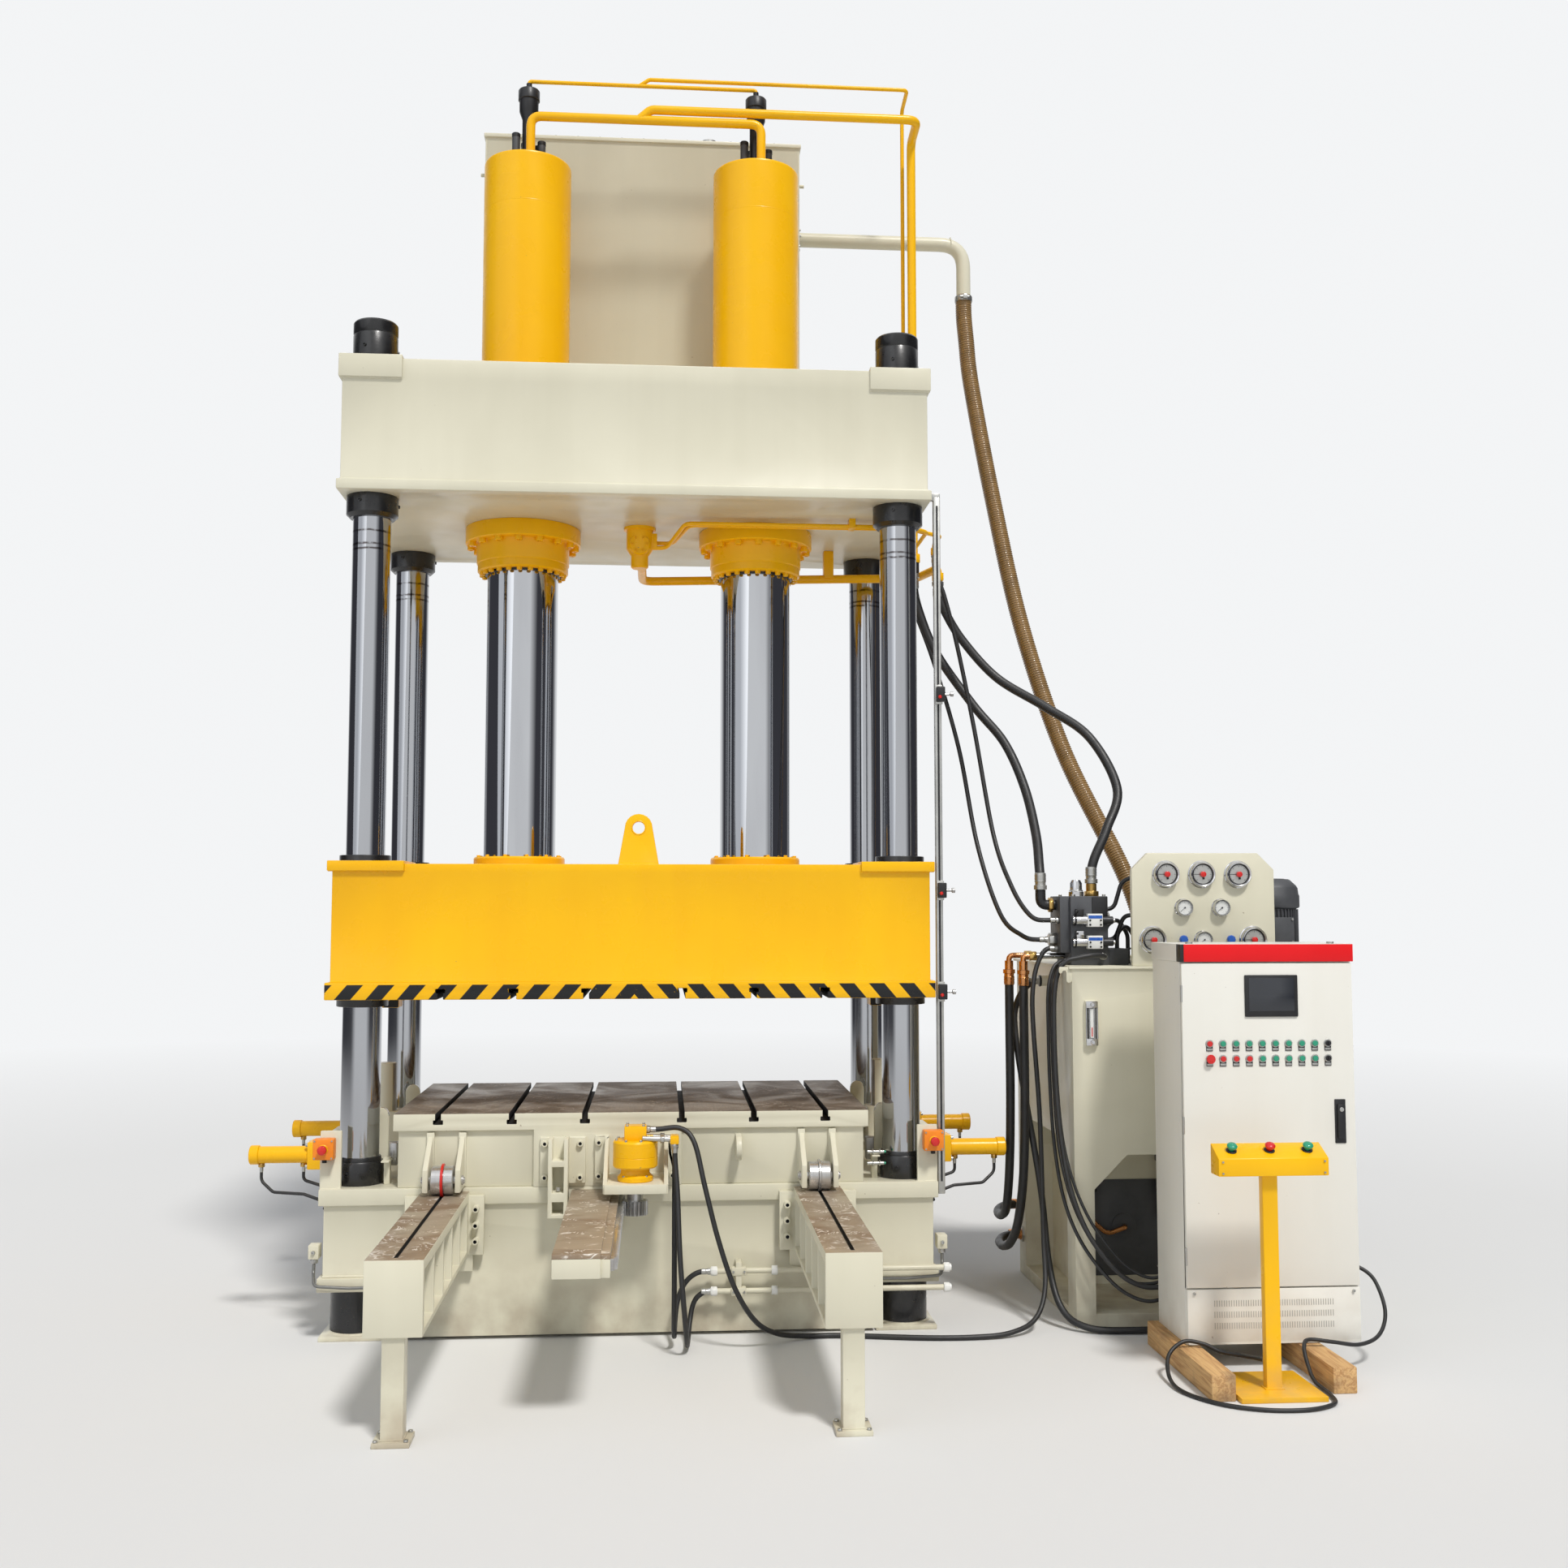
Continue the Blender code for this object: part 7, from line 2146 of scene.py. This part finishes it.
@dataclass(frozen=True)
class Route:
    """One hose or cable: its body, its size, how it lies and the places that it passes."""

    node: str
    width: float
    places: tuple[Point, ...]
    body: str = "frame"
    lay: str = "loose"
    stiffness: str = "medium"
    in_cad: bool = True
    far_end: str = "object"


@dataclass
class Hoses(Assembly):
    """The hoses and cables, each laid along its CAD route."""

    high: float = 3.54 - GAP
    gland: float = 2.995
    fall: float = -0.8
    floor: float = 0.0125
    low: float = 0.0095
    wall: float = 1.985 - GAP
    back: float = -1.06 + GAP

    def routes(self) -> list[Route]:
        """Lists the smooth hoses and cables, with the CAD model's own points.

        Returns:
            A route for each.
        """
        high, gland, fall, floor, low = self.high, self.gland, self.fall, self.floor, self.low
        return [
            Route("pressure_hose_a", 0.045, (
                (1.386, 0.1, high), (1.386, 0.1, high - 0.05), (1.415, 0.1, 3.34), (1.5, 0.07, 3.12),
                (1.67, 0.0, 2.853), (1.8, -0.1, 2.66), (1.87, -0.22, 2.432), (1.885, -0.38, 2.2),
                (1.872, -0.495, 2.04), (1.87, -0.52, 1.955), (1.87, -0.52, 1.93 + GAP),
            ), lay="hanging", stiffness="stiff"),
            Route("pressure_hose_b", 0.045, (
                (1.51, 0.1, 3.5 - GAP), (1.51, 0.1, 3.45), (1.55, 0.1, 3.34), (1.64, 0.09, 3.19),
                (1.8, 0.04, 3.0), (2.016, -0.08, 2.84), (2.2, -0.2, 2.68), (2.3, -0.32, 2.42),
                (2.22, -0.41, 2.22), (2.145, -0.447, 2.07), (2.13, -0.45, 1.98), (2.13, -0.45, 1.96 + GAP),
            ), lay="hanging", stiffness="stiff"),
            Route("pilot_hose_a", 0.022, (
                (1.352, 0.18, 3.58 - GAP), (1.352, 0.18, 3.54), (1.39, 0.18, 3.4), (1.493, 0.15, 3.1),
                (1.6, 0.05, 2.65), (1.66, -0.1, 2.158), (1.72, -0.33, 1.82), (1.79, -0.47, 1.72),
                (1.86, -0.52, 1.7), (1.9 - GAP, -0.52, 1.7),
            ), lay="hanging"),
            Route("pilot_hose_b", 0.022, (
                (1.47, -0.02, 3.61 - GAP), (1.47, -0.02, 3.57), (1.52, -0.03, 3.4), (1.58, -0.04, 3.15),
                (1.655, -0.08, 2.725), (1.72, -0.2, 2.2), (1.76, -0.4, 1.95), (1.81, -0.53, 1.82),
                (1.87, -0.57, 1.79), (1.94 - GAP, -0.57, 1.79),
            ), lay="hanging"),
            Route("motor_hose_a", 0.022, (
                (0.178, -0.965, 0.86 - GAP), (0.178, -0.965, 0.84), (0.178, -0.985, 0.65),
                (0.178, -1.03, 0.42), (0.178, -1.055, 0.25), (0.178, -1.03, 0.14), (0.179, -0.97, 0.065),
                (0.181, -0.9, 0.05), (0.184, -0.84, 0.09), (0.195, -0.806, 0.165), (0.225, fall, 0.235),
                (0.27, fall, 0.275), (0.32, fall, 0.285), (0.335 - GAP, fall, 0.285),
            ), body="bolster_unit"),
            Route("motor_hose_b", 0.022, (
                (0.178, -1.01, 0.86 - GAP), (0.178, -1.01, 0.84), (0.19, -1.04, 0.65), (0.2, -1.1, 0.42),
                (0.215, -1.13, 0.24), (0.225, -1.11, 0.13), (0.232, -1.05, 0.055), (0.235, -0.965, 0.022),
                (0.24, -0.88, 0.035), (0.248, -0.825, 0.085), (0.258, -0.802, 0.135), (0.275, fall, 0.172),
                (0.302, fall, 0.194), (0.325, fall, 0.2), (0.335 - GAP, fall, 0.2),
            ), body="bolster_unit"),
            Route("drain_hose", 0.022, (
                (0.059 + GAP, -0.95, 0.912), (0.1, -0.95, 0.912), (0.2, -0.955, 0.916), (0.26, -0.985, 0.86),
                (0.305, -1.03, 0.68), (0.36, -1.06, 0.47), (0.43, -1.06, 0.27), (0.52, -1.0, 0.12),
                (0.62, -0.91, 0.045), (0.74, -0.845, 0.016), (0.9, -0.835, floor), (1.25, -0.9, floor),
                (1.48, -0.91, 0.0135), (1.63, -0.885, 0.022), (1.75, -0.82, 0.06), (1.815, -0.74, 0.17),
                (1.83, -0.66, 0.4), (1.83, -0.62, 0.9), (1.81, -0.6, 1.3), (1.813, -0.585, 1.47),
                (1.845, -0.56, 1.595), (1.905, -0.55, 1.66), (1.94 - GAP, -0.55, 1.66),
            ), body="bolster_unit"),
            Route("pedestal_cable", 0.016, (
                (2.455, -1.675 + GAP, 0.1), (2.455, -1.665, 0.1), (2.415, -1.53, 0.085), (2.34, -1.48, 0.09),
                (2.28, -1.46, 0.115), (2.2, -1.455, 0.125), (2.13, -1.48, 0.08), (2.1, -1.58, 0.022),
                (2.11, -1.72, low), (2.2, -1.87, low), (2.34, -1.95, low), (2.5, -1.96, low),
                (2.62, -1.9, low), (2.652, -1.8, low), (2.65, -1.66, 0.018), (2.652, -1.59, 0.06),
                (2.662, -1.53, 0.112), (2.7, -1.485, 0.13), (2.8, -1.48, 0.118), (2.92, -1.46, 0.1),
                (3.03, -1.4, 0.12), (3.1, -1.31, 0.19), (3.105, -1.21, 0.29), (3.06, -1.162, 0.335),
                (gland + 0.01, -1.16, 0.34), (gland + GAP, -1.16, 0.34),
            )),
            Route("cabinet_cable", 0.03, (
                (1.92 - GAP, -0.3, 1.5), (1.91, -0.3, 1.5), (1.8, -0.32, 1.4), (1.785, -0.37, 1.2),
                (1.85, -0.52, 0.6), (1.86, -0.64, 0.25), (1.89, -0.75, 0.08), (1.98, -0.84, 0.024),
                (2.15, -0.87, 0.017), (2.32, -0.875, 0.03), (2.44, -0.89, 0.11), (2.49, -0.92, 0.21),
                (2.5, -0.97, 0.29), (2.5, -1.01, 0.3), (2.5, -1.06 + GAP, 0.3),
            )),
        ]

    def harness(self) -> list[Route]:
        """Lists the cables and outlet hoses beside the tank, which the CAD model leaves out.

        Returns:
            A route for each.
        """
        wall, back = self.wall, self.back
        return [
            Route("harness_cable_front", 0.016, (
                (wall, -0.604, 1.606), (1.965, -0.604, 1.606), (1.932, -0.615, 1.602), (1.893, -0.635, 1.565),
                (1.866, -0.66, 1.47), (1.858, -0.685, 1.3), (1.858, -0.705, 1.05), (1.866, -0.735, 0.8),
                (1.89, -0.785, 0.58), (1.94, -0.83, 0.42), (2.02, -0.87, 0.29), (2.12, -0.905, 0.19),
                (2.23, -0.935, 0.155), (2.335, -0.945, 0.2), (2.405, -0.955, 0.29), (2.44, -0.985, 0.345),
                (2.445, -1.03, 0.365), (2.445, back, 0.365),
            ), in_cad=False),
            Route("harness_cable_middle", 0.014, (
                (wall, -0.584, 1.606), (1.965, -0.584, 1.606), (1.938, -0.592, 1.603), (1.908, -0.608, 1.57),
                (1.888, -0.63, 1.48), (1.881, -0.655, 1.3), (1.881, -0.68, 1.05), (1.889, -0.72, 0.8),
                (1.915, -0.775, 0.61), (1.965, -0.825, 0.46), (2.04, -0.865, 0.335), (2.135, -0.895, 0.24),
                (2.24, -0.915, 0.225), (2.335, -0.93, 0.265), (2.4, -0.95, 0.335), (2.43, -0.985, 0.385),
                (2.435, -1.03, 0.405), (2.435, back, 0.405),
            ), in_cad=False),
            Route("harness_cable_rear", 0.014, (
                (wall, -0.564, 1.606), (1.965, -0.564, 1.606), (1.947, -0.57, 1.603), (1.927, -0.583, 1.578),
                (1.913, -0.6, 1.5), (1.904, -0.625, 1.3), (1.904, -0.655, 1.05), (1.912, -0.705, 0.82),
                (1.938, -0.765, 0.65), (1.985, -0.815, 0.51), (2.055, -0.855, 0.39), (2.145, -0.89, 0.29),
                (2.245, -0.92, 0.25), (2.34, -0.94, 0.295), (2.4, -0.95, 0.375), (2.425, -0.985, 0.425),
                (2.43, -1.03, 0.445), (2.43, back, 0.445),
            ), in_cad=False),
            Route("harness_hose_over", 0.022, (
                (2.13, -0.62 - GAP, 1.625), (2.13, -0.645, 1.625), (2.11, -0.69, 1.63), (2.05, -0.72, 1.632),
                (1.99, -0.722, 1.622), (1.94, -0.722, 1.609), (1.9, -0.724, 1.565), (1.878, -0.73, 1.47),
                (1.871, -0.74, 1.33), (1.871, -0.76, 1.08), (1.882, -0.79, 0.84), (1.912, -0.83, 0.62),
                (1.968, -0.87, 0.45), (2.045, -0.905, 0.33), (2.12, -0.93, 0.255), (2.2, -0.945, 0.22),
                (2.27, -0.955, 0.22), (2.325, -0.968, 0.235), (2.365, -0.995, 0.25), (2.386, -1.03, 0.26),
                (2.39, back, 0.262),
            ), in_cad=False),
            Route("outlet_hose_left", 0.042, (
                (1.95 - GAP, 0.265, 0.352), (1.935, 0.265, 0.352), (1.9, 0.257, 0.352), (1.842, 0.222, 0.35),
                (1.8, 0.155, 0.345), (1.783, 0.07, 0.342), (1.775, -0.05, 0.36), (1.765, -0.2, 0.43),
                (1.75, -0.345, 0.65), (1.745, -0.4, 0.95), (1.745, -0.4, 1.3), (1.745, -0.4, 1.52),
                (1.745, -0.4, 1.56 - GAP),
            ), lay="hanging", stiffness="stiff", in_cad=False, far_end="fitting"),
            Route("outlet_hose_right", 0.042, (
                (1.95 - GAP, 0.265, 0.202), (1.935, 0.265, 0.202), (1.9, 0.257, 0.202), (1.843, 0.22, 0.2),
                (1.804, 0.15, 0.196), (1.792, 0.07, 0.195), (1.79, -0.02, 0.205), (1.79, -0.17, 0.255),
                (1.79, -0.33, 0.38), (1.79, -0.455, 0.62), (1.79, -0.5, 0.95), (1.79, -0.5, 1.3),
                (1.79, -0.5, 1.52), (1.79, -0.5, 1.56 - GAP),
            ), lay="hanging", stiffness="stiff", in_cad=False, far_end="fitting"),
        ]

    def ferrules(self, name: str, line: Sequence[Vector], width: float, body: str) -> bpy.types.Object:
        """Makes the crimped fittings at both ends of a hose, as one piece.

        Args:
            name: The object's name.
            line: The hose's centre line.
            width: The hose's diameter.
            body: The body that it rides on.

        Returns:
            The new object.
        """
        r = width / 2
        shape = Shape(name, self.finish.copper if name.startswith("outlet") else self.finish.zinc)
        crimp = [(r * (1.2 - 0.05 * (i % 2)), r * (1.7 + 0.3 * i)) for i in range(6)]
        profile = [
            (r * 0.98, 0.001), (r * 1.34, 0.001), (r * 1.34, r * 0.9), (r * 1.1, r), (r * 1.1, r * 1.5),
            *crimp, (r * 1.14, r * 3.4), (r * 0.98, r * 3.5),
        ]
        for end, ahead in ((line[0], line[1] - line[0]), (line[-1], line[-2] - line[-1])):
            shape.turn(profile, end, ahead, 0, 24)
        return shape.done(body)

    def lay_out(self, route: Route) -> None:
        """Args:
            route: Its route.
        """
        tube = curve_piece(f"{route.node}_tube", [flowing(route.places)], route.width, self.finish.rubber)
        settle(tube, route.body, "rubber", [route.node] if route.in_cad else [])
        line = flowing(route.places)
        ends = self.ferrules(f"{route.node}_fittings", line, route.width, route.body)
        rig.cord(
            tube, exit=route.places[0], length=self.length(line), diameter=route.width, far_end=route.far_end,
            stiffness=route.stiffness, lay=route.lay, with_pieces=[ends],
        )

    @staticmethod
    def length(line: Sequence[Vector]) -> float:
        """Length of a line through these points."""
        return sum((b - a).length for a, b in zip(line, line[1:]))

    def suction(self) -> None:
        width, pitch, node = 0.087, 0.0125, "suction_hose"
        places = [
            (1.734, 0.5, 5.16 - GAP), (1.734, 0.5, 5.09), (1.745, 0.49, 4.9), (1.768, 0.475, 4.65),
            (1.858, 0.4, 4.037), (1.984, 0.3, 3.322), (2.161, 0.15, 2.647), (2.38, -0.05, 2.08),
            (2.45, -0.12, 1.85), (2.47, -0.13, 1.72), (2.47, -0.13, 1.645 + GAP),
        ]
        line = flowing(places, 24)
        length = self.length(line)
        marks, ribbed, rib = [0.0], [], ((0.0, 0.925), (0.26, 0.94), (0.4, 1.0), (0.62, 1.0), (0.76, 0.94))
        for a, b in zip(line, line[1:]):
            marks.append(marks[-1] + (b - a).length)
        count, i = round(length / pitch), 0
        for step, (share, scale) in [(step, part) for step in range(count) for part in rib]:
            distance = (step + share) * length / count
            while i < len(line) - 2 and marks[i + 1] < distance:
                i += 1
            ahead = (distance - marks[i]) / (marks[i + 1] - marks[i])
            ribbed.append((line[i].lerp(line[i + 1], ahead), scale))
        ribbed.append((line[-1], rib[0][1]))
        guide = curve_piece("suction_hose_guide", [[place for place, _ in ribbed]], width, self.finish.hose)
        guide.data.bevel_resolution = 10
        for point, (_, scale) in zip(guide.data.splines[0].points, ribbed):
            point.radius = scale
        mesh = bpy.data.meshes.new_from_object(guide)
        shape = Shape("suction_hose_tube", self.finish.hose)
        shape.bm.from_mesh(mesh)
        bmesh.ops.remove_doubles(shape.bm, verts=shape.bm.verts[:], dist=1e-5)
        bmesh.ops.recalc_face_normals(shape.bm, faces=shape.bm.faces[:])
        bpy.data.objects.remove(guide)
        tube = shape.done("frame", "brown_rubber", [node], soft=1.2)
        clamps = Shape("suction_hose_clamps", self.finish.zinc)
        r = width / 2
        band = [
            (r - 0.001, 0.006), (r + 0.003, 0.006), (r + 0.004, 0.01), (r + 0.004, 0.03), (r + 0.003, 0.034),
            (r - 0.001, 0.034),
        ]
        for end, ahead in ((line[0], line[1] - line[0]), (line[-1], line[-2] - line[-1])):
            clamps.turn(band, end, ahead)
            x, y, z = end + ahead.normalized() * 0.02
            clamps.bar((x - 0.03, y - r - 0.008, z), (x + 0.022, y - r - 0.008, z), 0.012, 0, 16)
            clamps.box((x - 0.012, y - r - 0.016, z - 0.012), (x + 0.012, y - r + 0.001, z + 0.012), 0.002)
        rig.cord(
            tube, exit=places[0], length=length, diameter=width, far_end="object", stiffness="stiff",
            lay="hanging", path=[tuple(place) for place in line], with_pieces=[clamps.done()],
        )

    def build(self) -> None:
        """Lays every cord."""
        self.suction()
        for route in self.routes() + self.harness():
            self.lay_out(route)


class Studio:
    """The camera, the pale floor, the lamps and the world."""

    PALE = (0.9, 0.91, 0.92, 1.0)
    DIM = (0.06, 0.06, 0.07, 1.0)

    def build(self) -> None:
        """Sets up everything around the press."""
        self.camera()
        self.floor()
        self.lamps()
        self.world()
        bpy.context.scene.view_settings.view_transform = "Standard"

    def camera(self) -> None:
        """Stands the camera where the photographer stood."""
        data = bpy.data.cameras.new("view")
        data.lens, data.sensor_width, data.clip_end = 36.26, 36.0, 200.0
        view = bpy.data.objects.new("view", data)
        view.location = (0.109, -7.755, 1.856)
        view.rotation_euler = (math.radians(94.41), 0.0, math.radians(-4.48))
        bpy.context.scene.collection.objects.link(view)
        bpy.context.scene.camera = view

    def floor(self) -> None:
        """Lays the floor, which fades into the background far from the press."""
        bm = bmesh.new()
        bmesh.ops.create_circle(bm, cap_ends=True, segments=96, radius=70.0)
        mesh = bpy.data.meshes.new("studio_floor")
        bm.to_mesh(mesh)
        bm.free()
        floor = bpy.data.objects.new("studio_floor", mesh)
        bpy.context.scene.collection.objects.link(floor)
        recipe = Recipe("studio_floor")
        recipe.put(Base_Color=(0.72, 0.72, 0.715), Roughness=0.9)
        reach = recipe.nodes.new("ShaderNodeVectorMath")
        reach.operation = "LENGTH"
        recipe.wire(recipe.place, reach.inputs[0])
        far = recipe.span(reach.outputs["Value"], 6.0, 16.0, 0.0, 1.0)
        glow = recipe.nodes.new("ShaderNodeEmission")
        recipe.wire(self.backdrop(recipe.material.node_tree, recipe.place), glow.inputs["Color"])
        blend = recipe.nodes.new("ShaderNodeMixShader")
        recipe.wire(recipe.times(far, self.seen(recipe.material.node_tree)), blend.inputs[0])
        recipe.wire(recipe.shader.outputs[0], blend.inputs[1])
        recipe.wire(glow.outputs[0], blend.inputs[2])
        recipe.wire(blend.outputs[0], recipe.nodes["Material Output"].inputs["Surface"])
        mesh.materials.append(recipe.material)
        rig.stage(floor)

    @staticmethod
    def seen(tree: bpy.types.NodeTree) -> bpy.types.NodeSocket:
        """Is 1 for rays that show the background: camera, glossy and transmission rays.

        Args:
            tree: The material's or the world's nodes.

        Returns:
            The socket of the result.
        """
        path = tree.nodes.new("ShaderNodeLightPath")
        total = None
        for name in ("Is Camera Ray", "Is Glossy Ray", "Is Transmission Ray"):
            if total is None:
                total = path.outputs[name]
                continue
            join = tree.nodes.new("ShaderNodeMath")
            join.operation = "MAXIMUM"
            tree.links.new(total, join.inputs[0])
            tree.links.new(path.outputs[name], join.inputs[1])
            total = join.outputs[0]
        return total

    def backdrop(self, tree: bpy.types.NodeTree, direction: bpy.types.NodeSocket) -> bpy.types.NodeSocket:
        """Paints the background pale, but dim on the left and right for mirrors.

        Args:
            tree: The material's or the world's nodes.
            direction: The socket of the direction.

        Returns:
            The socket of the colour.
        """
        unit = tree.nodes.new("ShaderNodeVectorMath")
        unit.operation = "NORMALIZE"
        split, side = tree.nodes.new("ShaderNodeSeparateXYZ"), tree.nodes.new("ShaderNodeMath")
        side.operation = "ABSOLUTE"
        span, share = tree.nodes.new("ShaderNodeMapRange"), tree.nodes.new("ShaderNodeMath")
        span.inputs["From Min"].default_value, span.inputs["From Max"].default_value = 0.5, 0.8
        share.operation = "MULTIPLY"
        mix = tree.nodes.new("ShaderNodeMix")
        mix.data_type = "RGBA"
        mix.inputs[6].default_value, mix.inputs[7].default_value = self.PALE, self.DIM
        glossy = tree.nodes.new("ShaderNodeLightPath").outputs["Is Glossy Ray"]
        for source, target in (
            (direction, unit.inputs[0]), (unit.outputs[0], split.inputs[0]),
            (split.outputs["X"], side.inputs[0]), (side.outputs[0], span.inputs["Value"]),
            (span.outputs["Result"], share.inputs[0]), (glossy, share.inputs[1]),
            (share.outputs[0], mix.inputs[0]),
        ):
            tree.links.new(source, target)
        return mix.outputs[2]

    def lamps(self) -> None:
        """Hangs a broad key from the front right and a softer fill from the left."""
        scene = bpy.context.scene
        key = bpy.data.lights.new("key", "SUN")
        key.energy, key.angle, key.color = 2.45, math.radians(9), (1.0, 0.975, 0.94)
        lamp = bpy.data.objects.new("key", key)
        lamp.rotation_euler = Vector((0.22, -0.55, 0.8)).to_track_quat("Z", "Y").to_euler()
        scene.collection.objects.link(lamp)
        fill = bpy.data.lights.new("fill", "SUN")
        fill.energy, fill.angle, fill.color = 0.55, math.radians(60), (0.93, 0.96, 1.0)
        lamp = bpy.data.objects.new("fill", fill)
        lamp.rotation_euler = Vector((-0.7, -0.55, 0.45)).to_track_quat("Z", "Y").to_euler()
        scene.collection.objects.link(lamp)

    def world(self) -> None:
        """Gives a soft surround that is pale to the camera and to mirrors."""
        world = bpy.data.worlds.new("studio")
        bpy.context.scene.world = world
        world.use_nodes = True
        tree = world.node_tree
        tree.nodes.clear()
        soft, pale = tree.nodes.new("ShaderNodeBackground"), tree.nodes.new("ShaderNodeBackground")
        soft.inputs["Color"].default_value = (0.9, 0.94, 1.0, 1.0)
        soft.inputs["Strength"].default_value = 0.4
        direction = tree.nodes.new("ShaderNodeTexCoord").outputs["Generated"]
        tree.links.new(self.backdrop(tree, direction), pale.inputs["Color"])
        blend, out = tree.nodes.new("ShaderNodeMixShader"), tree.nodes.new("ShaderNodeOutputWorld")
        tree.links.new(self.seen(tree), blend.inputs[0])
        tree.links.new(soft.outputs[0], blend.inputs[1])
        tree.links.new(pale.outputs[0], blend.inputs[2])
        tree.links.new(blend.outputs[0], out.inputs["Surface"])


def visual_box() -> list[list[float]]:
    """Finds the box around every visible piece of the press.

    Returns:
        Its lowest and its highest corner.
    """
    bpy.context.view_layer.update()
    graph = bpy.context.evaluated_depsgraph_get()
    low, high = Vector((1e9,) * 3), Vector((-1e9,) * 3)
    for obj in bpy.context.scene.objects:
        if obj.type not in ("MESH", "CURVE") or obj.hide_render or obj.name == "studio_floor":
            continue
        for corner in obj.evaluated_get(graph).bound_box:
            place = obj.matrix_world @ Vector(corner)
            low = Vector(map(min, low, place))
            high = Vector(map(max, high, place))
    return [list(low), list(high)]


def main() -> None:
    """Builds the camera and the cords first, then every sub-assembly, and writes the sizes."""
    logging.basicConfig(level=logging.INFO, format="%(name)s: %(message)s")
    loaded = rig.load()
    cad_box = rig.bounds()
    Studio().build()
    finish = Finishes()
    for assembly in (
        Hoses, Columns, UpperBeam, Rams, TopTank, HighPipes, Slide, Bed, Bolster, Drive, Rails, Clamps,
        Controls, PowerUnit, Cabinet, Pedestal,
    ):
        assembly(loaded["nodes"], finish).build()
    with open("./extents.json", "w", encoding="utf-8") as file:
        json.dump({"cad": [list(corner) for corner in cad_box], "visual": visual_box()}, file)


if __name__ == "__main__":
    main()
